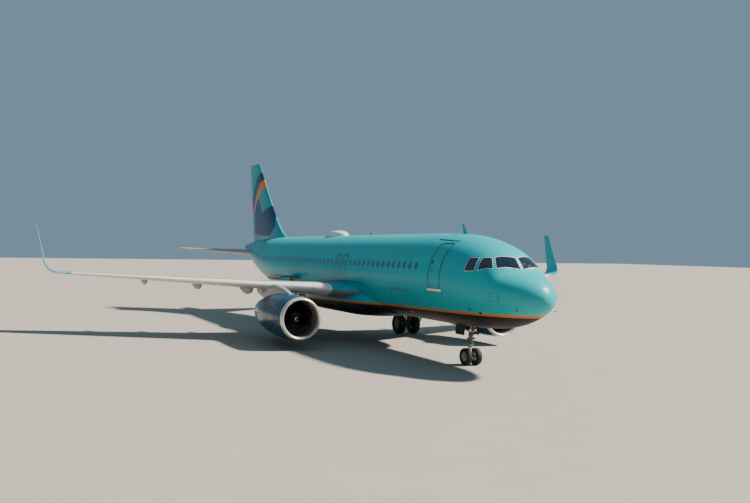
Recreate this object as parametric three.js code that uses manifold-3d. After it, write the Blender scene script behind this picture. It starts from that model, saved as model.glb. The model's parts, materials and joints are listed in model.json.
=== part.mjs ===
// Narrow body twin-engine airliner, parked on its landing gear.
// Millimetres. +X points to the nose, +Y to port, +Z up; z = 0 is the ground
// and the origin lies under the middle of the bounding box.
// Lengths along the body are stations: millimetres behind the nose tip.

import * as THREE from "three";
import { mergeVertices } from "three/addons/utils/BufferGeometryUtils.js";
import Module from "manifold-3d";

const wasm = await Module();
wasm.setup();

// Driving dimensions
const LENGTH = 37570;
const HALF_SPAN = 17900;
const CABIN_HALF_WIDTH = 1975;
const CABIN_CROWN = 5870;
const CABIN_KEEL = 1730;
const CABIN_WAIST = 3800;
const FIT = 0.3;
const PIN_CLEARANCE = 0.4;
const MOVING_GAP = 16;
const END_GAP_INBOARD = 40;
const END_GAP_OUTBOARD = 36;

const NOSE_GEAR_STATION = 5070;
const NOSE_TYRE = { radius: 381, width: 224, rim: 195, spacing: 500, sides: 20 };
const MAIN_GEAR_STATION = 17710;
const MAIN_GEAR_Y = 3795;
const MAIN_TYRE = { radius: 584, width: 430, rim: 268, spacing: 930, sides: 20 };

const ENGINE_Y = 5755;
const ENGINE_Z = 1580;
const ENGINE_LIP_STATION = 10800;
const FAN_BLADES = 22;

const WING_ROOT_Y = 1980;
const WING_KINK_Y = 6300;
const WING_TIP_Y = 16300;

const finish = (colour, roughness, metalness) =>
  new THREE.MeshStandardMaterial({ color: colour, roughness, metalness, flatShading: true });
const TEAL_PAINT = finish("#3aa6a6", 0.3, 0.1);
const NAVY_PAINT = finish("#16395f", 0.35, 0.1);
const GREY_PAINT = finish("#b9bfc0", 0.45, 0.1);
const LIGHT_GREY = finish("#d5d8d6", 0.4, 0.1);
const WHITE_PAINT = finish("#ecece8", 0.4, 0.0);
const TAIL_GREY = finish("#b7aea2", 0.45, 0.1);
const BARE_METAL = finish("#cfd2d4", 0.25, 0.9);
const DARK_METAL = finish("#3b3e42", 0.4, 0.7);
const GEAR_STEEL = finish("#8e9294", 0.4, 0.6);
const COCKPIT_GLASS = finish("#101a20", 0.1, 0.0);
const TYRE_RUBBER = finish("#17181a", 0.85, 0.0);

const X = (station) => LENGTH / 2 - station;

// Cutting tools run out to these limits, past every skin
const PAST = { x: 20000, y: 2500, low: 1000, high: 6500 };

// Solids: closed triangle meshes, joined and cut

function weld(geometry) {
  const bare = new THREE.BufferGeometry();
  bare.setAttribute("position", geometry.getAttribute("position").clone());
  if (geometry.index) bare.setIndex(geometry.index.clone());
  const merged = mergeVertices(bare, 1e-3);
  const index = merged.index.array;
  const kept = [];
  for (let i = 0; i < index.length; i += 3) {
    const [a, b, c] = [index[i], index[i + 1], index[i + 2]];
    if (a !== b && b !== c && c !== a) kept.push(a, b, c);
  }
  merged.setIndex(kept);
  return merged;
}

function signedVolume(geometry) {
  const position = geometry.getAttribute("position");
  const index = geometry.index.array;
  const [a, b, c] = [new THREE.Vector3(), new THREE.Vector3(), new THREE.Vector3()];
  let total = 0;
  for (let i = 0; i < index.length; i += 3) {
    a.fromBufferAttribute(position, index[i]);
    b.fromBufferAttribute(position, index[i + 1]);
    c.fromBufferAttribute(position, index[i + 2]);
    total += a.dot(b.cross(c)) / 6;
  }
  return total;
}

function solid(geometry) {
  const welded = weld(geometry);
  const triVerts = Uint32Array.from(welded.index.array);
  if (signedVolume(welded) < 0) {
    for (let i = 0; i < triVerts.length; i += 3) {
      [triVerts[i + 1], triVerts[i + 2]] = [triVerts[i + 2], triVerts[i + 1]];
    }
  }
  const vertProperties = Float32Array.from(welded.getAttribute("position").array);
  return new wasm.Manifold(new wasm.Mesh({ numProp: 3, vertProperties, triVerts }));
}

function geometryOf(body) {
  const mesh = body.getMesh();
  const geometry = new THREE.BufferGeometry();
  geometry.setAttribute("position", new THREE.Float32BufferAttribute(mesh.vertProperties, 3));
  geometry.setIndex(Array.from(mesh.triVerts));
  return geometry;
}

const join = (...bodies) => bodies.reduce((whole, body) => whole.add(body));
const cut = (body, ...tools) => tools.reduce((rest, tool) => rest.subtract(tool), body);
const common = (...bodies) => bodies.reduce((shared, body) => shared.intersect(body));
const mirror = (body) => solid(geometryOf(body).scale(1, -1, 1));
const moved = (body, x, y, z) => solid(geometryOf(body).translate(x, y, z));

// A polygon drawn in two world axes and drawn out along the third one
const DRAWN_OUT = {
  x: new THREE.Matrix4().makeBasis(
    new THREE.Vector3(0, 1, 0), new THREE.Vector3(0, 0, 1), new THREE.Vector3(1, 0, 0)),
  y: new THREE.Matrix4().makeBasis(
    new THREE.Vector3(1, 0, 0), new THREE.Vector3(0, 0, 1), new THREE.Vector3(0, 1, 0)),
  z: new THREE.Matrix4(),
};

function prism(axis, points, low, high) {
  const shape = new THREE.Shape(points.map(([u, v]) => new THREE.Vector2(u, v)));
  const geometry = new THREE.ExtrudeGeometry(shape, { depth: high - low, bevelEnabled: false });
  geometry.translate(0, 0, low).applyMatrix4(DRAWN_OUT[axis]);
  return solid(geometry);
}

const box = ([x0, x1], [y0, y1], [z0, z1]) =>
  prism("z", [[x0, y0], [x1, y0], [x1, y1], [x0, y1]], z0, z1);

const vector = ([x, y, z]) => new THREE.Vector3(x, y, z);

// A round bar or cone from one point to another
function rod(from, to, radiusFrom, radiusTo = radiusFrom, sides = 12) {
  const [a, b] = [vector(from), vector(to)];
  const along = b.clone().sub(a);
  const geometry = new THREE.CylinderGeometry(radiusTo, radiusFrom, along.length(), sides);
  const turn = new THREE.Quaternion().setFromUnitVectors(
    new THREE.Vector3(0, 1, 0), along.normalize());
  geometry.applyQuaternion(turn).translate(...a.add(b).multiplyScalar(0.5));
  return solid(geometry);
}

// A hole for a pin of this radius: its flats clear the pin all round, however it turns
function bore(from, to, radius, sides = 20) {
  const reach = (radius + PIN_CLEARANCE) / Math.cos(Math.PI / sides);
  return rod(from, to, reach, reach, sides);
}

// A profile of [radius, distance along the axis] turned about +Y, or about -X for an engine
function turned(profile, sides, axis = "y") {
  const points = profile.map(([radius, along]) => new THREE.Vector2(Math.max(radius, 0), along));
  const geometry = new THREE.LatheGeometry(points, sides);
  geometry.rotateY(Math.PI / sides);
  if (axis === "x") geometry.rotateZ(Math.PI / 2);
  return solid(geometry);
}

// A skin over rings of equal point counts, closed by a fan over each end ring.
// The second half of each ring is split the other way, so a symmetric ring gives a
// symmetric skin.
function loft(rings) {
  const count = rings[0].length;
  const points = rings.flat();
  const centre = (ring) =>
    [0, 1, 2].map((axis) => ring.reduce((sum, point) => sum + point[axis], 0) / count);
  const first = points.push(centre(rings[0])) - 1;
  const last = points.push(centre(rings[rings.length - 1])) - 1;
  const index = [];
  for (let i = 0; i < count; i++) {
    const j = (i + 1) % count;
    index.push(first, j, i);
    index.push(last, (rings.length - 1) * count + i, (rings.length - 1) * count + j);
    for (let ring = 0; ring < rings.length - 1; ring++) {
      const [a, b] = [ring * count + i, ring * count + j];
      if (i < count / 2) index.push(a, b, b + count, a, b + count, a + count);
      else index.push(a, b, a + count, b, b + count, a + count);
    }
  }
  const geometry = new THREE.BufferGeometry();
  geometry.setAttribute("position", new THREE.Float32BufferAttribute(points.flat(), 3));
  geometry.setIndex(index);
  return solid(geometry);
}

// Straight-line interpolation in a table whose first column rises
function lookUp(table, key) {
  const row = Math.max(1, table.findIndex((entry) => entry[0] >= key));
  const [low, high] = [table[row - 1], table[row]];
  const share = (key - low[0]) / (high[0] - low[0]);
  return low.map((value, column) => value + (high[column] - value) * share);
}

// Fuselage
// columns: station, crown height, keel height, half width, height of the widest line
const BODY_SECTIONS = [
  [0, 3225, 3175, 30, 3200],
  [60, 3450, 2985, 265, 3215],
  [250, 3720, 2770, 570, 3240],
  [550, 3935, 2560, 850, 3290],
  [950, 4110, 2350, 1110, 3370],
  [1480, 4300, 2130, 1345, 3470],
  [1960, 4790, 1990, 1510, 3560],
  [2450, 5150, 1900, 1630, 3630],
  [3200, 5450, 1810, 1775, 3700],
  [4200, 5690, 1750, 1890, 3755],
  [5400, 5820, 1732, 1955, 3790],
  [7000, 5868, CABIN_KEEL, CABIN_HALF_WIDTH, CABIN_WAIST],
  [12400, CABIN_CROWN, CABIN_KEEL, CABIN_HALF_WIDTH, CABIN_WAIST],
  [20000, CABIN_CROWN, CABIN_KEEL, CABIN_HALF_WIDTH, CABIN_WAIST],
  [24000, 5868, 1732, 1974, CABIN_WAIST],
  [26000, 5862, 1900, 1950, 3850],
  [28200, 5850, 2290, 1855, 4030],
  [30400, 5815, 2830, 1640, 4290],
  [32600, 5735, 3440, 1300, 4560],
  [34600, 5600, 4020, 905, 4800],
  [36200, 5440, 4480, 540, 4960],
  [37300, 5300, 4790, 285, 5040],
  [LENGTH, 5225, 4900, 165, 5060],
];
const BODY_POINTS = 24;
const RADOME_END = 950;
const NOSE_END = 3450;
const FORWARD_END = 12400;
const CENTRE_END = 20000;
const AFT_END = 28600;
const TAIL_END = 35400;

function bodyRing([station, crown, keel, halfWidth, waist], grow) {
  return Array.from({ length: BODY_POINTS }, (_, i) => {
    const angle = (2 * Math.PI * i) / BODY_POINTS;
    const [across, up] = [Math.sin(angle), Math.cos(angle)];
    const height = up > 0 ? crown - waist : waist - keel;
    return [X(station), across * (halfWidth + grow), waist + up * (height + grow)];
  });
}

function bodySkin(grow, sections = BODY_SECTIONS) {
  return loft(sections.map((section) => bodyRing(section, grow)));
}

const CABIN_END = 34600;
const cabinSections = BODY_SECTIONS.filter(
  ([station]) => station >= RADOME_END && station <= CABIN_END);
const bodyOuter = bodySkin(0);
const bodyTool = bodySkin(FIT);
const innerSkin = (depth) => bodySkin(-depth, cabinSections);
const slice = (from, to) => box([X(to), X(from)], [-PAST.y, PAST.y], [PAST.low, PAST.high]);

// Passenger doors: plug doors, flush in the skin
const DOOR_DEPTH = 120;
const DOOR_SEAM = 5;
const DOOR_TOOL_INSIDE = 300;
// columns: name, centre station, sill height, width, height
const PASSENGER_DOORS = [
  ["forward", 5070, 3400, 810, 1850],
  ["aft", 29750, 3400, 760, 1850],
];

function doorZone(centre, sill, width, height, side, shrink) {
  const [x0, x1] = [X(centre + width / 2 - shrink), X(centre - width / 2 + shrink)];
  const [y0, y1] = side > 0 ? [DOOR_TOOL_INSIDE, PAST.y] : [-PAST.y, -DOOR_TOOL_INSIDE];
  return box([x0, x1], [y0, y1], [sill + shrink, sill + height - shrink]);
}

const doorSkin = innerSkin(DOOR_DEPTH);
const doorSeat = innerSkin(DOOR_DEPTH + FIT);
const passengerDoors = [];
const doorRecesses = [];
for (const [name, centre, sill, width, height] of PASSENGER_DOORS) {
  for (const [sideName, side] of [["left", 1], ["right", -1]]) {
    const leaf = common(bodyOuter, doorZone(centre, sill, width, height, side, DOOR_SEAM));
    passengerDoors.push([`passenger_door_${name}_${sideName}`, cut(leaf, doorSkin)]);
    doorRecesses.push(cut(doorZone(centre, sill, width, height, side, 0), doorSeat));
  }
}

// Cargo doors on the starboard side, hinged along their upper edge
const CARGO_DOOR_WIDTH = 1820;
const CARGO_DOOR_DEPTH = 90;
const CARGO_SEAM = 10;
const CARGO_HINGE = { y: -1895, z: 3200, radius: 22, pin: 10 };
const CARGO_SILL = { y: -945, z: 1980, outY: -0.5, outZ: -0.866 };
const CARGO_OPEN_ANGLE = 128;
// How far the doorway's cutting tool runs either side of the sill, and how far in it reaches
const CARGO_TOOL = { reach: 400, insideY: -1150 };
const HOLD = { outerY: -1500, innerY: 900, floor: 2080, roof: 3150, past: 250, wall: 115 };
const FORWARD_CARGO_STATION = 8160;
const AFT_CARGO_STATION = 21750;

function cargoOutline(centre, shrink, aboveHinge) {
  const { y, z, outY, outZ } = CARGO_SILL;
  const [sillY, sillZ] = [y + outZ * shrink, z - outY * shrink];
  const [acrossReach, upReach] = [outY * CARGO_TOOL.reach, outZ * CARGO_TOOL.reach];
  const outline = [
    [-PAST.y, CARGO_HINGE.z + aboveHinge],
    [-PAST.y, sillZ + upReach],
    [sillY + acrossReach, sillZ + upReach],
    [sillY - acrossReach, sillZ - upReach],
    [CARGO_TOOL.insideY, CARGO_HINGE.z + aboveHinge],
  ];
  const half = CARGO_DOOR_WIDTH / 2 - shrink;
  return prism("x", outline, X(centre + half), X(centre - half));
}

// places of the fixed hinge knuckles, as shares of the door's half width
const KNUCKLE_PLACES = [-0.72, 0, 0.72];
const KNUCKLE = { half: 45, room: 8, notch: 60, armBack: 12, armFront: 30, armTop: 130, boreEnd: 20 };
const knuckleX = (centre, share) => X(centre) + share * CARGO_DOOR_WIDTH / 2;

function cargoHinge(x, half, radius) {
  const { y, z } = CARGO_HINGE;
  return rod([x - half, y, z], [x + half, y, z], radius);
}

const cargoSkin = innerSkin(CARGO_DOOR_DEPTH);

function cargoDoor(centre) {
  const { y, z, radius, pin } = CARGO_HINGE;
  const half = CARGO_DOOR_WIDTH / 2 - CARGO_SEAM;
  const leaf = cut(common(bodyOuter, cargoOutline(centre, CARGO_SEAM, 0)), cargoSkin);
  const notches = KNUCKLE_PLACES.map((share) => {
    const x = knuckleX(centre, share);
    const reach = KNUCKLE.half + KNUCKLE.room;
    return box([x - reach, x + reach], [y - KNUCKLE.notch, y + KNUCKLE.notch],
      [z - radius - KNUCKLE.room, z + KNUCKLE.notch]);
  });
  const tube = cargoHinge(X(centre), half, radius);
  return join(cut(join(leaf, tube), ...notches), cargoHinge(X(centre), half, pin));
}

// The space behind a door: its doorway and the hold, which stays inside the skin's frames
const holdSkin = innerSkin(HOLD.wall);

function cargoBay(centre) {
  const opening = cargoOutline(centre, 0, CARGO_HINGE.radius + KNUCKLE.room);
  const half = CARGO_DOOR_WIDTH / 2 + HOLD.past;
  const hold = box(
    [X(centre + half), X(centre - half)], [HOLD.outerY, HOLD.innerY], [HOLD.floor, HOLD.roof]);
  return join(opening, common(hold, holdSkin));
}

function cargoKnuckle(centre, share) {
  const x = knuckleX(centre, share);
  const { y, z, radius, pin } = CARGO_HINGE;
  const arm = box([x - KNUCKLE.half, x + KNUCKLE.half],
    [y - KNUCKLE.armBack, y + KNUCKLE.armFront], [z, z + KNUCKLE.armTop]);
  const reach = KNUCKLE.half + KNUCKLE.boreEnd;
  const hole = bore([x - reach, y, z], [x + reach, y, z], pin, 12);
  return { lug: join(arm, cargoHinge(x, KNUCKLE.half, radius)), hole };
}

// turns a body about the cargo hinge, outwards and up for positive degrees
function swingCargo(body, degrees) {
  const { y, z } = CARGO_HINGE;
  const geometry = geometryOf(body).translate(0, -y, -z);
  geometry.rotateX(THREE.MathUtils.degToRad(-degrees)).translate(0, y, z);
  return solid(geometry);
}

// Cockpit glazing: one flush band round the nose
const GLAZING_DEPTH = 70;
// columns: station, height
const GLAZING_OUTLINE = [
  [1250, 4345], [1750, 4345], [2420, 4270], [3080, 4235], [3230, 4330], [3120, 4790], [1250, 4800],
];
const GLAZING_SEAM = 3;
const GLAZING_CENTRE = [2250, 4500];
const glazingZone = (inset) => prism("y", GLAZING_OUTLINE.map(([s, z]) => [
  X(s + Math.sign(GLAZING_CENTRE[0] - s) * inset), z + Math.sign(GLAZING_CENTRE[1] - z) * inset,
]), -PAST.y, PAST.y);
const cockpitGlazing = cut(common(bodyOuter, glazingZone(GLAZING_SEAM)), innerSkin(GLAZING_DEPTH));
const glazingRecess = cut(glazingZone(0), innerSkin(GLAZING_DEPTH + FIT));

// Nose gear bay, open round the leg
const NOSE_BAY = { from: 4560, to: 5760, halfWidth: 330, roof: 2420 };
const noseBay = box(
  [X(NOSE_BAY.to), X(NOSE_BAY.from)],
  [-NOSE_BAY.halfWidth, NOSE_BAY.halfWidth], [PAST.low, NOSE_BAY.roof]);

// Belly fairing round the wing joint
// columns: station, half width, top, bottom
const FAIRING_SECTIONS = [
  [10700, 1250, 2600, 1790],
  [11500, 1700, 2760, 1640],
  [12700, 2010, 2900, 1520],
  [14200, 2120, 2960, 1460],
  [18000, 2130, 2940, 1460],
  [19200, 2070, 2820, 1510],
  [20150, 1800, 2620, 1600],
  [20780, 1350, 2380, 1740],
];
const FAIRING_POINTS = 20;
const FAIRING_SQUARENESS = 3.2;

function fairingRing([station, halfWidth, top, bottom], grow) {
  const [middle, half] = [(top + bottom) / 2, (top - bottom) / 2 + grow];
  return Array.from({ length: FAIRING_POINTS }, (_, i) => {
    const angle = (2 * Math.PI * i) / FAIRING_POINTS;
    const bend = (value) => Math.sign(value) * Math.abs(value) ** (2 / FAIRING_SQUARENESS);
    const across = bend(Math.sin(angle)) * (halfWidth + grow);
    return [X(station), across, middle + bend(Math.cos(angle)) * half];
  });
}

const fairingSkin = (grow) => loft(FAIRING_SECTIONS.map((section) => fairingRing(section, grow)));
const bellyFairing = cut(fairingSkin(0), bodyTool);
const fairingTool = fairingSkin(FIT);

// Radome over the satellite aerial, on the crown of the cabin
// columns: station, half width, height above the crown
const CROWN_RADOME_SECTIONS = [
  [18300, 70, 20],
  [18450, 270, 150],
  [18800, 460, 280],
  [19250, 550, 345],
  [19800, 510, 310],
  [20350, 350, 200],
  [20900, 80, 20],
];
const CROWN_RADOME = { sides: 20, sunk: 110 };
const crownRadome = cut(loft(CROWN_RADOME_SECTIONS.map(([station, halfWidth, height]) =>
  Array.from({ length: CROWN_RADOME.sides }, (_, i) => {
    const angle = (2 * Math.PI * i) / CROWN_RADOME.sides;
    const rise = Math.cos(angle) * (height + CROWN_RADOME.sunk) - CROWN_RADOME.sunk;
    return [X(station), Math.sin(angle) * halfWidth, CABIN_CROWN + rise];
  }))), bodyTool);

// Wings, port side; the starboard ones are mirrored
// Upper and lower chordwise places of an aerofoil section
const CHORD_PLACES = [0, 0.012, 0.045, 0.12, 0.25, 0.45, 0.7, 0.78, 1];
const TRAILING_EDGE_SHARE = 0.0035;

function aerofoil(thickness, camber) {
  const half = (x) => 5 * thickness * (0.2969 * Math.sqrt(x) - 0.126 * x - 0.3516 * x ** 2
    + 0.2843 * x ** 3 - 0.1036 * x ** 4) + TRAILING_EDGE_SHARE * x / 2;
  const line = (x) => camber * x ** 2 * (1 - x);
  const upper = CHORD_PLACES.map((x) => [x, line(x) + half(x)]);
  const lower = CHORD_PLACES.slice(1).map((x) => [x, line(x) - half(x)]).reverse();
  return [...upper, ...lower];
}

// columns: leading edge station, y, z, chord, thickness share, incidence, cant (degrees)
function surfaceRing([station, y, z, chord, thickness, incidence, cant], camber, grow) {
  const [pitch, lean] = [incidence, cant].map(THREE.MathUtils.degToRad);
  const [wide, thick] = [chord + 2 * grow, thickness + (2 * grow) / chord];
  return aerofoil(thick, camber).map(([along, up]) => {
    const aft = wide * (along * Math.cos(pitch) + up * Math.sin(pitch)) - grow;
    const rise = wide * (up * Math.cos(pitch) - along * Math.sin(pitch));
    return [X(station + aft), y - rise * Math.sin(lean), z + rise * Math.cos(lean)];
  });
}

const surface = (sections, camber = 0, grow = 0) =>
  loft(sections.map((section) => surfaceRing(section, camber, grow)));

const SWEEP = 0.5206;
const leadingEdge = (y) => 12850 + (y - WING_ROOT_Y) * SWEEP;
const leadingHeight = (y) => 2810 + 0.0405 * y;
const WING_SECTIONS = [
  [leadingEdge(1300), 1300, leadingHeight(1300), 6420, 0.145, 4.2, 0],
  [leadingEdge(WING_KINK_Y), WING_KINK_Y, leadingHeight(WING_KINK_Y), 3850, 0.118, 1.8, 0],
  [leadingEdge(WING_TIP_Y), WING_TIP_Y, leadingHeight(WING_TIP_Y), 1500, 0.108, -0.4, 0],
];
const WING_CAMBER = 0.06;
const fullWing = surface(WING_SECTIONS, WING_CAMBER);
const wingTool = surface(WING_SECTIONS, WING_CAMBER, FIT);
const wingSectionAt = (y) => lookUp(WING_SECTIONS.map((row) => [row[1], ...row]), y).slice(1);
const chordStation = (y, share) => wingSectionAt(y)[0] + wingSectionAt(y)[3] * share;

// A plan view zone between two spanwise places, from front to back stations at each
function planZone([y0, front0, back0], [y1, front1, back1]) {
  const outline = [[X(front0), y0], [X(back0), y0], [X(back1), y1], [X(front1), y1]];
  return prism("z", outline, PAST.low, PAST.high);
}

const SLAT_SHARE = 0.12;
const SLAT_SPAN = [3000, 16050];
const [AHEAD_OF_WING, BEHIND_WING] = [600, 22800];
const INBOARD_FLAP = { from: 2250, to: 6270, front: 18020, back: 20500 };
const OUTBOARD_FLAP = { from: 6330, to: 12780, share: 0.76 };
const AILERON = { from: 12900, to: 15900, share: 0.78 };

const slatZone = (gap) => {
  const [y0, y1] = [SLAT_SPAN[0] + gap, SLAT_SPAN[1] - gap];
  return planZone(
    [y0, leadingEdge(y0) - AHEAD_OF_WING, chordStation(y0, SLAT_SHARE) - gap],
    [y1, leadingEdge(y1) - AHEAD_OF_WING, chordStation(y1, SLAT_SHARE) - gap]);
};
const inboardFlapZone = (gap) => planZone(
  [INBOARD_FLAP.from + gap, INBOARD_FLAP.front + gap, INBOARD_FLAP.back],
  [INBOARD_FLAP.to - gap, INBOARD_FLAP.front + gap, INBOARD_FLAP.back]);
const outboardFlapZone = (gap) => {
  const [y0, y1] = [OUTBOARD_FLAP.from + gap, OUTBOARD_FLAP.to - gap];
  return planZone(
    [y0, chordStation(y0, OUTBOARD_FLAP.share) + gap, BEHIND_WING],
    [y1, chordStation(y1, OUTBOARD_FLAP.share) + gap, BEHIND_WING]);
};

// The skin points of a surface above and below a place in CHORD_PLACES, at a span position y
function skinAt(sections, camber, span, place) {
  const row = Math.max(1, sections.findIndex((section) => section[1] >= span));
  const [low, high] = [sections[row - 1], sections[row]];
  const share = (span - low[1]) / (high[1] - low[1]);
  const rings = [low, high].map((section) => surfaceRing(section, camber, 0));
  const spot = CHORD_PLACES.indexOf(place);
  const blend = (i) => rings[0][i].map((value, axis) => value + (rings[1][i][axis] - value) * share);
  return { upper: blend(spot), lower: blend(2 * CHORD_PLACES.length - 1 - spot) };
}
const middleOf = ({ upper, lower }) => upper.map((value, axis) => (value + lower[axis]) / 2);
const halfDepth = ({ upper, lower }) => vector(upper).distanceTo(vector(lower)) / 2;

// A hinged trailing surface: the part behind the axis with a round nose about it,
// a cove round that nose in the fixed part, and a pin into each end wall
const NOSE_SHARE = 0.96;
const NOSE_SIDES = 14;
const HINGE_PIN = { radius: 12, depth: 32, room: 6 };
const NOSE_PAST_ENDS = 200;

function hinged(whole, from, to, noseFrom, noseTo, behind, between, betweenFixed) {
  const along = vector(to).sub(vector(from)).normalize();
  const stretch = (point, by) => vector(point).addScaledVector(along, by).toArray();
  const [start, end] = [stretch(from, -NOSE_PAST_ENDS), stretch(to, NOSE_PAST_ENDS)];
  const slope = (noseTo - noseFrom) / vector(to).distanceTo(vector(from));
  const [thin, thick] = [noseFrom - slope * NOSE_PAST_ENDS, noseTo + slope * NOSE_PAST_ENDS];
  const nose = rod(start, end, thin, thick, NOSE_SIDES);
  const round = 1 / Math.cos(Math.PI / NOSE_SIDES);
  const cove = rod(
    start, end, (thin + MOVING_GAP) * round, (thick + MOVING_GAP) * round, NOSE_SIDES);
  const pinReach = END_GAP_OUTBOARD + HINGE_PIN.depth;
  const pinEnds = (longer) => [stretch(from, -pinReach - longer), stretch(to, pinReach + longer)];
  const moving = common(join(common(whole, behind), nose), between);
  const fixed = cut(whole, common(join(behind, cove), betweenFixed));
  return {
    moving: join(moving, rod(...pinEnds(0), HINGE_PIN.radius)),
    fixed: cut(fixed, bore(...pinEnds(HINGE_PIN.room), HINGE_PIN.radius, 12)),
  };
}

const aileronSkin = (y) => skinAt(WING_SECTIONS, WING_CAMBER, y, AILERON.share);
const spanSlab = (y0, y1) => box([-PAST.x, PAST.x], [y0, y1], [PAST.low, PAST.high]);
const aileronCut = hinged(
  fullWing,
  middleOf(aileronSkin(AILERON.from)), middleOf(aileronSkin(AILERON.to)),
  NOSE_SHARE * halfDepth(aileronSkin(AILERON.from)), NOSE_SHARE * halfDepth(aileronSkin(AILERON.to)),
  planZone(
    [AILERON.from, chordStation(AILERON.from, AILERON.share), BEHIND_WING],
    [AILERON.to, chordStation(AILERON.to, AILERON.share), BEHIND_WING]),
  spanSlab(AILERON.from + END_GAP_INBOARD, AILERON.to - END_GAP_OUTBOARD),
  spanSlab(AILERON.from, AILERON.to));

// Flap track fairings: canoes under the wing that run past its trailing edge
// columns: y, width, depth, front place on the chord, overhang
const TRACK_FAIRINGS = [
  [6300, 330, 430, 0.45, 650],
  [9000, 290, 380, 0.45, 620],
  [11900, 250, 320, 0.45, 560],
];

// columns: share of length, share of width, share of depth
const CANOE_STATIONS = [
  [0, 0.08, 0.1], [0.14, 0.66, 0.62], [0.45, 1, 1], [0.8, 0.75, 0.7], [1, 0.08, 0.08],
];
const CANOE = { sides: 8, rise: 70, sunk: 30 };

function trackFairing([y, width, depth, frontPlace, overhang]) {
  const front = skinAt(WING_SECTIONS, WING_CAMBER, y, frontPlace).lower;
  const back = skinAt(WING_SECTIONS, WING_CAMBER, y, 1).lower;
  const slope = (front[2] - back[2]) / (front[0] - back[0]);
  const [start, end] = [front[0], back[0] - overhang];
  return loft(CANOE_STATIONS.map(([along, wide, deep]) => {
    const x = start + (end - start) * along;
    const middle = front[2] + (x - front[0]) * slope - CANOE.sunk;
    return Array.from({ length: CANOE.sides }, (_, i) => {
      const angle = (2 * Math.PI * i) / CANOE.sides;
      const reach = deep * (Math.cos(angle) < 0 ? depth : CANOE.rise);
      return [x, y + Math.sin(angle) * width * wide / 2, middle + Math.cos(angle) * reach];
    });
  }));
}

const flapTool = common(wingTool, join(inboardFlapZone(-FIT), outboardFlapZone(-FIT)));
const fairings = TRACK_FAIRINGS.map((row) => cut(trackFairing(row), flapTool));
const WING_JACK = { place: 0.45, y: 4850, radius: 70, proud: 30, sunk: 120 };
const [jackX, , jackSkinZ] = skinAt(WING_SECTIONS, WING_CAMBER, WING_JACK.y, WING_JACK.place).lower;
const wingJack = rod(
  [jackX, WING_JACK.y, jackSkinZ - WING_JACK.proud],
  [jackX, WING_JACK.y, jackSkinZ + WING_JACK.sunk], WING_JACK.radius);
const wingBox = cut(
  aileronCut.fixed, slatZone(-FIT), inboardFlapZone(-FIT), outboardFlapZone(-FIT));
const wing = cut(join(wingBox, wingJack, ...fairings), bodyTool, fairingTool);
const slats = common(fullWing, slatZone(0));
const inboardFlap = cut(common(fullWing, inboardFlapZone(FIT)), bodyTool, fairingTool);
const outboardFlap = common(fullWing, outboardFlapZone(FIT));

// Winglet: the tip section swept round into a near-vertical blade.
// Its last section lies half its own thickness inside the span.
const WINGLET_SECTIONS = [
  [leadingEdge(WING_TIP_Y), WING_TIP_Y + FIT, leadingHeight(WING_TIP_Y), 1500, 0.108, -0.4, 0],
  [20560, 16760, 3490, 1400, 0.105, -0.3, 14],
  [20870, 17190, 3640, 1270, 0.1, 0, 42],
  [21200, 17440, 4010, 1120, 0.095, 0, 70],
  [21820, 17610, 4850, 840, 0.09, 0, 80],
  [22780, HALF_SPAN - 20, 6260, 440, 0.09, 0, 82],
];
const winglet = surface(WINGLET_SECTIONS, 0.02);

// Fin and rudder, a vertical surface drawn lying down and stood up
// columns: height, leading edge station, trailing edge station, thickness share
const FIN_ROWS = [
  [5350, 27300, 35700, 0.085],
  [5790, 28600, 35750, 0.09],
  [6000, 29700, 35790, 0.1],
  [11700, 34930, 36860, 0.1],
];
const RUDDER = { bottom: 6020, top: 11560, share: 0.7 };
const FIN_TIP_HEIGHT = 11760;

function standUp(body) {
  return solid(geometryOf(body).applyMatrix4(new THREE.Matrix4().makeBasis(
    new THREE.Vector3(1, 0, 0), new THREE.Vector3(0, 0, 1), new THREE.Vector3(0, -1, 0))));
}

const finSection = ([height, front, back, thickness]) =>
  [front, height, 0, back - front, thickness, 0, 0];
const finTip = [FIN_TIP_HEIGHT, 35120, 36800, 0.06];
const fullFin = standUp(surface([...FIN_ROWS, finTip].map(finSection)));
const rudderSkin = (height) => skinAt(FIN_ROWS.map(finSection), 0, height, RUDDER.share);
const rudderPoint = (height) => {
  const [x] = middleOf(rudderSkin(height));
  return [x, 0, height];
};
const [rudderLow, rudderHigh] = [rudderPoint(RUDDER.bottom), rudderPoint(RUDDER.top)];
const rudderLine = (z) => rudderLow[0]
  + (rudderHigh[0] - rudderLow[0]) * (z - rudderLow[2]) / (rudderHigh[2] - rudderLow[2]);
const heightSlab = (z0, z1) => box([-PAST.x, PAST.x], [-PAST.y, PAST.y], [z0, z1]);
const [RUDDER_ZONE_LOW, RUDDER_ZONE_HIGH] = [5600, 12000];
const rudderCut = hinged(
  fullFin, rudderLow, rudderHigh,
  NOSE_SHARE * halfDepth(rudderSkin(RUDDER.bottom)), NOSE_SHARE * halfDepth(rudderSkin(RUDDER.top)),
  prism("y", [
    [rudderLine(RUDDER_ZONE_LOW), RUDDER_ZONE_LOW], [-PAST.x, RUDDER_ZONE_LOW],
    [-PAST.x, RUDDER_ZONE_HIGH], [rudderLine(RUDDER_ZONE_HIGH), RUDDER_ZONE_HIGH],
  ], -PAST.y, PAST.y),
  heightSlab(RUDDER.bottom + END_GAP_INBOARD, RUDDER.top - END_GAP_OUTBOARD),
  heightSlab(RUDDER.bottom, RUDDER.top));
const fin = cut(rudderCut.fixed, bodyTool);

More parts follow.
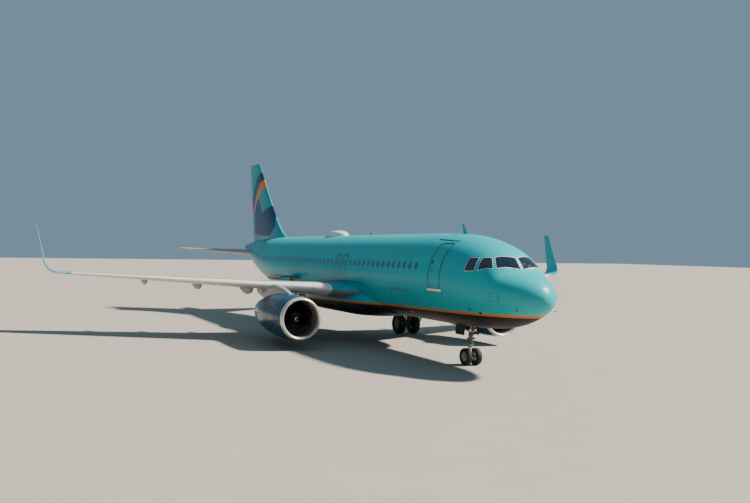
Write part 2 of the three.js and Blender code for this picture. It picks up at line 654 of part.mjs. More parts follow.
// Stabilisers and elevators, port side
// columns as the wing's
const STABILISER_SECTIONS = [
  [31500, 300, 4690, 4250, 0.11, 0, 0],
  [31850, 900, 4705, 3900, 0.11, 0, 0],
  [35380, 6180, 4930, 1270, 0.1, 0, 0],
];
const ELEVATOR = { from: 1060, to: 5950, share: 0.7 };
const stabiliserAt = (y) => lookUp(STABILISER_SECTIONS.map((row) => [row[1], ...row]), y).slice(1);
const elevatorSkin = (y) => skinAt(STABILISER_SECTIONS, 0, y, ELEVATOR.share);
const elevatorFront = (y) => stabiliserAt(y)[0] + stabiliserAt(y)[3] * ELEVATOR.share;
const elevatorCut = hinged(
  surface(STABILISER_SECTIONS),
  middleOf(elevatorSkin(ELEVATOR.from)), middleOf(elevatorSkin(ELEVATOR.to)),
  NOSE_SHARE * halfDepth(elevatorSkin(ELEVATOR.from)),
  NOSE_SHARE * halfDepth(elevatorSkin(ELEVATOR.to)),
  planZone(
    [ELEVATOR.from, elevatorFront(ELEVATOR.from), LENGTH],
    [ELEVATOR.to, elevatorFront(ELEVATOR.to), LENGTH]),
  spanSlab(ELEVATOR.from + END_GAP_INBOARD, ELEVATOR.to - END_GAP_OUTBOARD),
  spanSlab(ELEVATOR.from, ELEVATOR.to));
const stabiliser = cut(elevatorCut.fixed, bodyTool);

// Engines, port side
const [LIP_SEAM, NOZZLE_END] = [220, 5300];
// columns: radius, distance behind the lip
const COWL_OUTER = [[1068, LIP_SEAM], [1112, 650], [1138, 1300], [1136, 2300], [1085, 3200],
  [960, 4100], [800, 4850], [700, NOZZLE_END]];
const COWL_INNER = [[682, NOZZLE_END], [770, 4800], [900, 4000], [975, 3000], [985, 2100],
  [930, 1550], [888, 1150], [880, 800], [898, LIP_SEAM]];
const LIP_PROFILE = [[898, LIP_SEAM - FIT], [905, 110], [935, 30], [972, 0], [1008, 22],
  [1046, 100], [1068, LIP_SEAM - FIT], [898, LIP_SEAM - FIT]];
const [ENGINE_SIDES, CORE_SIDES, SPINNER_SIDES] = [24, 16, 14];
const CORE_PROFILE = [[0, 1450], [420, 1450], [560, 1700], [620, 2200], [600, 3000], [500, 3900],
  [420, 4400], [300, 4420], [190, 4750], [0, 5000]];
const FAN = { front: 880, back: 1140, radius: 862, hub: 250, shaft: 80, tip: 470 };
const [CORE_BORE_START, CORE_BORE_END] = [1400, 1700];
const [SPINNER_END, SHAFT_END] = [1180, 1670];
const STRUT = { count: 8, front: 1500, back: 1850, half: 18, inner: 300, outer: 1050 };

const atEngine = (body) => moved(body, X(ENGINE_LIP_STATION), ENGINE_Y, ENGINE_Z);
const cowlProfile = (grow) => {
  const outer = COWL_OUTER.map(([radius, along]) => [radius + grow, along]);
  const inner = COWL_INNER.map(([radius, along]) => [radius - grow, along]);
  return [...outer, ...inner, outer[0]];
};
const nacelle = atEngine(turned(cowlProfile(0), ENGINE_SIDES, "x"));
const inletLip = atEngine(turned(LIP_PROFILE, ENGINE_SIDES, "x"));

function strut(angle) {
  const plate = box(
    [-STRUT.back, -STRUT.front], [-STRUT.half, STRUT.half], [STRUT.inner, STRUT.outer]);
  return solid(geometryOf(plate).rotateX(angle));
}

const struts = Array.from({ length: STRUT.count }, (_, i) => strut((2 * Math.PI * i) / STRUT.count));
const coreBore = bore([-CORE_BORE_START, 0, 0], [-CORE_BORE_END, 0, 0], FAN.shaft);
const engineCore = atEngine(cut(
  join(turned(CORE_PROFILE, CORE_SIDES, "x"), ...struts),
  turned(cowlProfile(FIT), ENGINE_SIDES, "x"), coreBore));

// A fan blade: flat sections, turned more steeply towards the tip
// columns: radius, chord, thickness, stagger from the axis in degrees
const BLADE_SECTIONS = [[200, 200, 34, 22], [FAN.radius, 250, 12, 60]];

function fanBlade(angle) {
  const middle = -(FAN.front + FAN.back) / 2;
  return loft(BLADE_SECTIONS.map(([radius, chord, thick, stagger]) => {
    const turn = THREE.MathUtils.degToRad(stagger);
    return [[-1, 0], [0, 1], [1, 0], [0, -1]].map(([along, side]) => {
      const [u, v] = [along * chord / 2, side * thick / 2];
      const x = middle + u * Math.cos(turn) - v * Math.sin(turn);
      const across = u * Math.sin(turn) + v * Math.cos(turn);
      const lift = Math.sqrt(radius ** 2 - across ** 2);
      const [c, s] = [Math.cos(angle), Math.sin(angle)];
      return [x, across * c - lift * s, across * s + lift * c];
    });
  }));
}

const SPINNER_PROFILE = [[0, FAN.tip], [60, 500], [150, 640], [215, 790], [FAN.hub, 900],
  [FAN.hub, SPINNER_END], [FAN.shaft, SPINNER_END], [FAN.shaft, SHAFT_END], [0, SHAFT_END]];
const fanSolid = join(
  turned(SPINNER_PROFILE, SPINNER_SIDES, "x"),
  ...Array.from({ length: FAN_BLADES }, (_, i) => fanBlade((2 * Math.PI * i) / FAN_BLADES)));
const fan = atEngine(fanSolid);

// Pylons: a side view outline with a pointed plan, fitted between cowl and wing
// columns: station, height
const PYLON_OUTLINE = [
  [12150, 2600], [12700, 2850], [13600, 3010], [14700, 3110], [15250, 3050], [17650, 2800],
  [17750, 2560], [16700, 2330], [15300, 2200], [12150, 2100],
];
// columns: station, half width
const PYLON_PLAN = [[12150, 40], [12900, 175], [16200, 175], [17750, 25]];
const pylonSide = (side) => PYLON_PLAN.map(([s, half]) => [X(s), ENGINE_Y + side * half]);
const pylonPlan = prism("z", [...pylonSide(-1), ...pylonSide(1).reverse()], PAST.low, PAST.high);
const cowlSkin = COWL_OUTER.map(([radius, along]) => [radius + FIT, along]);
const cowlEnvelope = atEngine(turned(
  [[0, LIP_SEAM], ...cowlSkin, [0, NOZZLE_END]], ENGINE_SIDES, "x"));
const pylonProfile = PYLON_OUTLINE.map(([s, z]) => [X(s), z]);
const pylon = cut(
  common(prism("y", pylonProfile, ENGINE_Y - PAST.y, ENGINE_Y + PAST.y), pylonPlan),
  wingTool, cowlEnvelope);

// Wheels: a tyre is a ring on the rim; twin rims are joined by their spindle.
// Shares of the tyre's half width at its bead, shoulder and tread edge, of its height at the
// widest place, and how far the shoulder lies below the tread
const TYRE_SHAPE = { bead: 0.72, widest: 0.55, shoulder: 0.88, drop: 0.3, tread: 0.62 };

function tyre({ radius, width, rim, sides }) {
  const outer = radius / Math.cos(Math.PI / sides);
  const half = width / 2;
  const flank = [
    [rim + FIT, half * TYRE_SHAPE.bead],
    [rim + (outer - rim) * TYRE_SHAPE.widest, half],
    [outer - half * TYRE_SHAPE.drop, half * TYRE_SHAPE.shoulder],
    [outer, half * TYRE_SHAPE.tread],
  ];
  const inner = flank.map(([reach, along]) => [reach, -along]);
  return turned([...inner, ...flank.reverse(), inner[0]], sides);
}

// Shares of the tyre's width to the rim's edge and its dish, and of the rim's radius at the
// lip, the dish, the foot of the hub and the hub; the hub stops short of the rim's edge
const RIM_SHAPE = { edge: 0.36, dish: 0.12, lip: 0.86, well: 0.72, foot: 0.4, hub: 0.36, short: 0.99 };
const RIM_CONE = 20;

function twinRims({ rim, width, spacing, sides }, spindle) {
  const [inner, outer] = [-1, 1].map((side) => spacing / 2 + side * width * RIM_SHAPE.edge);
  const dish = spacing / 2 + width * RIM_SHAPE.dish;
  const cap = outer * RIM_SHAPE.short;
  const half = [
    [spindle, 0], [spindle, inner + RIM_CONE], [rim, inner], [rim, outer],
    [rim * RIM_SHAPE.lip, outer], [rim * RIM_SHAPE.well, dish], [rim * RIM_SHAPE.foot, dish],
    [rim * RIM_SHAPE.hub, cap], [0, cap],
  ];
  const other = half.slice(1).reverse().map(([radius, along]) => [radius, -along]);
  return turned([...other, ...half], sides);
}

// A sleeve across the axle and the bore that runs through it
const bearing = (spindle, { length, wall }, [x, y, z]) => ({
  sleeve: rod([x, y - length / 2, z], [x, y + length / 2, z], spindle + wall),
  hole: bore([x, y - length, z], [x, y + length, z], spindle),
});

// Nose gear: a fixed leg with its brace and lamps, and a steered piston with its links
const NOSE_SPINDLE = 42;
const NOSE_BEARING = { length: 190, wall: 34 };
const NOSE_LEG = { radius: 92, foot: 900, top: 2360, piston: 58, socket: 220, boreEnd: 5 };
const NOSE_COLLAR = { radius: 118, top: 1010 };
const NOSE_TRUNNION = { z: 2230, radius: 60 };
const NOSE_BRACE = { low: 1330, high: 2300, ahead: 360, radius: 38, pivot: 34 };
const STEERING_ACTUATOR = { z: 1180, reach: 175, radius: 46 };
const NOSE_LAMP = { z: 1560, y: 130, back: 60, arms: 70, front: 150, narrow: 70, wide: 85, arm: 22 };
const NOSE_YOKE = { low: 800, high: 870, radius: 84 };
const NOSE_LINK = {
  knee: [-260, 660], top: [-60, 835], bottom: [-40, 440], thick: 26, thin: 20, kneeHalf: 44,
};
const [LINK_SIDES, STAY_SIDES] = [8, 10];
const noseX = X(NOSE_GEAR_STATION);
const noseAt = (ahead, y, z) => [noseX + ahead, y, z];
const acrossNose = (ahead, reach, z, radius) =>
  rod(noseAt(ahead, -reach, z), noseAt(ahead, reach, z), radius);
const noseAxle = noseAt(0, 0, NOSE_TYRE.radius);
const noseBearing = bearing(NOSE_SPINDLE, NOSE_BEARING, noseAxle);
const noseSocket = bore(
  noseAt(0, 0, NOSE_LEG.foot - NOSE_LEG.boreEnd),
  noseAt(0, 0, NOSE_LEG.foot + NOSE_LEG.socket), NOSE_LEG.piston);
const bayReach = NOSE_BAY.halfWidth - FIT;
const noseLamps = [-1, 1].map((side) => rod(
  noseAt(NOSE_LAMP.back, side * NOSE_LAMP.y, NOSE_LAMP.z),
  noseAt(NOSE_LAMP.front, side * NOSE_LAMP.y, NOSE_LAMP.z), NOSE_LAMP.narrow, NOSE_LAMP.wide));
const noseLeg = cut(join(
  rod(noseAt(0, 0, NOSE_LEG.foot), noseAt(0, 0, NOSE_LEG.top), NOSE_LEG.radius),
  rod(noseAt(0, 0, NOSE_LEG.foot), noseAt(0, 0, NOSE_COLLAR.top), NOSE_COLLAR.radius),
  acrossNose(0, bayReach, NOSE_TRUNNION.z, NOSE_TRUNNION.radius),
  rod(noseAt(0, 0, NOSE_BRACE.low), noseAt(NOSE_BRACE.ahead, 0, NOSE_BRACE.high), NOSE_BRACE.radius),
  acrossNose(NOSE_BRACE.ahead, bayReach, NOSE_BRACE.high, NOSE_BRACE.pivot),
  acrossNose(0, STEERING_ACTUATOR.reach, STEERING_ACTUATOR.z, STEERING_ACTUATOR.radius),
  acrossNose(NOSE_LAMP.arms, NOSE_LAMP.y, NOSE_LAMP.z, NOSE_LAMP.arm),
  rod(noseAt(0, 0, NOSE_LAMP.z), noseAt(NOSE_LAMP.arms, 0, NOSE_LAMP.z), NOSE_LAMP.arm),
  ...noseLamps,
), noseSocket);
const [noseKnee, noseLinkTop, noseLinkBottom] =
  [NOSE_LINK.knee, NOSE_LINK.top, NOSE_LINK.bottom].map(([ahead, z]) => noseAt(ahead, 0, z));
const nosePiston = cut(join(
  rod(noseAxle, noseAt(0, 0, NOSE_LEG.foot + NOSE_LEG.socket - MOVING_GAP), NOSE_LEG.piston),
  noseBearing.sleeve,
  rod(noseAt(0, 0, NOSE_YOKE.low), noseAt(0, 0, NOSE_YOKE.high), NOSE_YOKE.radius),
  rod(noseLinkTop, noseKnee, NOSE_LINK.thick, NOSE_LINK.thin, LINK_SIDES),
  rod(noseLinkBottom, noseKnee, NOSE_LINK.thick, NOSE_LINK.thin, LINK_SIDES),
  acrossNose(NOSE_LINK.knee[0], NOSE_LINK.kneeHalf, NOSE_LINK.knee[1], NOSE_LINK.thick),
), noseBearing.hole);

// Nose gear doors, hanging open beside the leg
const NOSE_DOOR = {
  from: 5020, to: 5740, low: 1330, high: 1850, thick: 26, splay: 20, chamfer: 30,
};
const noseDoor = cut(prism("x", [
  [NOSE_BAY.halfWidth + NOSE_DOOR.splay, NOSE_DOOR.low + NOSE_DOOR.chamfer],
  [NOSE_BAY.halfWidth + NOSE_DOOR.splay + NOSE_DOOR.thick, NOSE_DOOR.low],
  [NOSE_BAY.halfWidth + NOSE_DOOR.thick, NOSE_DOOR.high],
  [NOSE_BAY.halfWidth, NOSE_DOOR.high],
], X(NOSE_DOOR.to), X(NOSE_DOOR.from)), bodyTool);

// Main gear, port side: a leg with its braces, links and the door it carries
const MAIN_SPINDLE = 70;
const MAIN_BEARING = { length: 400, wall: 50 };
const MAIN_LEG = { piston: 82, sleeve: 132, sleeveFoot: 1230, pistonTop: 1300, top: 2900 };
const DRAG_BRACE = { low: 1900, high: 2700, back: 380, radius: 60 };
const SIDE_STAY = { low: 1620, high: 2760, inboard: 1050, radius: 64 };
const MAIN_LINK = {
  knee: [430, 1010], top: [60, 1400], bottom: [50, 660], thick: 34, thin: 26, kneeHalf: 68,
};
const LEG_DOOR = {
  out: 620, low: 1200, high: 2560, half: 460, thick: 34, arms: [1500, 2200], arm: 30,
};
const mainX = X(MAIN_GEAR_STATION);
const mainAt = (ahead, across, z) => [mainX + ahead, MAIN_GEAR_Y + across, z];
const mainAxle = mainAt(0, 0, MAIN_TYRE.radius);
const mainBearing = bearing(MAIN_SPINDLE, MAIN_BEARING, mainAxle);
const [mainKnee, mainLinkTop, mainLinkBottom] =
  [MAIN_LINK.knee, MAIN_LINK.top, MAIN_LINK.bottom].map(([ahead, z]) => mainAt(ahead, 0, z));
const legDoor = box(
  [mainX - LEG_DOOR.half, mainX + LEG_DOOR.half],
  [LEG_DOOR.out - LEG_DOOR.thick / 2, LEG_DOOR.out + LEG_DOOR.thick / 2].map((y) => MAIN_GEAR_Y + y),
  [LEG_DOOR.low, LEG_DOOR.high]);
const mainLeg = cut(join(
  rod(mainAxle, mainAt(0, 0, MAIN_LEG.pistonTop), MAIN_LEG.piston),
  rod(mainAt(0, 0, MAIN_LEG.sleeveFoot), mainAt(0, 0, MAIN_LEG.top), MAIN_LEG.sleeve),
  mainBearing.sleeve,
  rod(mainAt(-DRAG_BRACE.back, 0, DRAG_BRACE.high), mainAt(0, 0, DRAG_BRACE.low),
    DRAG_BRACE.radius, DRAG_BRACE.radius, STAY_SIDES),
  rod(mainAt(0, 0, SIDE_STAY.low), mainAt(0, -SIDE_STAY.inboard, SIDE_STAY.high),
    SIDE_STAY.radius, SIDE_STAY.radius, STAY_SIDES),
  rod(mainLinkTop, mainKnee, MAIN_LINK.thick, MAIN_LINK.thin, LINK_SIDES),
  rod(mainLinkBottom, mainKnee, MAIN_LINK.thick, MAIN_LINK.thin, LINK_SIDES),
  rod(...[-1, 1].map((side) =>
    mainAt(MAIN_LINK.knee[0], side * MAIN_LINK.kneeHalf, MAIN_LINK.knee[1])),
  MAIN_LINK.thick, MAIN_LINK.thick, LINK_SIDES),
  ...LEG_DOOR.arms.map((z) => rod(
    mainAt(0, 0, z), mainAt(0, LEG_DOOR.out, z), LEG_DOOR.arm, LEG_DOOR.arm, LINK_SIDES)),
  legDoor,
), mainBearing.hole, wingTool, flapTool);

// The fuselage shells, with their openings
const NOSE_JACK = { station: 6450, radius: 70, low: 1705, top: 1900 };
const noseJack = rod(
  [X(NOSE_JACK.station), 0, NOSE_JACK.low], [X(NOSE_JACK.station), 0, NOSE_JACK.top],
  NOSE_JACK.radius);
const knuckles = [FORWARD_CARGO_STATION, AFT_CARGO_STATION].flatMap((centre) =>
  KNUCKLE_PLACES.map((share) => cargoKnuckle(centre, share)));
const openBody = cut(
  bodyOuter, ...doorRecesses, glazingRecess, noseBay,
  cargoBay(FORWARD_CARGO_STATION), cargoBay(AFT_CARGO_STATION));
const fuselage = cut(
  join(openBody, noseJack, ...knuckles.map(({ lug }) => lug)),
  ...knuckles.map(({ hole }) => hole));
const shell = (from, to) => common(fuselage, slice(from, to - FIT));

// Assembly
const aircraft = new THREE.Group();

function add(name, body, material) {
  const mesh = new THREE.Mesh(geometryOf(body), material);
  mesh.name = name;
  aircraft.add(mesh);
}

function addPair(name, body, material) {
  add(`${name}_left`, body, material);
  add(`${name}_right`, mirror(body), material);
}

add("radome", shell(-FIT, RADOME_END), TEAL_PAINT);
add("nose_section", shell(RADOME_END, NOSE_END), TEAL_PAINT);
add("cockpit_glazing", cockpitGlazing, COCKPIT_GLASS);
add("forward_fuselage", shell(NOSE_END, FORWARD_END), TEAL_PAINT);
add("centre_fuselage", shell(FORWARD_END, CENTRE_END), TEAL_PAINT);
add("aft_fuselage", shell(CENTRE_END, AFT_END), TEAL_PAINT);
add("tail_section", shell(AFT_END, TAIL_END), TEAL_PAINT);
add("tail_cone", shell(TAIL_END, LENGTH + 2 * FIT), DARK_METAL);
add("belly_fairing", bellyFairing, TEAL_PAINT);
add("crown_radome", crownRadome, WHITE_PAINT);
for (const [name, leaf] of passengerDoors) add(name, leaf, TEAL_PAINT);
add("cargo_door_forward", cargoDoor(FORWARD_CARGO_STATION), TEAL_PAINT);
add("cargo_door_aft", swingCargo(cargoDoor(AFT_CARGO_STATION), CARGO_OPEN_ANGLE), TEAL_PAINT);

addPair("wing", wing, GREY_PAINT);
addPair("slats", slats, BARE_METAL);
addPair("flap_inboard", inboardFlap, GREY_PAINT);
addPair("flap_outboard", outboardFlap, GREY_PAINT);
addPair("aileron", aileronCut.moving, GREY_PAINT);
addPair("winglet", winglet, LIGHT_GREY);

add("fin", fin, NAVY_PAINT);
add("rudder", rudderCut.moving, NAVY_PAINT);
addPair("stabiliser", stabiliser, TAIL_GREY);
addPair("elevator", elevatorCut.moving, TAIL_GREY);

addPair("nacelle", nacelle, NAVY_PAINT);
addPair("inlet_lip", inletLip, BARE_METAL);
addPair("fan", fan, DARK_METAL);
addPair("engine_core", engineCore, DARK_METAL);
addPair("pylon", pylon, LIGHT_GREY);

add("nose_leg", noseLeg, GEAR_STEEL);
add("nose_piston", nosePiston, GEAR_STEEL);
addPair("nose_gear_door", noseDoor, NAVY_PAINT);
add("nose_rims", moved(twinRims(NOSE_TYRE, NOSE_SPINDLE), ...noseAxle), BARE_METAL);
addPair("nose_tyre",
  moved(tyre(NOSE_TYRE), noseX, NOSE_TYRE.spacing / 2, NOSE_TYRE.radius), TYRE_RUBBER);

addPair("main_leg", mainLeg, GEAR_STEEL);
addPair("main_rims", moved(twinRims(MAIN_TYRE, MAIN_SPINDLE), ...mainAxle), BARE_METAL);
for (const [place, step] of [["outer", 1], ["inner", -1]]) {
  const y = MAIN_GEAR_Y + step * MAIN_TYRE.spacing / 2;
  addPair(`main_tyre_${place}`, moved(tyre(MAIN_TYRE), mainX, y, MAIN_TYRE.radius), TYRE_RUBBER);
}

export default aircraft;
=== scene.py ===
# %% [markdown]
# A narrow body twin-engine airliner, parked on its wheels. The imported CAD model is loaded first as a
# fixed frame: X points to the nose, Y to port, Z up, in metres, and the ground is at zero. Lengths along
# the body are stations, which count back from the tip of the nose.

import json

import bmesh
import bpy
import numpy as np
from mathutils import Matrix, Vector

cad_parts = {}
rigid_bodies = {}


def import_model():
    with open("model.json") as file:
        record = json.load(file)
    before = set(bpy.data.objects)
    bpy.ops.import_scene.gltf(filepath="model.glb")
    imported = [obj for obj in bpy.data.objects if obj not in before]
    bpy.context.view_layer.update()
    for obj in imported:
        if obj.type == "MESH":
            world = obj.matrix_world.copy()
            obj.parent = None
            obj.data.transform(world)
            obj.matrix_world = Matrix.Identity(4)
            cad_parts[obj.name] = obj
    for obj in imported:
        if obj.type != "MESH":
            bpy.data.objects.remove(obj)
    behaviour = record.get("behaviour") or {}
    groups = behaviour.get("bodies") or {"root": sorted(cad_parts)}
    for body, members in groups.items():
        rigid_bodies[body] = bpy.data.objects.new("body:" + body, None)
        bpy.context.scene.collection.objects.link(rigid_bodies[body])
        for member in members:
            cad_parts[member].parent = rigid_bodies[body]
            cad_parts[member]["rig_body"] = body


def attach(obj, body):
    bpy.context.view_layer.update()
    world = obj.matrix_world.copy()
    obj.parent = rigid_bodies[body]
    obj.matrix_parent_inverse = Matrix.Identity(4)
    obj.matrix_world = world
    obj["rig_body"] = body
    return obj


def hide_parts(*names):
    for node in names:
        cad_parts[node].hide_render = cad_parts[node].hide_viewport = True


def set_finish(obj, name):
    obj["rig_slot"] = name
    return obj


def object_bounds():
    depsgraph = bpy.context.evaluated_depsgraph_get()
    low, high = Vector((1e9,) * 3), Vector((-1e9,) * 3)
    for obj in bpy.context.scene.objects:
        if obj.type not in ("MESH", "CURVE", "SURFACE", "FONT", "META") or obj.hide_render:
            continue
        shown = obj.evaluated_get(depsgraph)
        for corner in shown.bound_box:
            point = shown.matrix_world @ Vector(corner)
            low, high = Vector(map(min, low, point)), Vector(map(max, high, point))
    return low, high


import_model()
cad_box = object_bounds()
NOSE_X = cad_box[1].x
STARBOARD, PORT = -1, 1
SIDES = (("left", PORT), ("right", STARBOARD))
AIRFRAME = "airframe"
print("the CAD box is", [[round(v, 3) for v in corner] for corner in cad_box])

# %% [markdown]
# The photograph was taken from ahead of the starboard wing, 5 m up, a little above the cabin windows. Its
# camera was found from known sizes: wheels, doors, fin, span. The middle of the lens lies left of the
# middle of the picture, which a lens shift gives without leaning the verticals.

# %% The camera of the photograph
PHOTO_WIDTH, PHOTO_HEIGHT = 750, 503
SENSOR = 36.0
FOCAL_PIXELS = 804.04
EYE = Vector((44.797, -20.509, 5.071))
YAW, PITCH, ROLL = 2.85484, -0.00621, 0.01476  # radians: round Z from +X, up, and over to the right
PRINCIPAL = (226.74, 252.09)  # the pixel that the lens looks straight at
CLIP_END = 500


def camera_turn(yaw, pitch, roll):
    """Rotation whose columns are right, up and back, for a camera that looks along yaw and pitch."""
    ahead = Vector((np.cos(pitch) * np.cos(yaw), np.cos(pitch) * np.sin(yaw), np.sin(pitch)))
    level = Vector((np.sin(yaw), -np.cos(yaw), 0))
    upright = level.cross(ahead)
    right = level * np.cos(roll) + upright * np.sin(roll)
    up = upright * np.cos(roll) - level * np.sin(roll)
    return Matrix((right, up, -ahead)).transposed().to_4x4()


camera = bpy.data.objects.new("camera", bpy.data.cameras.new("camera"))
bpy.context.scene.collection.objects.link(camera)
camera.matrix_world = Matrix.Translation(EYE) @ camera_turn(YAW, PITCH, ROLL)
camera.data.sensor_width = SENSOR
camera.data.lens = FOCAL_PIXELS * SENSOR / PHOTO_WIDTH
camera.data.shift_x = (PHOTO_WIDTH / 2 - PRINCIPAL[0]) / PHOTO_WIDTH
camera.data.shift_y = (PRINCIPAL[1] - PHOTO_HEIGHT / 2) / PHOTO_WIDTH
camera.data.clip_end = CLIP_END
bpy.context.scene.camera = camera
print("lens", round(camera.data.lens, 2), "mm, shift", round(camera.data.shift_x, 3))

# %% [markdown]
# Most of the airliner is sheet that bends smoothly, so every piece is a surface over two parameters: a
# grid of points worked out as one array. A few words for shapes are enough. A form is points with faces,
# and forms can be stacked into one mesh.

# %% Forms: grids of points with their faces
def form(points, around=True, loop=False):
    """Quads between neighbours of a grid (..., rows, columns, 3). around joins the last column to the
    first, loop the last row to the first; leading axes are copies of the grid."""
    points = np.asarray(points, float)
    rows, columns = points.shape[-3:-1]
    index = np.arange(rows * columns).reshape(rows, columns)
    if around:
        index = np.concatenate([index, index[:, :1]], 1)
    if loop:
        index = np.concatenate([index, index[:1]])
    quads = np.stack([index[:-1, :-1], index[:-1, 1:], index[1:, 1:], index[1:, :-1]], -1)
    copies = points.size // (rows * columns * 3)
    offset = np.arange(copies)[:, None, None] * rows * columns
    return points.reshape(-1, 3), (quads.reshape(1, -1, 4) + offset).reshape(-1, 4)


def capped(points):
    """A grid closed at both ends: a row at the middle of the first row, and one at that of the last."""
    first, last = [np.broadcast_to(points[..., i, :, :].mean(-2, keepdims=True),
                                   points[..., i, :, :].shape) for i in (0, -1)]
    return np.concatenate([first[..., None, :, :], points, last[..., None, :, :]], -3)


def stacked(*forms):
    """Several forms as one: points in a row, and each form's faces counted on."""
    counts = np.cumsum([0] + [len(points) for points, _ in forms])
    return (np.concatenate([points for points, _ in forms]),
            np.concatenate([faces + start for (_, faces), start in zip(forms, counts)]))


print("faces of a grid of 3 rows of 4, joined round:", len(form(np.zeros((3, 4, 3)))[1]))

# %% [markdown]
# A piece is a form turned into an object. Its place is in its mesh and its object stays at the origin, so
# it can ride on a body of the CAD model and stand for nodes of it. Holes are cut with Booleans, because a
# hole that crosses a curved skin is hard to grid, and most port pieces get a twin to starboard.

# %% Meshes that are closed and smooth
MERGE = 1e-5
CREASE = 32


def finish_mesh(mesh, crease=CREASE):
    """Doubles merged, faces outwards, smooth but for edges sharper than the crease angle."""
    work = bmesh.new()
    work.from_mesh(mesh)
    bmesh.ops.remove_doubles(work, verts=work.verts, dist=MERGE)
    bmesh.ops.dissolve_degenerate(work, edges=work.edges, dist=MERGE)
    bmesh.ops.recalc_face_normals(work, faces=work.faces)
    work.to_mesh(mesh)
    work.free()
    mesh.shade_smooth()
    mesh.set_sharp_from_angle(angle=np.radians(crease))


def solid_object(name, shape, material=None, crease=CREASE):
    """An object at the origin, with its place in its mesh."""
    mesh = bpy.data.meshes.new(name)
    mesh.from_pydata(shape[0].tolist(), [], shape[1].tolist())
    if material:
        mesh.materials.append(material)
    finish_mesh(mesh, crease)
    made = bpy.data.objects.new(name, mesh)
    bpy.context.scene.collection.objects.link(made)
    return made


print("edges sharper than", CREASE, "degrees stay sharp")

# %% Pieces: a form with its finish and the body it rides on
def enrol(made, body, slot, replaces=()):
    """The piece rides on a CAD body, takes a slot of the record, and stands for CAD nodes."""
    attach(made, body)
    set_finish(made, slot)
    if replaces:
        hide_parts(*replaces)
    return made


def piece(name, shape, finish, body=AIRFRAME, replaces=(), crease=CREASE):
    """A form made into a piece; finish is a material with the slot it belongs to."""
    made = solid_object(name, shape, finish["material"], crease)
    return enrol(made, body, finish["slot"], replaces)


def carve(made, *cutters, operation="DIFFERENCE", crease=CREASE):
    """Cuts the object by each cutter in turn; cut faces take the cutter's own material."""
    for cutter in cutters:
        modifier = made.modifiers.new("carve", "BOOLEAN")
        modifier.operation, modifier.solver = operation, "EXACT"
        modifier.material_mode, modifier.object = "TRANSFER", cutter
    graph = bpy.context.evaluated_depsgraph_get()
    cut_mesh = bpy.data.meshes.new_from_object(made.evaluated_get(graph), depsgraph=graph)
    made.modifiers.clear()
    old = made.data
    cut_mesh.name = old.name
    made.data = cut_mesh
    bpy.data.meshes.remove(old)
    made.data.shade_smooth()
    made.data.set_sharp_from_angle(angle=np.radians(crease))
    for cutter in cutters:
        bpy.data.objects.remove(cutter)
    return made


def other_side(made, name, body=None, replaces=()):
    """The starboard twin of a port piece: its mesh with Y turned over and its faces turned back."""
    mesh = made.data.copy()
    places = np.empty(len(mesh.vertices) * 3)
    mesh.vertices.foreach_get("co", places)
    mesh.vertices.foreach_set("co", (places.reshape(-1, 3) * [1, -1, 1]).ravel())
    mesh.flip_normals()
    mesh.update()
    twin = bpy.data.objects.new(name, mesh)
    bpy.context.scene.collection.objects.link(twin)
    return enrol(twin, body or made["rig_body"], made["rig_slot"], replaces)


# %% [markdown]
# A few shapes come back in many pieces: something turned about an axis, a bar, a tube along a path, a
# bevelled box. Each is one formula on whole arrays.

# %% Turned, drawn and boxed shapes
def turned(profile, origin, axis=(0, 1, 0), sides=48, closed=False):
    """Profile of (radius, distance) turned about an axis. closed joins its last point to its first."""
    axis = np.array(Vector(axis).normalized())
    first = np.array(Vector(axis).orthogonal().normalized())
    second = np.cross(axis, first)
    profile = np.asarray(profile, float)
    turn = np.linspace(0, 2 * np.pi, sides, endpoint=False)
    ring = np.cos(turn)[:, None] * first + np.sin(turn)[:, None] * second
    points = profile[:, 0, None, None] * ring + profile[:, 1, None, None] * axis
    return form(points + np.asarray(origin, float), loop=closed)


def bar(start, end, radius, tip=None, sides=24, bevel=0.12):
    """A round bar between two points, its ends eased by a bevel; tip is the radius at the far end."""
    start, end = np.asarray(start, float), np.asarray(end, float)
    length = np.linalg.norm(end - start)
    tip = radius if tip is None else tip
    ease = bevel * min(radius, tip, length)
    return turned([(0, 0), (radius - ease, 0), (radius, ease), (tip, length - ease),
                   (tip - ease, length), (0, length)], start, end - start, sides)


def tube(path, radius, sides=12):
    """A round tube along a path of points: a ring at each point, square to the path's direction, and
    turned on from the ring before by the smallest turn."""
    path = np.asarray(path, float)
    ahead = np.gradient(path, axis=0)
    ahead /= np.linalg.norm(ahead, axis=1, keepdims=True)
    side = np.array(Vector(ahead[0]).orthogonal().normalized())
    rings = []
    turn = np.linspace(0, 2 * np.pi, sides, endpoint=False)
    radius = np.broadcast_to(radius, len(path))
    for point, along, size in zip(path, ahead, radius):
        side = side - along * (side @ along)
        side /= np.linalg.norm(side)
        up = np.cross(along, side)
        rings.append(point + size * (np.cos(turn)[:, None] * side + np.sin(turn)[:, None] * up))
    return form(capped(np.array(rings)))


def block(low, high, bevel=0.004):
    """A box between two corners, with bevelled edges: eight corner points pulled in by the bevel on two
    axes at a time, drawn as stacked outlines of eight points."""
    low, high = np.minimum(low, high), np.maximum(low, high)
    bevel = min(bevel, (high - low).min() / 3)
    outline = []
    for inset in (bevel, 0, 0, bevel):
        (x0, y0), (x1, y1) = low[:2] + inset, high[:2] - inset
        outline.append([(x0 + bevel, y0), (x1 - bevel, y0), (x1, y0 + bevel), (x1, y1 - bevel),
                        (x1 - bevel, y1), (x0 + bevel, y1), (x0, y1 - bevel), (x0, y0 + bevel)])
    heights = np.array([low[2], low[2] + bevel, high[2] - bevel, high[2]])
    points = np.concatenate([np.array(outline), np.tile(heights[:, None, None], (1, 8, 1))], -1)
    return form(capped(points))


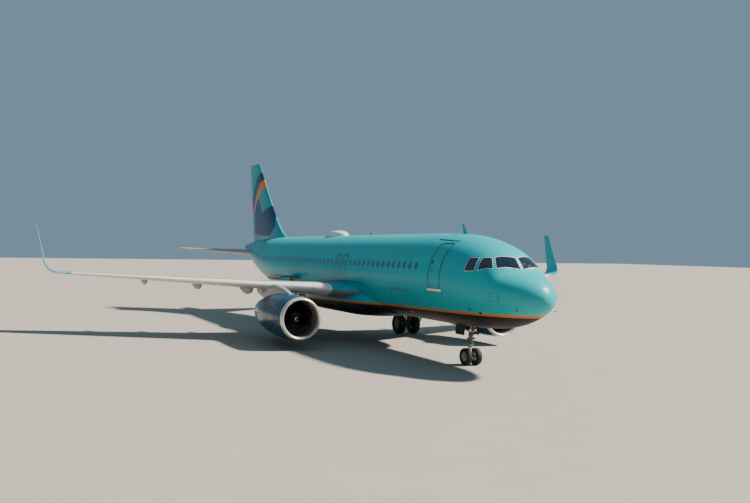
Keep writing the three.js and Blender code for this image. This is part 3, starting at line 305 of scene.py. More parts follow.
print("points of a bar:", len(bar((0, 0, 0), (1, 0, 0), 0.1)[0]), "and of a box:",
      len(block((0, 0, 0), (1, 1, 1))[0]))

# %% [markdown]
# Curves are drawn through a few measured rows by a cubic that never swings past them. Plates and bands
# are laid on a surface through a chart: a function from two coordinates and a lift to a point in space.
# One chart serves every window, panel and line on that surface, and they all follow its curve.

# %% Curves and outlines
def smooth_through(x, y, at):
    """A cubic through rows (x, y) whose slope at a row is the weighted harmonic mean of the slopes either
    side, and flat where they change sign, so that it never bulges past the rows."""
    step, slope = np.diff(x), np.diff(y) / np.diff(x)
    before, after = 2 * step[1:] + step[:-1], step[1:] + 2 * step[:-1]
    same = slope[:-1] * slope[1:] > 0
    safe = np.where(same, slope[:-1], 1), np.where(same, slope[1:], 1)
    tangent = np.concatenate([slope[:1], np.where(
        same, (before + after) / (before / safe[0] + after / safe[1]), 0), slope[-1:]])
    at = np.clip(at, x[0], x[-1])
    i = np.clip(np.searchsorted(x, at, side="right") - 1, 0, len(step) - 1)
    t, h = (at - x[i]) / step[i], step[i]
    return (y[i] * (1 + 2 * t) * (1 - t) ** 2 + h * tangent[i] * t * (1 - t) ** 2
            + y[i + 1] * t ** 2 * (3 - 2 * t) + h * tangent[i + 1] * t ** 2 * (t - 1))


def through_rows(rows, count):
    """The curve through a table's rows, one a step, read off at equal steps: a cubic in each column."""
    index = np.arange(len(rows))
    steps = np.linspace(0, index[-1], count)
    return np.stack([smooth_through(index, column, steps) for column in np.transpose(rows)], -1)


def signed_power(value, power):
    """The size of a value to a power, with its sign kept, which makes an ellipse squarer."""
    return np.sign(value) * np.abs(value) ** power


def rounded(width, height, radius, corner=6):
    """Outline of a rounded rectangle about zero, (n, 2): a quarter circle at each corner."""
    turn = np.linspace(0, np.pi / 2, corner)
    quarters = [turn + k * np.pi / 2 for k in range(4)]
    centres = np.array([(1, 1), (-1, 1), (-1, -1), (1, -1)]) * [width / 2 - radius, height / 2 - radius]
    return np.concatenate([centre + radius * np.stack([np.cos(q), np.sin(q)], -1)
                           for centre, q in zip(centres, quarters)])


def resampled(outline, count):
    """A closed outline walked round in equal steps."""
    shut = np.concatenate([outline, outline[:1]])
    walked = np.concatenate([[0], np.cumsum(np.linalg.norm(np.diff(shut, axis=0), axis=1))])
    at = np.linspace(0, walked[-1], count, endpoint=False)
    return np.stack([np.interp(at, walked, shut[:, i]) for i in range(shut.shape[1])], -1)


def box_outline(u, v, width, tall, radius, count=72):
    """A rounded rectangle in equal steps, round a middle point (u, v)."""
    return resampled(rounded(width, tall, radius), count) + [u, v]


def turning(outline):
    """1 for an outline that runs anticlockwise, -1 for one that runs clockwise: the sign of its area."""
    after = np.roll(outline, -1, 0)
    return np.sign(np.sum(outline[:, 0] * after[:, 1] - after[:, 0] * outline[:, 1]))


def eased(outline, count):
    """A closed outline with its corners eased: each point becomes the mean of an odd count of points
    about it, weighted by a raised cosine."""
    weights, wide = np.hanning(count), count // 2
    around = np.concatenate([outline[-wide:], outline, outline[:wide]])
    return np.stack([np.convolve(around[:, i], weights / weights.sum(), "valid") for i in (0, 1)], -1)


print("a cubic from 0 by 1 to 4, halfway on:", smooth_through(np.arange(3), np.array([0, 1, 4]), 1.5))

# %% Plates and bands laid on a surface
def pad(outline, place, top, bottom, rings=4):
    """A closed plate over a surface. place(u, v, lift) gives the surface point at chart place (u, v);
    rings shrink from the outline (..., n, 2) to its centre, on top and again underneath."""
    centre = outline.mean(-2, keepdims=True)[..., None, :, :]
    share = np.linspace(0, 1, rings + 1)
    share = np.concatenate([share, share[::-1]])[:, None, None]
    lift = np.repeat([top, bottom], rings + 1)[:, None]
    chart = centre + share * (outline[..., None, :, :] - centre)
    return form(place(chart[..., 0], chart[..., 1], lift + 0 * chart[..., 0]))


def band(outer, inner, place, top, bottom=0.0):
    """A closed strip on a surface between two outlines of equal count: four points across it."""
    chart = np.stack([outer, inner, inner, outer], -2)
    lift = np.array([top, top, bottom, bottom]) + 0 * chart[..., 0]
    return form(place(chart[..., 0], chart[..., 1], lift), around=True, loop=True)

# %% [markdown]
# The finishes. An airliner's skin is aluminium sheet under sprayed polyurethane with a clear coat, which
# shines like a car's and shows faint waves between the frames and a fine dark line at each lap joint.
# Every finish is worked out from Object coordinates in metres, so that it stays with its piece.

# %% Colours and nodes
def linear(code):
    """An sRGB colour such as 1F9AA5 as linear light: below 0.04045 divided by 12.92, and above that
    the share (c + 0.055) / 1.055 to the power 2.4."""
    share = np.array([int(code[i:i + 2], 16) for i in (0, 2, 4)]) / 255
    light = np.where(share <= 0.04045, share / 12.92, ((share + 0.055) / 1.055) ** 2.4)
    return (*light.tolist(), 1.0)


def add(tree, kind, inputs=(), out=0, **settings):
    """One node: its settings first, then its inputs, given in their order or as a dictionary. An input
    that is a socket is linked, and any other is set. What comes back is the node's output number out."""
    node = tree.nodes.new("ShaderNode" + kind)
    for key, value in settings.items():
        setattr(node, key, value)
    for key, value in (inputs.items() if isinstance(inputs, dict) else enumerate(inputs)):
        if isinstance(value, bpy.types.NodeSocket):
            tree.links.new(value, node.inputs[key])
        else:
            node.inputs[key].default_value = value
    return node.outputs[out]


def new_material(name, colour, **values):
    """A material of one colour with a Principled shader, whose plain values are set on its own sockets."""
    material = bpy.data.materials.new(name)
    material.use_nodes = True
    shader = material.node_tree.nodes["Principled BSDF"]
    shader.inputs["Base Color"].default_value = linear(colour)
    for key, value in values.items():
        shader.inputs[key.replace("_", " ").title().replace("Ior", "IOR")].default_value = value
    material.diffuse_color = linear(colour)
    return material, material.node_tree, shader


def drive(tree, shader, **sockets):
    """Links what was worked out to the shader: base_color, roughness or normal."""
    for key, socket in sockets.items():
        tree.links.new(socket, shader.inputs[key.replace("_", " ").title()])


def place_of(tree):
    """Object coordinates, and their X, Y and Z."""
    place = add(tree, "TexCoord", out="Object")
    return place, *apart(tree, place)


def apart(tree, place):
    """The X, Y and Z of a vector."""
    x = add(tree, "SeparateXYZ", [place])
    return x, x.node.outputs[1], x.node.outputs[2]


def line_every(tree, value, pitch, width, shift=0.0):
    """1 on lines of this width, one every pitch: how near the value is to a whole number of pitches."""
    shifted = add(tree, "Math", [value, pitch / 2 - shift], operation="ADD")
    centred = add(tree, "Math", [shifted, pitch / 2], operation="SUBTRACT")
    away = add(tree, "Math", [centred, pitch / 2], operation="PINGPONG")
    outside = add(tree, "MapRange", [away, width / 4, width / 2])
    return add(tree, "Math", [1.0, outside], operation="SUBTRACT")


print("middle grey in linear light:", np.round(linear("808080"), 3))

# %% [markdown]
# Sprayed paint. Three things keep it from looking like plastic: the waves of the sheet between its
# frames, half a metre apart, which bend the reflections; patches of dust and run marks drawn out
# downwards; and the joints of the sheets. A real joint is 2 mm wide, which no picture of a whole
# airliner shows, so the joints are drawn 14 mm wide.

# %% What age does to painted sheet
FRAME_PITCH = 0.533
JOINT_WIDTH = 0.014
# patches of dust are some 2.2 m across; run marks are 0.14 m wide and six times as tall
PATCH_SCALE, RUN_SCALE, RUN_STRETCH = 0.45, 5.0, (1.4, 1.4, 0.22)
WAVE_DEPTH = 0.0016


def weathering(tree, place, colour, amount):
    """The colour darkened by slow patches, and by marks drawn out downwards."""
    patches = add(tree, "TexNoise", {"Vector": place, "Scale": PATCH_SCALE, "Detail": 4.0})
    drawn = add(tree, "VectorMath", [place, RUN_STRETCH], operation="MULTIPLY")
    runs = add(tree, "TexNoise", {"Vector": drawn, "Scale": RUN_SCALE, "Detail": 5.0})
    soil = add(tree, "Math", [add(tree, "MapRange", [patches, 0.35, 0.75]),
                              add(tree, "MapRange", [runs, 0.3, 0.8])], operation="MULTIPLY")
    dark = add(tree, "HueSaturation", {"Saturation": 0.85, "Value": 1 - amount, "Color": colour})
    return add(tree, "Mix", {0: soil, 6: colour, 7: dark}, out=2, data_type="RGBA"), soil


def skin_waves(tree, place, seams):
    """Bump for sheet: low waves between frames, with grooves at the joints."""
    waves = add(tree, "TexNoise", {"Vector": place, "Scale": 1 / FRAME_PITCH, "Detail": 1.0})
    height = add(tree, "Math", [waves, seams], operation="SUBTRACT")
    return add(tree, "Bump", {"Height": height, "Distance": WAVE_DEPTH, "Strength": 0.5})


print("frames a metre of body:", round(1 / FRAME_PITCH, 2))

# %% Painted sheet
TEAL, NAVY, ORANGE, SEAM_DARK = "00ACB4", "030E1C", "C06A22", "101820"


def paint(name, slot, colour, roughness=0.3, soiling=0.22, joint=0.0, coat=0.5, zone=None):
    """Paint of one colour; joint is the pitch of the lap joints along X, and 0 leaves them out. zone(tree,
    x, y, z) is the share of teal at a place. Soiled paint is rougher."""
    material, tree, shader = new_material(
        name, colour, roughness=roughness, coat_weight=coat, coat_roughness=0.08, ior=1.5)
    place, x, y, z = place_of(tree)
    base = linear(colour)
    if zone:
        base = add(tree, "Mix", {0: zone(tree, x, y, z), 6: base, 7: linear(TEAL)}, out=2,
                   data_type="RGBA")
    tint, soil = weathering(tree, place, base, soiling)
    seams = line_every(tree, x, joint, JOINT_WIDTH) if joint else 0.0
    if joint:
        shade = add(tree, "Math", [seams, 0.45], operation="MULTIPLY")
        tint = add(tree, "Mix", {0: shade, 6: tint, 7: linear(SEAM_DARK)}, out=2, data_type="RGBA")
    rough = add(tree, "Math", [soil, 0.2, roughness], operation="MULTIPLY_ADD")
    drive(tree, shader, base_color=tint, roughness=rough, normal=skin_waves(tree, place, seams))
    return {"material": material, "slot": slot}


print("teal in linear light:", np.round(linear(TEAL), 3))

# %% [markdown]
# The fuselage is teal above and navy below, with a thin orange line between them that falls 20 mm in
# every metre going aft. The colour comes from the height above that line, so the cargo door takes its
# share of it. A door that is stored open is painted as if it were turned back about its hinge, and so
# the line runs on over it when it shuts. The navy is matt, which keeps the floor's light out of it.

# %% The livery of the fuselage
LINE_RISE, LINE_LOW, LINE_HALF_WIDTH, LINE_SOFT = 0.0205, 2.214, 0.055, 0.004
LINE_STATION = 15.0
TEAL_GLOSS, NAVY_GLOSS = 0.32, 0.62
SKIN_JOINTS = {"along": 4 * FRAME_PITCH, "from": 0.4, "up": 1.05, "above": 0.12}


def fuselage_paint(name, swing=0.0, hinge=(0, 0, 0)):
    """Height above the orange line picks the colour; swing is the angle a door is stored open at."""
    material, tree, shader = new_material(
        name, TEAL, roughness=0.34, coat_weight=0.05, coat_roughness=0.15, ior=1.3)
    place, x, y, z = place_of(tree)
    if swing:
        place = add(tree, "VectorRotate", {"Vector": place, "Center": hinge,
                    "Angle": float(np.radians(swing))}, rotation_type="X_AXIS")
        x, y, z = apart(tree, place)
    start = LINE_LOW - (NOSE_X - LINE_STATION) * LINE_RISE
    line_height = add(tree, "Math", [x, LINE_RISE, start], operation="MULTIPLY_ADD")
    above = add(tree, "Math", [z, line_height], operation="SUBTRACT")
    seams = add(tree, "Math", [
        line_every(tree, x, SKIN_JOINTS["along"], JOINT_WIDTH, SKIN_JOINTS["from"]),
        line_every(tree, z, SKIN_JOINTS["up"], JOINT_WIDTH, SKIN_JOINTS["above"])], operation="MAXIMUM")
    upper, soil = weathering(tree, place, linear(TEAL), 0.16)
    colour = linear(NAVY)
    for edge, over in ((-LINE_HALF_WIDTH, linear(ORANGE)), (LINE_HALF_WIDTH, upper)):
        share = add(tree, "MapRange", [above, edge - LINE_SOFT, edge + LINE_SOFT])
        colour = add(tree, "Mix", {0: share, 6: colour, 7: over}, out=2, data_type="RGBA")
    shade = add(tree, "Math", [seams, 0.4], operation="MULTIPLY")
    colour = add(tree, "Mix", {0: shade, 6: colour, 7: linear("04181E")}, out=2, data_type="RGBA")
    share = add(tree, "MapRange", [above, -LINE_HALF_WIDTH, LINE_HALF_WIDTH])
    matt = add(tree, "Math", [share, TEAL_GLOSS - NAVY_GLOSS, NAVY_GLOSS], operation="MULTIPLY_ADD")
    rough = add(tree, "Math", [soil, 0.12, matt], operation="MULTIPLY_ADD")
    drive(tree, shader, base_color=colour, roughness=rough, normal=skin_waves(tree, place, seams))
    return {"material": material, "slot": "teal_paint"}


print("the orange line falls", round(30 * LINE_RISE, 2), "m in 30 m")

# %% [markdown]
# Bare metals. The inlet lips are polished aluminium, the slats are aluminium gone matt and pale in use,
# so they look white in the sun and hold no clear reflection. The exhaust is nickel alloy browned by
# heat, and the shock struts are chromed steel. What the eye takes from a metal is how its streaks of
# polishing or turning stretch the highlights, so the roughness varies and the colour hardly does.

# %% Metals
STAIN_SCALE, MARK_DEPTH = 2.2, 0.0004


def bare_metal(name, slot, colour, roughness, grain=(60, 60, 60), stain=None, spread=0.12,
               metallic=1.0):
    """Roughness follows fine noise stretched along the tool marks, grain being marks a metre along each
    axis; stain is a second colour in slow patches, about 0.45 m across."""
    material, tree, shader = new_material(name, colour, metallic=metallic, roughness=roughness)
    place = place_of(tree)[0]
    drawn = add(tree, "VectorMath", [place, grain], operation="MULTIPLY")
    marks = add(tree, "TexNoise", {"Vector": drawn, "Scale": 1.0, "Detail": 4.0})
    rough = add(tree, "Math", [marks, spread, roughness - spread / 2], operation="MULTIPLY_ADD")
    patches = add(tree, "TexNoise", {"Vector": place, "Scale": STAIN_SCALE, "Detail": 5.0})
    share = add(tree, "MapRange", [patches, 0.45, 0.7])
    tint = add(tree, "Mix", {0: share, 6: linear(colour), 7: linear(stain or colour)}, out=2,
               data_type="RGBA")
    bump = add(tree, "Bump", {"Height": marks, "Distance": MARK_DEPTH, "Strength": 0.3})
    drive(tree, shader, base_color=tint, roughness=rough, normal=bump)
    return {"material": material, "slot": slot}


print("tool marks are", 1000 * MARK_DEPTH, "mm deep")

# %% [markdown]
# Rubber, moulded plastic and laminate scatter light from fine grit and hold a paler dusting. Glass in
# daylight looks nearly black from outside because the room behind it is in shade; it is drawn as an opaque
# dark mirror, its near-black colour painted shade, with a trace of wiped dust.

# %% Rubber, plastics and glass
def dull(name, slot, colour, roughness, grit=400.0, depth=0.0008, mottle=0.25):
    """Fine grit, 1000 / grit millimetres apart, and a paler dusting in patches of a third of a metre."""
    material, tree, shader = new_material(name, colour, roughness=roughness, metallic=0.0, ior=1.5)
    place = place_of(tree)[0]
    fine = add(tree, "TexNoise", {"Vector": place, "Scale": grit, "Detail": 2.0})
    dusty = add(tree, "TexNoise", {"Vector": place, "Scale": 3.0, "Detail": 5.0})
    pale = add(tree, "HueSaturation",
               {"Saturation": 0.7, "Value": 1 + mottle * 2, "Color": linear(colour)})
    share = add(tree, "MapRange", [dusty, 0.4, 0.8])
    tint = add(tree, "Mix", {0: share, 6: linear(colour), 7: pale}, out=2, data_type="RGBA")
    rough = add(tree, "Math", [dusty, 0.2, roughness - 0.1], operation="MULTIPLY_ADD")
    bump = add(tree, "Bump", {"Height": fine, "Distance": depth, "Strength": 0.4})
    drive(tree, shader, base_color=tint, roughness=rough, normal=bump)
    return {"material": material, "slot": slot}


def glazing(name, slot, colour, roughness=0.05):
    """Coated glass seen from outside: a dark colour that paints in the shade of the unlit room behind it,
    with a mirror's shine and a trace of wiped dust.
    """
    material, tree, shader = new_material(
        name, colour, roughness=roughness, ior=1.52, coat_weight=1.0, coat_roughness=0.02)
    dust = add(tree, "TexNoise", {"Vector": place_of(tree)[0], "Scale": 8.0, "Detail": 4.0})
    share = add(tree, "MapRange", [dust, 0.5, 1.8])
    tint = add(tree, "Mix", {0: share, 6: linear(colour), 7: linear("34424A")}, out=2, data_type="RGBA")
    rough = add(tree, "Math", [dust, 0.08, roughness], operation="MULTIPLY_ADD")
    drive(tree, shader, base_color=tint, roughness=rough)
    return {"material": material, "slot": slot}

# %% [markdown]
# On the wing the fuselage's teal runs out over the root, ahead of the wing's box, and comes back at the
# tip. Both places follow from the leading edge, so the zone is worked out from its line.

# %% Where the wing is teal
LEADING_STATION, LEADING_Y, LEADING_SWEEP = 12.85, 1.98, 0.5206
SLAT_SPAN = (3.0, 16.05)
ROOT_DEPTH, ROOT_LOW, ZONE_SOFT = 0.8, 2.84, 0.01


def leading_edge(y):
    """Station of the wing's leading edge at a span position: it falls back by the sweep in each metre."""
    return LEADING_STATION + (y - LEADING_Y) * LEADING_SWEEP


def teal_ends(tree, x, y, z):
    """1 on the root, less than 0.8 m behind the leading edge, inboard of the slats and above the belly's
    paint, and 1 on the tip outside the slats."""
    out = add(tree, "Math", [y], operation="ABSOLUTE")
    edge = add(tree, "Math", [out, LEADING_SWEEP, leading_edge(0.0) - NOSE_X], operation="MULTIPLY_ADD")
    ahead = add(tree, "Math", [x, edge], operation="ADD")
    behind = add(tree, "Math", [ahead, -1.0], operation="MULTIPLY")
    near = add(tree, "MapRange", [behind, ROOT_DEPTH, ROOT_DEPTH - ZONE_SOFT])
    high = add(tree, "MapRange", [z, ROOT_LOW, ROOT_LOW + ZONE_SOFT])
    root = add(tree, "Math", [near, high], operation="MULTIPLY")
    inboard = add(tree, "MapRange", [out, SLAT_SPAN[0], SLAT_SPAN[0] - ZONE_SOFT])
    root = add(tree, "Math", [root, inboard], operation="MULTIPLY")
    tip = add(tree, "MapRange", [out, SLAT_SPAN[1], SLAT_SPAN[1] + ZONE_SOFT])
    return add(tree, "Math", [root, tip], operation="MAXIMUM")


print("the leading edge meets the tip at station", round(leading_edge(SLAT_SPAN[1]), 2))

# %% The paints of the airliner
fuselage_finish = fuselage_paint("fuselage_polyurethane_paint")
# The wing's grey is darker than the real paint, to stand in for the shade under the wing: painted shade
shade_darkened_wing_paint = paint("wing_grey_polyurethane_darkened_for_shade", "wing_grey_paint", "8E908D", 0.42, 0.3, 1.1, 0.15, teal_ends)
belly_paint = paint("belly_navy_polyurethane", "belly_navy_paint", NAVY, 0.4, 0.1, coat=0.0)
winglet_finish = paint("winglet_polyurethane", "winglet_paint", TEAL, 0.3, 0.1, coat=0.2)
pylon_paint = paint("pylon_polyurethane", "winglet_paint", "8E9392", 0.36, 0.25, 0.9, 0.3)
tailplane_finish = paint("tailplane_polyurethane", "tailplane_paint", "A79F93", 0.42, 0.2, 1.2, 0.2)
cowl_paint = paint("cowl_navy_polyurethane", "cowl_navy_paint", "003A58", 0.22, 0.1, coat=0.1)
teal_trim = paint("teal_polyurethane", "teal_paint", TEAL, 0.28, 0.12, coat=0.2)
white_paint = paint("white_polyurethane", "marking_white_paint", "D9DCDA", 0.35, 0.12, coat=0.4)
dark_marking = paint("navy_marking_paint", "marking_dark_paint", "00163A", 0.34, 0.05, coat=0.4)
# Landing gear enamel is dulled by hydraulic oil and brake dust, so it is soiled the most
gear_enamel = paint("gear_enamel", "gear_paint", "5C5F62", 0.45, 0.5, coat=0.15)
brace_enamel = paint("brace_red_enamel", "gear_paint", "6E2B22", 0.45, 0.35, coat=0.15)
rim_enamel = paint("wheel_rim_enamel", "wheel_rim_paint", "A9ADAD", 0.42, 0.5, coat=0.15)
hub_enamel = paint("hub_cap_enamel", "wheel_rim_paint", "5C6162", 0.4, 0.3, coat=0.15)
print("painted finishes:", len(bpy.data.materials))

# %% Its metals, rubber, plastics and glass
lip_metal = bare_metal("polished_aluminium", "bare_aluminium", "E6E0D6", 0.34, (6, 90, 90), "D2CCC0",
                       metallic=0.6)
edge_metal = bare_metal("leading_edge_aluminium", "bare_aluminium", "F0ECE4", 0.45, (90, 6, 90), "E0DCD2",
                        metallic=0.25)
steel = bare_metal("machined_steel", "bare_aluminium", "8F9294", 0.35, (120, 20, 120), "5E6062")
fan_metal = bare_metal("fan_titanium", "fan_titanium", "6A6C70", 0.34, (30, 120, 120), "4B4D52")
hot_metal = bare_metal("heat_browned_nickel_alloy", "exhaust_metal", "6E645A", 0.42, (8, 60, 60), "4A3F38")
cone_metal = bare_metal("tail_cone_titanium", "tail_cone_metal", "8A8C8C", 0.36, (10, 50, 50), "65615B")
chrome = bare_metal("chromed_steel", "chromed_piston", "E2E4E6", 0.09, (10, 10, 200), spread=0.06)
brake_metal = bare_metal("brake_carbon_and_steel", "fan_titanium", "2F3133", 0.55, (60, 60, 60), "1D1C1B")
rubber = dull("tyre_rubber", "tyre_rubber", "17181A", 0.78, 300.0, 0.0012, 0.6)
seal = dull("window_seal_rubber", "black_plastic", "121416", 0.6, 500.0)
plastic = dull("black_moulded_plastic", "black_plastic", "1B1D1F", 0.5, 600.0)
primer = dull("zinc_chromate_primer", "hold_lining", "8E9384", 0.55, 200.0, 0.0006, 0.15)
# The hold lining is really a pale laminate; its colour here is darkened to stand in for the shade inside the
# hold: painted shade
lining = dull("hold_lining_laminate_painted_shade", "hold_lining", "7C7D78", 0.5, 60.0, 0.001, 0.1)
liner = dull("acoustic_liner_laminate", "wing_grey_paint", "5E5850", 0.5, 250.0, 0.0008, 0.1)
# The near-black glass colours stand in for the shade of the unlit rooms behind the panes: painted shade
screen_glass = glazing("cockpit_glass", "cockpit_glass", "041C2C")
window_glass = glazing("cabin_window_acrylic", "cabin_glass", "06303C", 0.1)
lamp_lens = glazing("lamp_glass", "lamp_glass", "AEB6B8", 0.08)
red_lens = glazing("red_lamp_glass", "lamp_glass", "7E1410", 0.08)
print("finishes:", len(bpy.data.materials))

# %% [markdown]
# The fuselage is a tube whose section is two half ellipses, one above and one below its widest line. A
# table gives crown, keel, half width and widest line at a few stations. A cubic in the square root of the
# station runs through them, and the square root is what makes the tip of the nose round.

# %% Table of the fuselage
# columns: station, crown, keel, half width, height of the widest line
BODY = np.array([
    [0, 3.225, 3.175, 0.03, 3.2], [0.06, 3.45, 2.985, 0.265, 3.215], [0.25, 3.72, 2.77, 0.57, 3.24],
    [0.55, 3.935, 2.56, 0.85, 3.29], [0.95, 4.11, 2.35, 1.11, 3.37], [1.48, 4.3, 2.13, 1.345, 3.47],
    [1.96, 4.79, 1.99, 1.51, 3.56], [2.45, 5.15, 1.9, 1.63, 3.63], [3.2, 5.45, 1.81, 1.775, 3.7],
    [4.2, 5.69, 1.75, 1.89, 3.755], [5.4, 5.82, 1.732, 1.955, 3.79], [7, 5.868, 1.73, 1.975, 3.8],
    [12.4, 5.87, 1.73, 1.975, 3.8], [20, 5.87, 1.73, 1.975, 3.8], [24, 5.868, 1.732, 1.974, 3.8],
    [26, 5.862, 1.9, 1.95, 3.85], [28.2, 5.85, 2.29, 1.855, 4.03], [30.4, 5.815, 2.83, 1.64, 4.29],
    [32.6, 5.735, 3.44, 1.3, 4.56], [34.6, 5.6, 4.02, 0.905, 4.8], [36.2, 5.44, 4.48, 0.54, 4.96],
    [37.3, 5.3, 4.79, 0.285, 5.04], [37.57, 5.225, 4.9, 0.165, 5.06]])
TAIL_END = BODY[-1, 0]
NORMAL_STEP = 1e-4
print("rows of the table:", len(BODY))

# %% Points of its skin
def body_at(station):
    """Crown, keel, half width and widest line at a station."""
    key = np.sqrt(np.clip(station, 0, TAIL_END))
    return [smooth_through(np.sqrt(BODY[:, 0]), BODY[:, i], key) for i in (1, 2, 3, 4)]


def on_body(station, angle, lift=0.0):
    """Skin point at a station and an angle from the crown, positive to starboard: across = half width
    times sine, up = height above or below the widest line times cosine. lift moves it out along the
    normal, the cross product of the two small steps along the skin."""
    def bare(s, a):
        """The point with no lift."""
        crown, keel, half, waist = body_at(s)
        up = np.where(np.cos(a) > 0, crown - waist, waist - keel) * np.cos(a)
        return np.stack([NOSE_X - s + 0 * a, -half * np.sin(a), waist + up], -1)

    station, angle, lift = [np.asarray(v, float) for v in np.broadcast_arrays(station, angle, lift)]
    along = bare(station + NORMAL_STEP, angle) - bare(station - NORMAL_STEP, angle)
    across = bare(station, angle + NORMAL_STEP) - bare(station, angle - NORMAL_STEP)
    normal = np.cross(along, across)
    normal /= np.maximum(np.linalg.norm(normal, axis=-1, keepdims=True), 1e-12)
    return bare(station, angle) + normal * lift[..., None]


def angle_at(station, height):
    """The starboard angle at which the skin has this height."""
    crown, keel, half, waist = body_at(station)
    depth = np.where(height > waist, crown - waist, waist - keel)
    return np.arccos(np.clip((height - waist) / depth, -1, 1))


def on_side(side):
    """A chart of one side: (station, height, lift) to a skin point."""
    return lambda u, v, lift: on_body(u, -side * angle_at(u, v), lift)


def by_angle(side):
    """A chart of one side: (station, angle from the crown, lift) to a skin point."""
    return lambda u, v, lift: on_body(u, -side * v, lift)


print("the skin at the wing is", np.round(body_at(14.0), 3), "m: crown, keel, half width, widest line")

# %% Its seven sections
AROUND = 112
# columns: piece name, from, to, rows
SECTIONS = [
    ("radome", 0, 0.95, 26), ("nose_section", 0.95, 3.45, 26), ("forward_fuselage", 3.45, 12.4, 44),
    ("centre_fuselage", 12.4, 20, 30), ("aft_fuselage", 20, 28.6, 44), ("tail_section", 28.6, 35.4, 28),
    ("tail_cone", 35.4, TAIL_END, 14)]
ring_angles = np.linspace(0, 2 * np.pi, AROUND, endpoint=False)
body_pieces = {}
for name, start, end, rows in SECTIONS:
    stations = np.linspace(np.sqrt(start), np.sqrt(end), rows)[:, None] ** 2
    finish = cone_metal if name == "tail_cone" else fuselage_finish
    body_pieces[name] = piece(name + "_skin", form(capped(on_body(stations, ring_angles))), finish,
                              replaces=[name])
print("fuselage pieces:", len(body_pieces))

# %% [markdown]
# The holes: two cargo doorways with their holds, the nose gear bay and the pipe of the auxiliary power
# unit in the tail. Each hole is a closed form taken away from the skin with a Boolean, and its walls
# keep the material of the form that cut them.

# %% Sizes of the cargo doors and holds
CARGO = {"forward": 8.16, "aft": 21.75}
CARGO_WIDTH, CARGO_DEPTH, CARGO_SEAM, CARGO_CORNER, DOORWAY_ROOM = 1.82, 0.09, 0.01, 0.13, 0.012
HINGE_Y, HINGE_Z, HINGE_RADIUS, HINGE_PIN = -1.895, 3.2, 0.022, 0.01
SILL_ANGLE = np.radians(152.4)
HINGE_ANGLE = float(angle_at(CARGO["aft"], HINGE_Z))
GIRTH = 2.02  # radius that turns an angle of the skin at the doors into metres round it
HOLD = {"outer": -1.5, "inner": 0.9, "floor": 2.08, "roof": 3.15, "past": 0.25, "wall": 0.115}


def within_skin(outline, station, wall):
    """Outline points (y, z) outside the inner skin are drawn in to it along the line to the axis."""
    crown, keel, half, waist = [float(v) for v in body_at(station)]
    away = outline - [0, waist]
    depth = np.where(away[:, 1] > 0, crown - waist, waist - keel) - wall
    reach = np.sqrt((away[:, 0] / (half - wall)) ** 2 + (away[:, 1] / depth) ** 2)
    return [0, waist] + away / np.maximum(reach, 1)[:, None]


def hold_cutter(centre):
    """The hold as a length of one outline: a box, drawn in where it would leave the fuselage."""
    box = box_outline((HOLD["outer"] + HOLD["inner"]) / 2, (HOLD["floor"] + HOLD["roof"]) / 2,
                      HOLD["inner"] - HOLD["outer"], HOLD["roof"] - HOLD["floor"], 0.06, 96)
    y, z = within_skin(box, centre, HOLD["wall"]).T
    reach = CARGO_WIDTH / 2 + HOLD["past"]
    x = NOSE_X - centre + np.array([[-reach], [reach]])
    points = np.stack([x + 0 * y, y + 0 * x, z + 0 * x], -1)
    # the hold's walls take the lining's colour, darkened for the shade inside: painted shade
    return solid_object("hold_cutter", form(capped(points)), lining["material"])


def cargo_outline(centre, inset):
    """The door's outline in (station, angle), rounded; inset is the seam round it."""
    low, high = HINGE_ANGLE + inset / GIRTH, SILL_ANGLE - inset / GIRTH
    box = rounded(CARGO_WIDTH - 2 * inset, (high - low) * GIRTH, CARGO_CORNER)
    return resampled(box, 80) * [1, 1 / GIRTH] + [centre, (low + high) / 2]


def doorway_cutter(centre):
    """A thick plate through the skin, a seam's width larger than the door."""
    hole = pad(cargo_outline(centre, -DOORWAY_ROOM), on_body, 0.3, -0.16, rings=3)
    return solid_object("doorway_cutter", hole, primer["material"])


print("a cargo door is", round((SILL_ANGLE - HINGE_ANGLE) * GIRTH, 2), "m tall round the skin")

# %% Cutting the holds, the gear bay and the tail pipe
for place, name in (("forward", "forward_fuselage"), ("aft", "aft_fuselage")):
    carve(body_pieces[name], hold_cutter(CARGO[place]))
    carve(body_pieces[name], doorway_cutter(CARGO[place]))
BAY = {"from": 4.56, "to": 5.76, "half": 0.33, "roof": 2.42, "below": 1.0}
bay = block((NOSE_X - BAY["to"], -BAY["half"], BAY["below"]),
            (NOSE_X - BAY["from"], BAY["half"], BAY["roof"]), 0.02)
carve(body_pieces["forward_fuselage"], solid_object("bay_cutter", bay, primer["material"]))
PIPE = {"radius": 0.125, "depth": 0.7, "height": 5.06, "axis": (1, 0, -0.05), "past": 0.02}
pipe_hole = turned([(0, 0), (PIPE["radius"], 0), (PIPE["radius"], PIPE["depth"]), (0, PIPE["depth"])],
                   (NOSE_X - TAIL_END - PIPE["past"], 0, PIPE["height"]), PIPE["axis"])
carve(body_pieces["tail_cone"], solid_object("pipe_cutter", pipe_hole, hot_metal["material"]))
print("largest piece has", max(len(p.data.polygons) for p in body_pieces.values()), "faces")

# %% [markdown]
# Cargo doors open outwards and up on a piano hinge along their top edge. The leaf is a piece of the skin
# with its thickness, and a frame of stiff ribs inside. The aft one is stored open, as photographed: the
# same leaf, turned about the hinge.

# %% The leaf of a cargo door
OPEN_ANGLE = {"forward": 0.0, "aft": 128.0}
LEAF_SKIN, BEAM_START, BEAM_HALF, RAIL_HALF, LEAF_MARGIN = 0.03, 0.028, 0.022, 0.014, (0.09, 0.06)


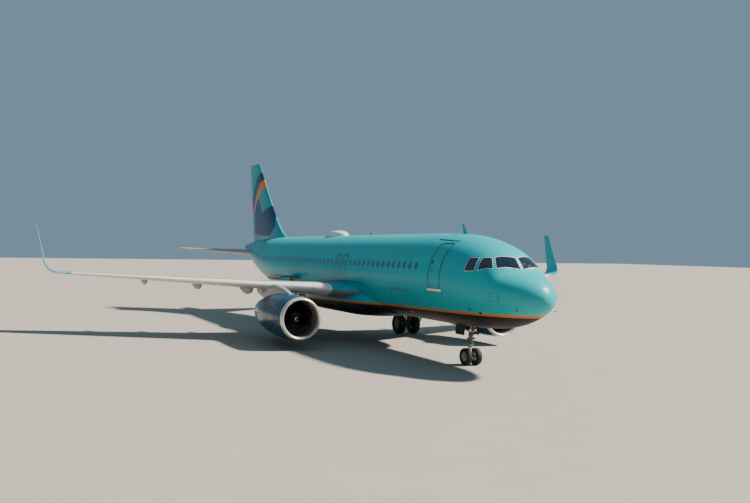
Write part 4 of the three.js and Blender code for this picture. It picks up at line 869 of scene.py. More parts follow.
def swung(shape, degrees):
    """Turned outwards and up about the cargo hinge: a turn by minus the angle about +X."""
    a = -np.radians(degrees)
    turn = np.array([[1, 0, 0], [0, np.cos(a), -np.sin(a)], [0, np.sin(a), np.cos(a)]])
    centre = np.array([0, HINGE_Y, HINGE_Z])
    return (shape[0] - centre) @ turn.T + centre, shape[1]


def skin_rib(stations, angles, outside, inside):
    """A strip of skin between two stations and two angles, from one depth to another."""
    u, v = np.meshgrid(stations, np.linspace(*angles, 14), indexing="ij")
    ring = np.concatenate([u, u[::-1]]), np.concatenate([v, v[::-1]])
    lift = np.concatenate([np.full(u.shape, outside), np.full(u.shape, inside)])
    return form(capped(np.moveaxis(on_body(*ring, lift), 0, 1)))


def cargo_leaf(centre):
    """Outer skin 30 mm thick, and behind it a frame of six upright beams and four rails along."""
    skin = pad(cargo_outline(centre, CARGO_SEAM), on_body, 0.0, -LEAF_SKIN, rings=6)
    half = CARGO_WIDTH / 2 - LEAF_MARGIN[0]
    low, high = HINGE_ANGLE + LEAF_MARGIN[1], SILL_ANGLE - LEAF_MARGIN[1]
    beams = [skin_rib((s - BEAM_HALF, s + BEAM_HALF), (low, high), -BEAM_START, -CARGO_DEPTH)
             for s in centre + np.linspace(-half, half, 6)]
    rails = [skin_rib((centre - half, centre + half), (a - RAIL_HALF, a + RAIL_HALF), -BEAM_START,
                      -CARGO_DEPTH + 0.01) for a in np.linspace(low, high, 4)]
    return skin, stacked(*beams, *rails)


print("faces of a leaf:", [len(shape[1]) for shape in cargo_leaf(CARGO["aft"])])

# %% Its hinge
KNUCKLES = (-0.72, 0.0, 0.72)
KNUCKLE_HALF, KNUCKLE_ROOM = 0.045, 0.008


def hinge_bar(start, end, radius=HINGE_RADIUS):
    """A round bar on the hinge line between two places along the body."""
    return bar((start, HINGE_Y, HINGE_Z), (end, HINGE_Y, HINGE_Z), radius)


def hinge_forms(centre):
    """The leaf's hinge tube, broken at the knuckles, with its pin through them all; and the lugs that
    hold the pin at each knuckle."""
    middle, half = NOSE_X - centre, CARGO_WIDTH / 2 - CARGO_SEAM
    gap = KNUCKLE_HALF + KNUCKLE_ROOM
    knuckles = middle + np.array(KNUCKLES) * CARGO_WIDTH / 2
    starts = np.concatenate([[middle - half], knuckles + gap])
    ends = np.concatenate([knuckles - gap, [middle + half]])
    tubes = [hinge_bar(*pair) for pair in zip(starts, ends)]
    lugs = [form_ for x in knuckles for form_ in (
        hinge_bar(x - KNUCKLE_HALF, x + KNUCKLE_HALF),
        block((x - KNUCKLE_HALF, HINGE_Y - 0.012, HINGE_Z),
              (x + KNUCKLE_HALF, HINGE_Y + 0.03, HINGE_Z + 0.13)))]
    return stacked(*tubes, hinge_bar(starts[0], ends[-1], HINGE_PIN)), stacked(*lugs)


print("faces of a hinge and its lugs:", [len(shape[1]) for shape in hinge_forms(CARGO["aft"])])

# %% Both cargo doors, shut and open
GRIP_ABOVE_SILL, FRAME_GROWTH = 0.17, (1.035, 1.05)
for place, centre in CARGO.items():
    node, angle = "cargo_door_" + place, OPEN_ANGLE[place]
    skin, frame_work = cargo_leaf(centre)
    tubes, lugs = hinge_forms(centre)
    grip = pad(box_outline(centre, SILL_ANGLE - GRIP_ABOVE_SILL, 0.22, 0.06, 0.02, 40), on_body, 0.006,
               -0.01, rings=2)
    door_finish = fuselage_finish
    if angle:
        door_finish = fuselage_paint("open_door_polyurethane_paint", angle, (0, HINGE_Y, HINGE_Z))
    piece(node + "_skin", swung(skin, angle), door_finish, node, [node])
    for name, shape, finish in (("beams", frame_work, primer), ("hinge", tubes, steel),
                                ("handle", grip, steel)):
        piece(f"{node}_{name}", swung(shape, angle), finish, node)
    piece(f"cargo_hinge_lugs_{place}", lugs, steel)
    edge = cargo_outline(centre, -DOORWAY_ROOM)
    outer = (edge - edge.mean(0)) * FRAME_GROWTH + edge.mean(0)
    piece(f"cargo_doorway_frame_{place}", band(outer, edge, on_body, 0.003, -0.02), fuselage_finish)
print("the sill is at", on_body(CARGO["aft"], SILL_ANGLE).round(3))

# %% [markdown]
# Hold furniture: a floor of roller tracks, and the frames of the fuselage standing out of
# the lining. It is what shows through the open doorway.

# %% Hold floors
ROLLER_PITCH, TRACKS, TRACK_HALF = 0.15, (-0.74, -0.25, 0.25, 0.72), 0.05
ROLLER = {"radius": 0.014, "half": 0.035, "height": HOLD["floor"] + 0.022}
FRAME_HALF, FRAME_DEPTH = 0.02, 0.04
for place, centre in CARGO.items():
    reach = CARGO_WIDTH / 2 + HOLD["past"] - 0.03
    start, end = NOSE_X - centre - reach, NOSE_X - centre + reach
    tracks = [block((start, y - TRACK_HALF, HOLD["floor"]), (end, y + TRACK_HALF, HOLD["floor"] + 0.02))
              for y in TRACKS]
    rollers = [bar((x, y - ROLLER["half"], ROLLER["height"]), (x, y + ROLLER["half"], ROLLER["height"]),
                   ROLLER["radius"], sides=10)
               for y in TRACKS for x in np.arange(start + 0.1, end - 0.05, ROLLER_PITCH)]
    piece(f"hold_rollers_{place}", stacked(*tracks, *rollers), steel)
    # each frame is an upright on the inner wall and a beam under the roof
    frames = [block((x - FRAME_HALF, *low), (x + FRAME_HALF, HOLD["inner"], HOLD["roof"]))
              for x in np.arange(start + 0.15, end, FRAME_PITCH)
              for low in ((HOLD["inner"] - FRAME_DEPTH, HOLD["floor"]),
                          (HOLD["outer"] + 0.1, HOLD["roof"] - FRAME_DEPTH))]
    piece(f"hold_frames_{place}", stacked(*frames), primer)
print("rollers in a hold:", len(rollers))

# %% [markdown]
# Passenger doors are plugs that sit flush, so only their seam, a wide dark outline painted round them,
# the handle, a small window, the gutter above and the scuff plate below tell them from the
# skin.

# %% Passenger doors
# columns: place, centre station, width, height
PASSENGER_DOORS = [("forward", 5.07, 0.81, 1.93), ("aft", 29.75, 0.76, 1.9)]
DOOR_SILL, DOOR_CORNER, OUTLINE_WIDTH, DOOR_PROUD, TRIM_SUNK = 3.42, 0.1, 0.055, 0.003, 0.006
# the small window and the handle are placed behind the middle of the door, and by their height
DOOR_WINDOW, DOOR_HANDLE = (0.26, 4.55), (0.16, 4.2)
SCUFF_HEIGHT = 3.335
GUTTER = {"ahead": 0.12, "behind": 1.06, "above": 0.16, "slope": 0.06, "radius": 0.014}


def door_forms(station, width, height, side):
    """The forms of one door by name, each with its finish: plates and bands on the chart of its side."""
    chart, middle = on_side(side), DOOR_SILL + height / 2

    def ring(u, v, wide, tall, radius, edge, count):
        """An outline and the one that surrounds it, an edge's width further out."""
        return (box_outline(u, v, wide, tall, radius, count),
                box_outline(u, v, wide + 2 * edge, tall + 2 * edge, radius + edge, count))

    opening, outline = ring(station, middle, width, height, DOOR_CORNER, OUTLINE_WIDTH, 72)
    pane, rim = ring(station + DOOR_WINDOW[0], DOOR_WINDOW[1], 0.1, 0.12, 0.045, 0.015, 36)
    scuff = box_outline(station, SCUFF_HEIGHT, width + 0.26, 0.12, 0.03, 48)
    border = box_outline(station, SCUFF_HEIGHT, width + 0.32, 0.17, 0.05, 48)
    leaf = box_outline(station, middle, width - 0.01, height - 0.01, DOOR_CORNER)
    handle = box_outline(station + DOOR_HANDLE[0], DOOR_HANDLE[1], 0.26, 0.09, 0.03, 36)
    gutter = np.linspace(station - GUTTER["ahead"] - width / 2, station + GUTTER["behind"], 24)
    rise = DOOR_SILL + height + GUTTER["above"] + GUTTER["slope"] * (gutter - station)
    return {"leaf": (pad(leaf, chart, DOOR_PROUD, -0.1, rings=8), fuselage_finish),
            "outline": (band(outline, opening, chart, 0.002, -TRIM_SUNK), dark_marking),
            "window": (pad(pane, chart, 0.006, -0.01), window_glass),
            "window_rim": (band(rim, pane, chart, 0.008, -TRIM_SUNK), seal),
            "handle": (pad(handle, chart, 0.009, -0.01), steel),
            "scuff_plate": (pad(scuff, chart, 0.007, -TRIM_SUNK), edge_metal),
            "scuff_border": (band(border, scuff, chart, 0.005, -TRIM_SUNK), dark_marking),
            "gutter": (tube(chart(gutter, rise, 0.004), GUTTER["radius"], 8), dark_marking)}


for place, station, width, height in PASSENGER_DOORS:
    for side_name, side in SIDES:
        name = f"passenger_door_{place}_{side_name}"
        for part, (shape, finish) in door_forms(station, width, height, side).items():
            piece(f"{name}_{part}", shape, finish, replaces=[name] if part == "leaf" else [])
print("pieces of a passenger door:", len(door_forms(*PASSENGER_DOORS[0][1:], PORT)))

# %% [markdown]
# Cockpit panes. Six flat-looking panes wrap round the nose. Each is laid out by its four
# corners in station and angle and bent to the skin, so it meets the fuselage all round. A rubber seal
# shows as a dark line, and the edge of the frame as a thin pale one outside it: pale paint that stands
# in part for the frame and in part for the highlight along its edge, a painted highlight.

# %% Outlines of the cockpit panes
# corners as (station, height), or (station, y) where the height doesn't tell, starboard side
PANES = {
    "rear_side": [(3.10, 4.235), (2.62, 4.255), (2.73, 4.777), (3.12, 4.768)],
    "sliding": [(2.45, 4.268), (1.93, 4.372), (2.29, 4.788), (2.57, 4.78)],
}
SCREEN = [(1.84, 0.99), (1.54, 0.06), (1.97, 0.055), (2.23, 0.81)]
PANE_GIRTH = 1.7  # radius that turns an angle of the skin at the panes into metres round it
# drawn in by, and points of 512 that a corner is eased over
PANE_GLASS, PANE_SEAL, PANE_CASING = (0.018, 13), (0.0, 15), (-0.02, 17)


def pane_outline(corners, inset, easing):
    """Corner points (station, angle) rounded off, and drawn in by inset: each side is moved inwards, and
    a corner is where two moved sides meet."""
    corners = np.asarray(corners, float) * [1, PANE_GIRTH]
    ahead = np.roll(corners, -1, 0) - corners
    ahead /= np.linalg.norm(ahead, axis=1, keepdims=True)
    inward = np.stack([-ahead[:, 1], ahead[:, 0]], -1) * turning(corners)
    before = np.roll(inward, 1, 0)
    moved = corners + inset * (inward + before) / (1 + np.sum(inward * before, 1, keepdims=True))
    return eased(resampled(moved, 512), easing)[::8] / [1, PANE_GIRTH]


def pane_corners(name):
    """A pane's corners as (station, angle). Across = half width times the sine of the angle, so the
    angle of a windscreen corner is the arc sine of its share of the half width."""
    if name == "windscreen":
        return [(s, np.arcsin(y / float(body_at(s)[2]))) for s, y in SCREEN]
    return [(s, float(angle_at(s, z))) for s, z in PANES[name]]


print("windscreen corners:", np.round(pane_corners("windscreen"), 2).tolist())

# %% Cockpit glazing
for side_name, side in SIDES:
    chart, panes, seals, frames = by_angle(side), [], [], []
    for name in ("rear_side", "sliding", "windscreen"):
        glass, gasket, casing = [pane_outline(pane_corners(name), *drawn)
                                 for drawn in (PANE_GLASS, PANE_SEAL, PANE_CASING)]
        panes.append(pad(glass, chart, 0.002, -0.03, rings=8))
        seals.append(band(gasket, glass, chart, 0.005, -0.01))
        frames.append(band(casing, gasket, chart, 0.004, -0.01))
    piece(f"cockpit_panes_{side_name}", stacked(*panes), screen_glass,
          replaces=["cockpit_glazing"])
    piece(f"cockpit_seals_{side_name}", stacked(*seals), seal)
    # the frames' pale paint stands in partly for the highlight along their edges: painted highlight
    piece(f"cockpit_frames_painted_highlight_{side_name}", stacked(*frames), white_paint)
print("cockpit panes a side:", len(panes))

# %% [markdown]
# Cabin windows: one row a side, a frame apart, each an oval of dark acrylic in a thin raised rim; its
# near-black colour is painted shade, for the unlit cabin behind it. They are all one mesh: the outlines
# are stacked over the window places, and one chart bends them to the skin.

# %% Cabin windows and overwing exits
WINDOW_FIRST, WINDOW_LAST, WINDOW_HEIGHT = 6.42, 28.4, 4.35
WINDOW_SIZE, WINDOW_CORNER = (0.235, 0.345), 0.11
EXITS, EXIT_APART, EXIT_HEIGHT = (14.33, 15.23), 0.78, 4.215
EXIT_SIZE, EXIT_CORNER, EXIT_LINE, PULL_ABOVE = np.array([0.61, 1.16]), 0.2, 0.065, 0.43
window_places = np.concatenate([np.arange(EXITS[0] - EXIT_APART, WINDOW_FIRST, -FRAME_PITCH), EXITS,
                                np.arange(EXITS[1] + EXIT_APART, WINDOW_LAST, FRAME_PITCH)])


def at_stations(places, height, width, tall, radius, count=72):
    """The same rounded outline at each of several stations, (places, count, 2)."""
    return np.stack([box_outline(station, height, width, tall, radius, count) for station in places])


glass = at_stations(window_places, WINDOW_HEIGHT, *WINDOW_SIZE, WINDOW_CORNER, 28)
rim = at_stations(window_places, WINDOW_HEIGHT, WINDOW_SIZE[0] + 0.05, WINDOW_SIZE[1] + 0.05,
                  WINDOW_CORNER + 0.02, 28)
outer = at_stations(EXITS, EXIT_HEIGHT, *EXIT_SIZE, EXIT_CORNER)
inner = at_stations(EXITS, EXIT_HEIGHT, *(EXIT_SIZE - 2 * EXIT_LINE), EXIT_CORNER - EXIT_LINE)
pull = at_stations(EXITS, EXIT_HEIGHT + PULL_ABOVE, 0.16, 0.04, 0.015, 24)
for side_name, side in SIDES:
    chart = on_side(side)
    piece(f"cabin_windows_{side_name}", pad(glass, chart, 0.003, -0.01, rings=2), window_glass)
    piece(f"cabin_window_rims_{side_name}", band(rim, glass, chart, 0.007, -TRIM_SUNK), teal_trim)
    piece(f"overwing_exit_outlines_{side_name}", band(outer, inner, chart, 0.003, -TRIM_SUNK),
          dark_marking)
    piece(f"overwing_exit_handles_{side_name}", pad(pull, chart, 0.006, -0.004, rings=2), steel)
print("cabin windows a side:", len(window_places))

# %% [markdown]
# The belly fairing covers the wing joint: a long blister whose section is a superellipse, squarer than
# an ellipse. It is the same finish as the fuselage, and the orange line runs on over it.

# %% Belly fairing
# columns: station, half width, top, bottom
FAIRING = np.array([
    [10.7, 1.25, 2.6, 1.79], [11.5, 1.7, 2.76, 1.64], [12.7, 2.01, 2.9, 1.52], [14.2, 2.12, 2.96, 1.46],
    [18, 2.13, 2.94, 1.46], [19.2, 2.07, 2.82, 1.51], [20.15, 1.74, 2.58, 1.6], [20.78, 1.0, 2.14, 1.75]])
FAIRING_POWER = 2 / 3.2


def on_fairing(station, angle):
    """Across and up are the half sizes times sine and cosine, each to the power 2/3.2 with its sign."""
    half, top, bottom = [smooth_through(FAIRING[:, 0], FAIRING[:, i], station) for i in (1, 2, 3)]
    across, up = [signed_power(v, FAIRING_POWER) for v in (np.sin(angle), np.cos(angle))]
    return np.stack([NOSE_X - station + 0 * angle, -half * across,
                     (top + bottom) / 2 + (top - bottom) / 2 * up], -1)


fairing_stations = np.linspace(FAIRING[0, 0], FAIRING[-1, 0], 64)[:, None]
piece("belly_fairing_skin", form(capped(on_fairing(fairing_stations, ring_angles))),
      fuselage_finish, replaces=["belly_fairing"])
print("the fairing is", 2 * FAIRING[:, 1].max(), "m wide")

# %% [markdown]
# Ahead of the wing a shallow panel fairs the root into the fuselage. Its edge is a rounded arch that starts
# above the wing, runs forward and drops to the orange line, and a dark line of sealant is drawn along it.

# %% Root panels
# columns: station, height
ROOT_ARCH = [(17.6, 2.35), (17.6, 3.13), (16.23, 3.24), (14.16, 3.37), (12.68, 3.34), (11.79, 3.22),
             (11.2, 2.94), (11.1, 2.66), (11.2, 2.35)]
ARCH_EASE, ARCH_LINE, ARCH_PROUD = 33, 0.03, 0.012


def drawn_in(outline, width):
    """The outline moved inwards by a width, square to its own direction at each point."""
    ahead = np.roll(outline, -1, 0) - np.roll(outline, 1, 0)
    normal = np.stack([-ahead[:, 1], ahead[:, 0]], -1) / np.linalg.norm(ahead, axis=1, keepdims=True)
    return outline + normal * width * turning(outline)


arch = eased(resampled(np.array(ROOT_ARCH), 480), ARCH_EASE)[::3]
for side_name, side in SIDES:
    piece(f"wing_root_panel_{side_name}", pad(arch, on_side(side), ARCH_PROUD, -0.02, rings=16),
          fuselage_finish)
    line = band(arch, drawn_in(arch, ARCH_LINE), on_side(side), ARCH_PROUD + 0.003, -0.01)
    piece(f"wing_root_panel_line_{side_name}", line, dark_marking)
print("points round the root panel:", len(arch))

# %% [markdown]
# Wings, tailplane and fin are all one kind of surface: an aerofoil section at a few span positions, with
# straight lines from one to the next. The section adds its thickness curve, the usual square root and
# powers of the chord share, to a camber line, and turns by its incidence.

# %% Lifting surfaces
TRAILING_SHARE = 0.0035
SHARES = (1 - np.cos(np.linspace(0, np.pi, 27))) / 2
RING_SHARES = np.concatenate([SHARES[::-1], SHARES[1:]])
RING_SIDES = np.concatenate([np.ones(len(SHARES)), -np.ones(len(SHARES) - 1)])
UPPER, LOWER = 1, -1
PLAN_HEIGHTS = (0.9, 12.0)


def section_point(row, share, side, camber):
    """Point of an aerofoil at a share of its chord: up = camber line x squared times (1 - x), plus or
    minus half the thickness; then turned by the incidence, and leaned by the cant."""
    station, y, z, chord, thick, pitch, cant = np.moveaxis(np.asarray(row, float), -1, 0)
    pitch, cant = np.radians(pitch), np.radians(cant)
    x = share
    half = 5 * thick * (0.2969 * np.sqrt(x) - 0.126 * x - 0.3516 * x ** 2 + 0.2843 * x ** 3
                        - 0.1036 * x ** 4) + TRAILING_SHARE * x / 2
    up = camber * x ** 2 * (1 - x) + side * half
    aft = chord * (x * np.cos(pitch) + up * np.sin(pitch))
    rise = chord * (up * np.cos(pitch) - x * np.sin(pitch))
    return np.stack([NOSE_X - station - aft, y - rise * np.sin(cant), z + rise * np.cos(cant)], -1)


def on_surface(table, camber, y, share, side):
    """Point of a lifting surface at a span position: the rows either side of it, joined straight."""
    y, share, side = np.broadcast_arrays(np.asarray(y, float), share, side)
    k = np.clip(np.searchsorted(table[:, 1], y, side="right") - 1, 0, len(table) - 2)
    t = ((y - table[k, 1]) / (table[k + 1, 1] - table[k, 1]))[..., None]
    return (section_point(table[k], share, side, camber) * (1 - t)
            + section_point(table[k + 1], share, side, camber) * t)


def surface_form(table, camber, places):
    """The whole surface: a ring of the section at each span position, closed at both ends."""
    return form(capped(on_surface(table, camber, np.asarray(places)[:, None], RING_SHARES, RING_SIDES)))


def plan_zone(rows):
    """A cutter seen from above as four corners; rows are (y, front station, back station)."""
    (y0, front0, back0), (y1, front1, back1) = rows
    outline = [(NOSE_X - front0, y0), (NOSE_X - back0, y0), (NOSE_X - back1, y1), (NOSE_X - front1, y1)]
    return form(capped(np.array([[(x, y, z) for x, y in outline] for z in PLAN_HEIGHTS])))


def chord_station(table, y, share):
    """Station at a share of the chord, straight between the table's rows."""
    return (np.interp(y, table[:, 1], table[:, 0])
            + share * np.interp(y, table[:, 1], table[:, 3]))


def joined_to(made, shape, material):
    """The piece with another closed form added to its mesh."""
    extra = solid_object("extra", shape, material)
    work = bmesh.new()
    work.from_mesh(made.data)
    work.from_mesh(extra.data)
    work.to_mesh(made.data)
    work.free()
    bpy.data.objects.remove(extra)
    made.data.shade_smooth()
    made.data.set_sharp_from_angle(angle=np.radians(CREASE))
    return made


print("points round a section:", len(RING_SHARES))

# %% [markdown]
# A hinged trailing surface turns about an axis inside it. The moving part is what lies behind the axis,
# with a round nose about it, and the fixed part gets a hollow round that nose, 16 mm larger, so that
# nothing touches at any angle.

# %% Hinged surfaces
NOSE_SHARE, MOVING_GAP, END_GAPS = 0.96, 0.016, (0.040, 0.036)


def hinge_line(place, low, high, share):
    """Ends of the axis and the nose radii there: the middle of the section at the hinge's share, one for
    both ends or a pair, and 0.96 of its half depth. place(y, share, side) gives a skin point."""
    ends, noses = [], []
    for y, share in zip((low, high), np.broadcast_to(share, 2)):
        top, bottom = place(y, share, UPPER), place(y, share, LOWER)
        ends.append((top + bottom) / 2)
        noses.append(NOSE_SHARE * np.linalg.norm(top - bottom) / 2)
    return ends, noses


def nose_form(ends, noses, grow=0.0, trim=(0.0, 0.0)):
    """A cone frustum along the axis, trimmed back from its ends."""
    along = (ends[1] - ends[0]) / np.linalg.norm(ends[1] - ends[0])
    start, end = ends[0] + along * trim[0], ends[1] - along * trim[1]
    length = np.linalg.norm(end - start)
    return turned([(0, 0), (noses[0] + grow, 0), (noses[1] + grow, length), (0, length)],
                  start, along, 40)


def cut_hinged(fixed, moving, ends, noses, zone, zone_inside, finish):
    """Hollows the fixed part and trims the moving part to its zone, then adds its round nose."""
    material = finish["material"]
    carve(fixed, solid_object("zone", zone, material),
          solid_object("cove", nose_form(ends, noses, MOVING_GAP), material))
    carve(moving, solid_object("zone", zone_inside, material), operation="INTERSECT")
    joined_to(moving, nose_form(ends, noses, trim=END_GAPS), material)


def cut_trailing(fixed, moving, place, table, ends, share, back, finish):
    """Cuts a pair of whole surfaces along a hinge at a share of the chord between two span positions."""
    axis, noses = hinge_line(place, *ends, share)
    fronts = [chord_station(table, y, share) for y in ends]
    zones = [plan_zone([(y, np.interp(y, ends, fronts), back)
                        for y in (ends[0] + less[0], ends[1] - less[1])]) for less in ((0, 0), END_GAPS)]
    cut_hinged(fixed, moving, axis, noses, *zones, finish)
    return np.round(axis, 3).tolist()


print("room round a hinge's nose:", 1000 * MOVING_GAP, "mm")

# %% [markdown]
# The wing. Its leading edge is swept straight back, and its chord narrows fast to the kink behind the
# engine, then slowly. Slats, flaps and ailerons are cut out of the same form with cutters drawn in plan,
# so they meet it exactly. The slats are bare aluminium gone matt; the rest is painted grey, a grey
# darkened to stand in for the shade under the wing: painted shade.

# %% Table of the wing, and where its moving surfaces lie
EDGE_HEIGHT, EDGE_RISE = 2.81, 0.0405


def leading_height(y):
    """Height of the leading edge, which rises straight towards the tip."""
    return EDGE_HEIGHT + EDGE_RISE * y


# columns: leading edge station, y, z, chord, thickness share, incidence, cant
WING = np.array([
    [leading_edge(1.3), 1.3, leading_height(1.3), 6.42, 0.145, 4.2, 0],
    [leading_edge(6.3), 6.3, leading_height(6.3), 3.85, 0.118, 1.8, 0],
    [leading_edge(16.3), 16.3, leading_height(16.3), 1.5, 0.108, -0.4, 0]])
WING_CAMBER = 0.06
KINK, TIP = 6.3, 16.3
wing_places = np.unique(np.concatenate([np.linspace(1.3, KINK, 14), np.linspace(KINK, TIP, 26)]))
SLAT_SHARE, SLAT_SEAM, SLAT_BREAKS, BREAK_HALF = 0.12, 0.007, (5.75, 8.3, 10.9, 13.5), 0.006
INBOARD_FLAP = {"from": 2.25, "to": 6.27, "front": 18.02, "back": 20.5}
FLAP_ENDS, FLAP_SHARE, FLAP_SEAM, FLAP_ROOM = (6.33, 12.78), 0.76, 0.008, 0.004
AILERON_ENDS, AILERON_SHARE = (12.9, 15.9), 0.78
BEHIND, AHEAD = 23.2, 0.7


def on_wing(y, share, side):
    """Skin point of the port wing: span position, share of the chord, upper or lower side."""
    return on_surface(WING, WING_CAMBER, y, share, side)


def slat_zone(gap):
    """The zone ahead of the slats' share of the chord, drawn in by a gap."""
    return plan_zone([(y, leading_edge(y) - AHEAD, chord_station(WING, y, SLAT_SHARE) - gap)
                      for y in (SLAT_SPAN[0] + gap, SLAT_SPAN[1] - gap)])


def share_zone(table, ends, share, gap):
    """The zone behind a share of the chord between two span positions, drawn in by a gap."""
    fronts = [chord_station(table, y, share) for y in ends]
    y0, y1 = ends[0] + gap, ends[1] - gap
    return plan_zone([(y, np.interp(y, ends, fronts) + gap, BEHIND) for y in (y0, y1)])


def inboard_zone(gap):
    """The zone of the inboard flap, which has a straight front, drawn in by a gap."""
    return plan_zone([(y, INBOARD_FLAP["front"] + gap, INBOARD_FLAP["back"])
                      for y in (INBOARD_FLAP["from"] + gap, INBOARD_FLAP["to"] - gap)])


print("chord at the kink and the tip:", WING[1:, 3])

# %% Wing, slats, flaps and aileron out of one form
grey = shade_darkened_wing_paint["material"]


def wing_part(name, finish, *zones):
    """A whole wing, then cut down to each of some zones."""
    made = solid_object(name, surface_form(WING, WING_CAMBER, wing_places), finish["material"])
    for zone in zones:
        carve(made, solid_object("zone", zone, finish["material"]), operation="INTERSECT")
    return made


wing = wing_part("wing_skin_left", shade_darkened_wing_paint)
for zone in (slat_zone(-SLAT_SEAM), inboard_zone(-FLAP_ROOM),
             share_zone(WING, FLAP_ENDS, FLAP_SHARE, -FLAP_ROOM)):
    carve(wing, solid_object("zone", zone, grey))
slats = wing_part("slats_skin_left", edge_metal, slat_zone(0.0))
for y in SLAT_BREAKS:
    cut = block((-10.0, y - BREAK_HALF, 0.9), (10.0, y + BREAK_HALF, 8.0))
    carve(slats, solid_object("zone", cut, edge_metal["material"]))
inboard_flap = wing_part("flap_inboard_skin_left", shade_darkened_wing_paint, inboard_zone(FLAP_SEAM))
outboard_flap = wing_part("flap_outboard_skin_left", shade_darkened_wing_paint,
                          share_zone(WING, FLAP_ENDS, FLAP_SHARE, FLAP_SEAM))
aileron = wing_part("aileron_skin_left", shade_darkened_wing_paint)
print("aileron hinge", cut_trailing(wing, aileron, on_wing, WING, AILERON_ENDS, AILERON_SHARE, BEHIND,
                                    shade_darkened_wing_paint))

# %% [markdown]
# Flap track fairings are the canoes under the wing. Their section is half an ellipse below and a low
# arch above, sunk in the wing, and a cubic through five stations gives the spindle shape.

# %% Flap track fairings
# columns: y, width, depth, front place, overhang
CANOES = [(6.3, 0.33, 0.43, 0.45, 0.65), (9.0, 0.29, 0.38, 0.45, 0.62), (11.9, 0.25, 0.32, 0.45, 0.56)]
# columns: share of length, share of width, share of depth
CANOE_SHAPE = np.array([[0, 0.03, 0.05], [0.05, 0.42, 0.4], [0.16, 0.78, 0.78], [0.45, 1.12, 1.08],
                        [0.8, 0.84, 0.8], [1, 0.04, 0.04]])
CANOE_RISE, CANOE_SUNK = 0.07, 0.03


def canoe(y, width, depth, place, overhang):
    """One fairing: its middle line runs along the wing's underside, from a share of the chord to a little
    behind the trailing edge, and the table gives its width and depth on the way."""
    front, back = on_wing(y, place, LOWER), on_wing(y, 1.0, LOWER)
    slope = (front[2] - back[2]) / (front[0] - back[0])
    along = np.linspace(0, 1, 34)[:, None]
    wide, deep = [smooth_through(CANOE_SHAPE[:, 0], CANOE_SHAPE[:, i], along) for i in (1, 2)]
    x = front[0] + (back[0] - overhang - front[0]) * along
    middle = front[2] + (x - front[0]) * slope - CANOE_SUNK
    turn = np.linspace(0, 2 * np.pi, 32, endpoint=False)[None, :]
    reach = deep * np.where(np.cos(turn) < 0, depth, CANOE_RISE)
    points = np.stack([x + 0 * turn, y + np.sin(turn) * width * wide / 2,
                       middle + np.cos(turn) * reach], -1)
    return form(capped(points))


for row in CANOES:
    joined_to(wing, canoe(*row), grey)
print("wing faces with", len(CANOES), "track fairings:", len(wing.data.polygons))

# %% [markdown]
# Spoilers lie flush on top of the wing, and oval access panels, one a rib bay, underneath. Both are thin
# plates laid on the surface in a chart of span position and chord share. A jacking pad stands under each
# wing, where the frame has its mount.

# %% Spoilers, access panels and jacking pad
def wing_chart(side):
    """(y, share, lift) to a point on the wing's upper or lower skin."""
    return lambda u, v, lift: on_wing(u, v, side) + np.stack([0 * lift, 0 * lift, side * lift], -1)


# columns: y from, y to, share from, share to
SPOILERS = [(3.55, 5.75, 0.665, 0.8), (6.45, 7.9, 0.655, 0.75), (7.95, 9.4, 0.655, 0.75),
            (9.45, 10.9, 0.655, 0.75), (10.95, 12.45, 0.655, 0.75)]
GROUND_SPOILER, SPOILER_TAPER = 0.8, 0.055


def spoiler(y0, y1, x0, x1):
    """A rounded outline of span positions and chord shares. The ground spoiler, the one that reaches
    furthest back, tapers: its front share grows straight towards the fuselage."""
    unit = resampled(rounded(2, 2, 0.06), 60)
    y = (y0 + y1) / 2 + unit[:, 0] * (y1 - y0) / 2
    front = x0 + (x1 == GROUND_SPOILER) * SPOILER_TAPER * (y1 - y) / (y1 - y0)
    share = (front + x1) / 2 + unit[:, 1] * (x1 - front) / 2
    return np.stack([y, share], -1)


spoilers = stacked(*[pad(spoiler(*row), wing_chart(UPPER), 0.006, -0.01, rings=6) for row in SPOILERS])
joined_to(wing, spoilers, grey)
# access panels: one a rib bay, none where the pylon or a track fairing meets the wing
PANEL_PITCH, PANEL_SHARE, PANEL_NARROW, PANEL_CLEAR = 0.62, 0.36, 0.62, 0.34
ENGINE_Y = 5.755
JACKING_PAD = (2.38843, 4.85, 2.62859)
taken = [ENGINE_Y, *[row[0] for row in CANOES]]
panel_places = np.arange(2.9, 15.9, PANEL_PITCH)
panel_places = panel_places[np.all(np.abs(panel_places[:, None] - taken) > PANEL_CLEAR, 1)][:, None]
oval = resampled(rounded(0.42, 0.24, 0.1199, 10), 40)
panel_chord = np.interp(panel_places, WING[:, 1], WING[:, 3])
ovals = np.stack([oval[:, 0] * PANEL_NARROW + panel_places, PANEL_SHARE + oval[:, 1] / panel_chord], -1)
joined_to(wing, pad(ovals, wing_chart(LOWER), 0.004, -0.006, rings=2), grey)
pad_ring = turned([(0, 0), (0.062, 0), (0.07, 0.008), (0.07, 0.15), (0, 0.15)], JACKING_PAD, (0, 0, 1), 40)
joined_to(wing, pad_ring, grey)
print("access panels a wing:", len(panel_places))

# %% [markdown]
# The winglet sweeps up from the tip in one curve. Its six table rows are joined by a cubic instead of
# straight lines, each column through its own six values.

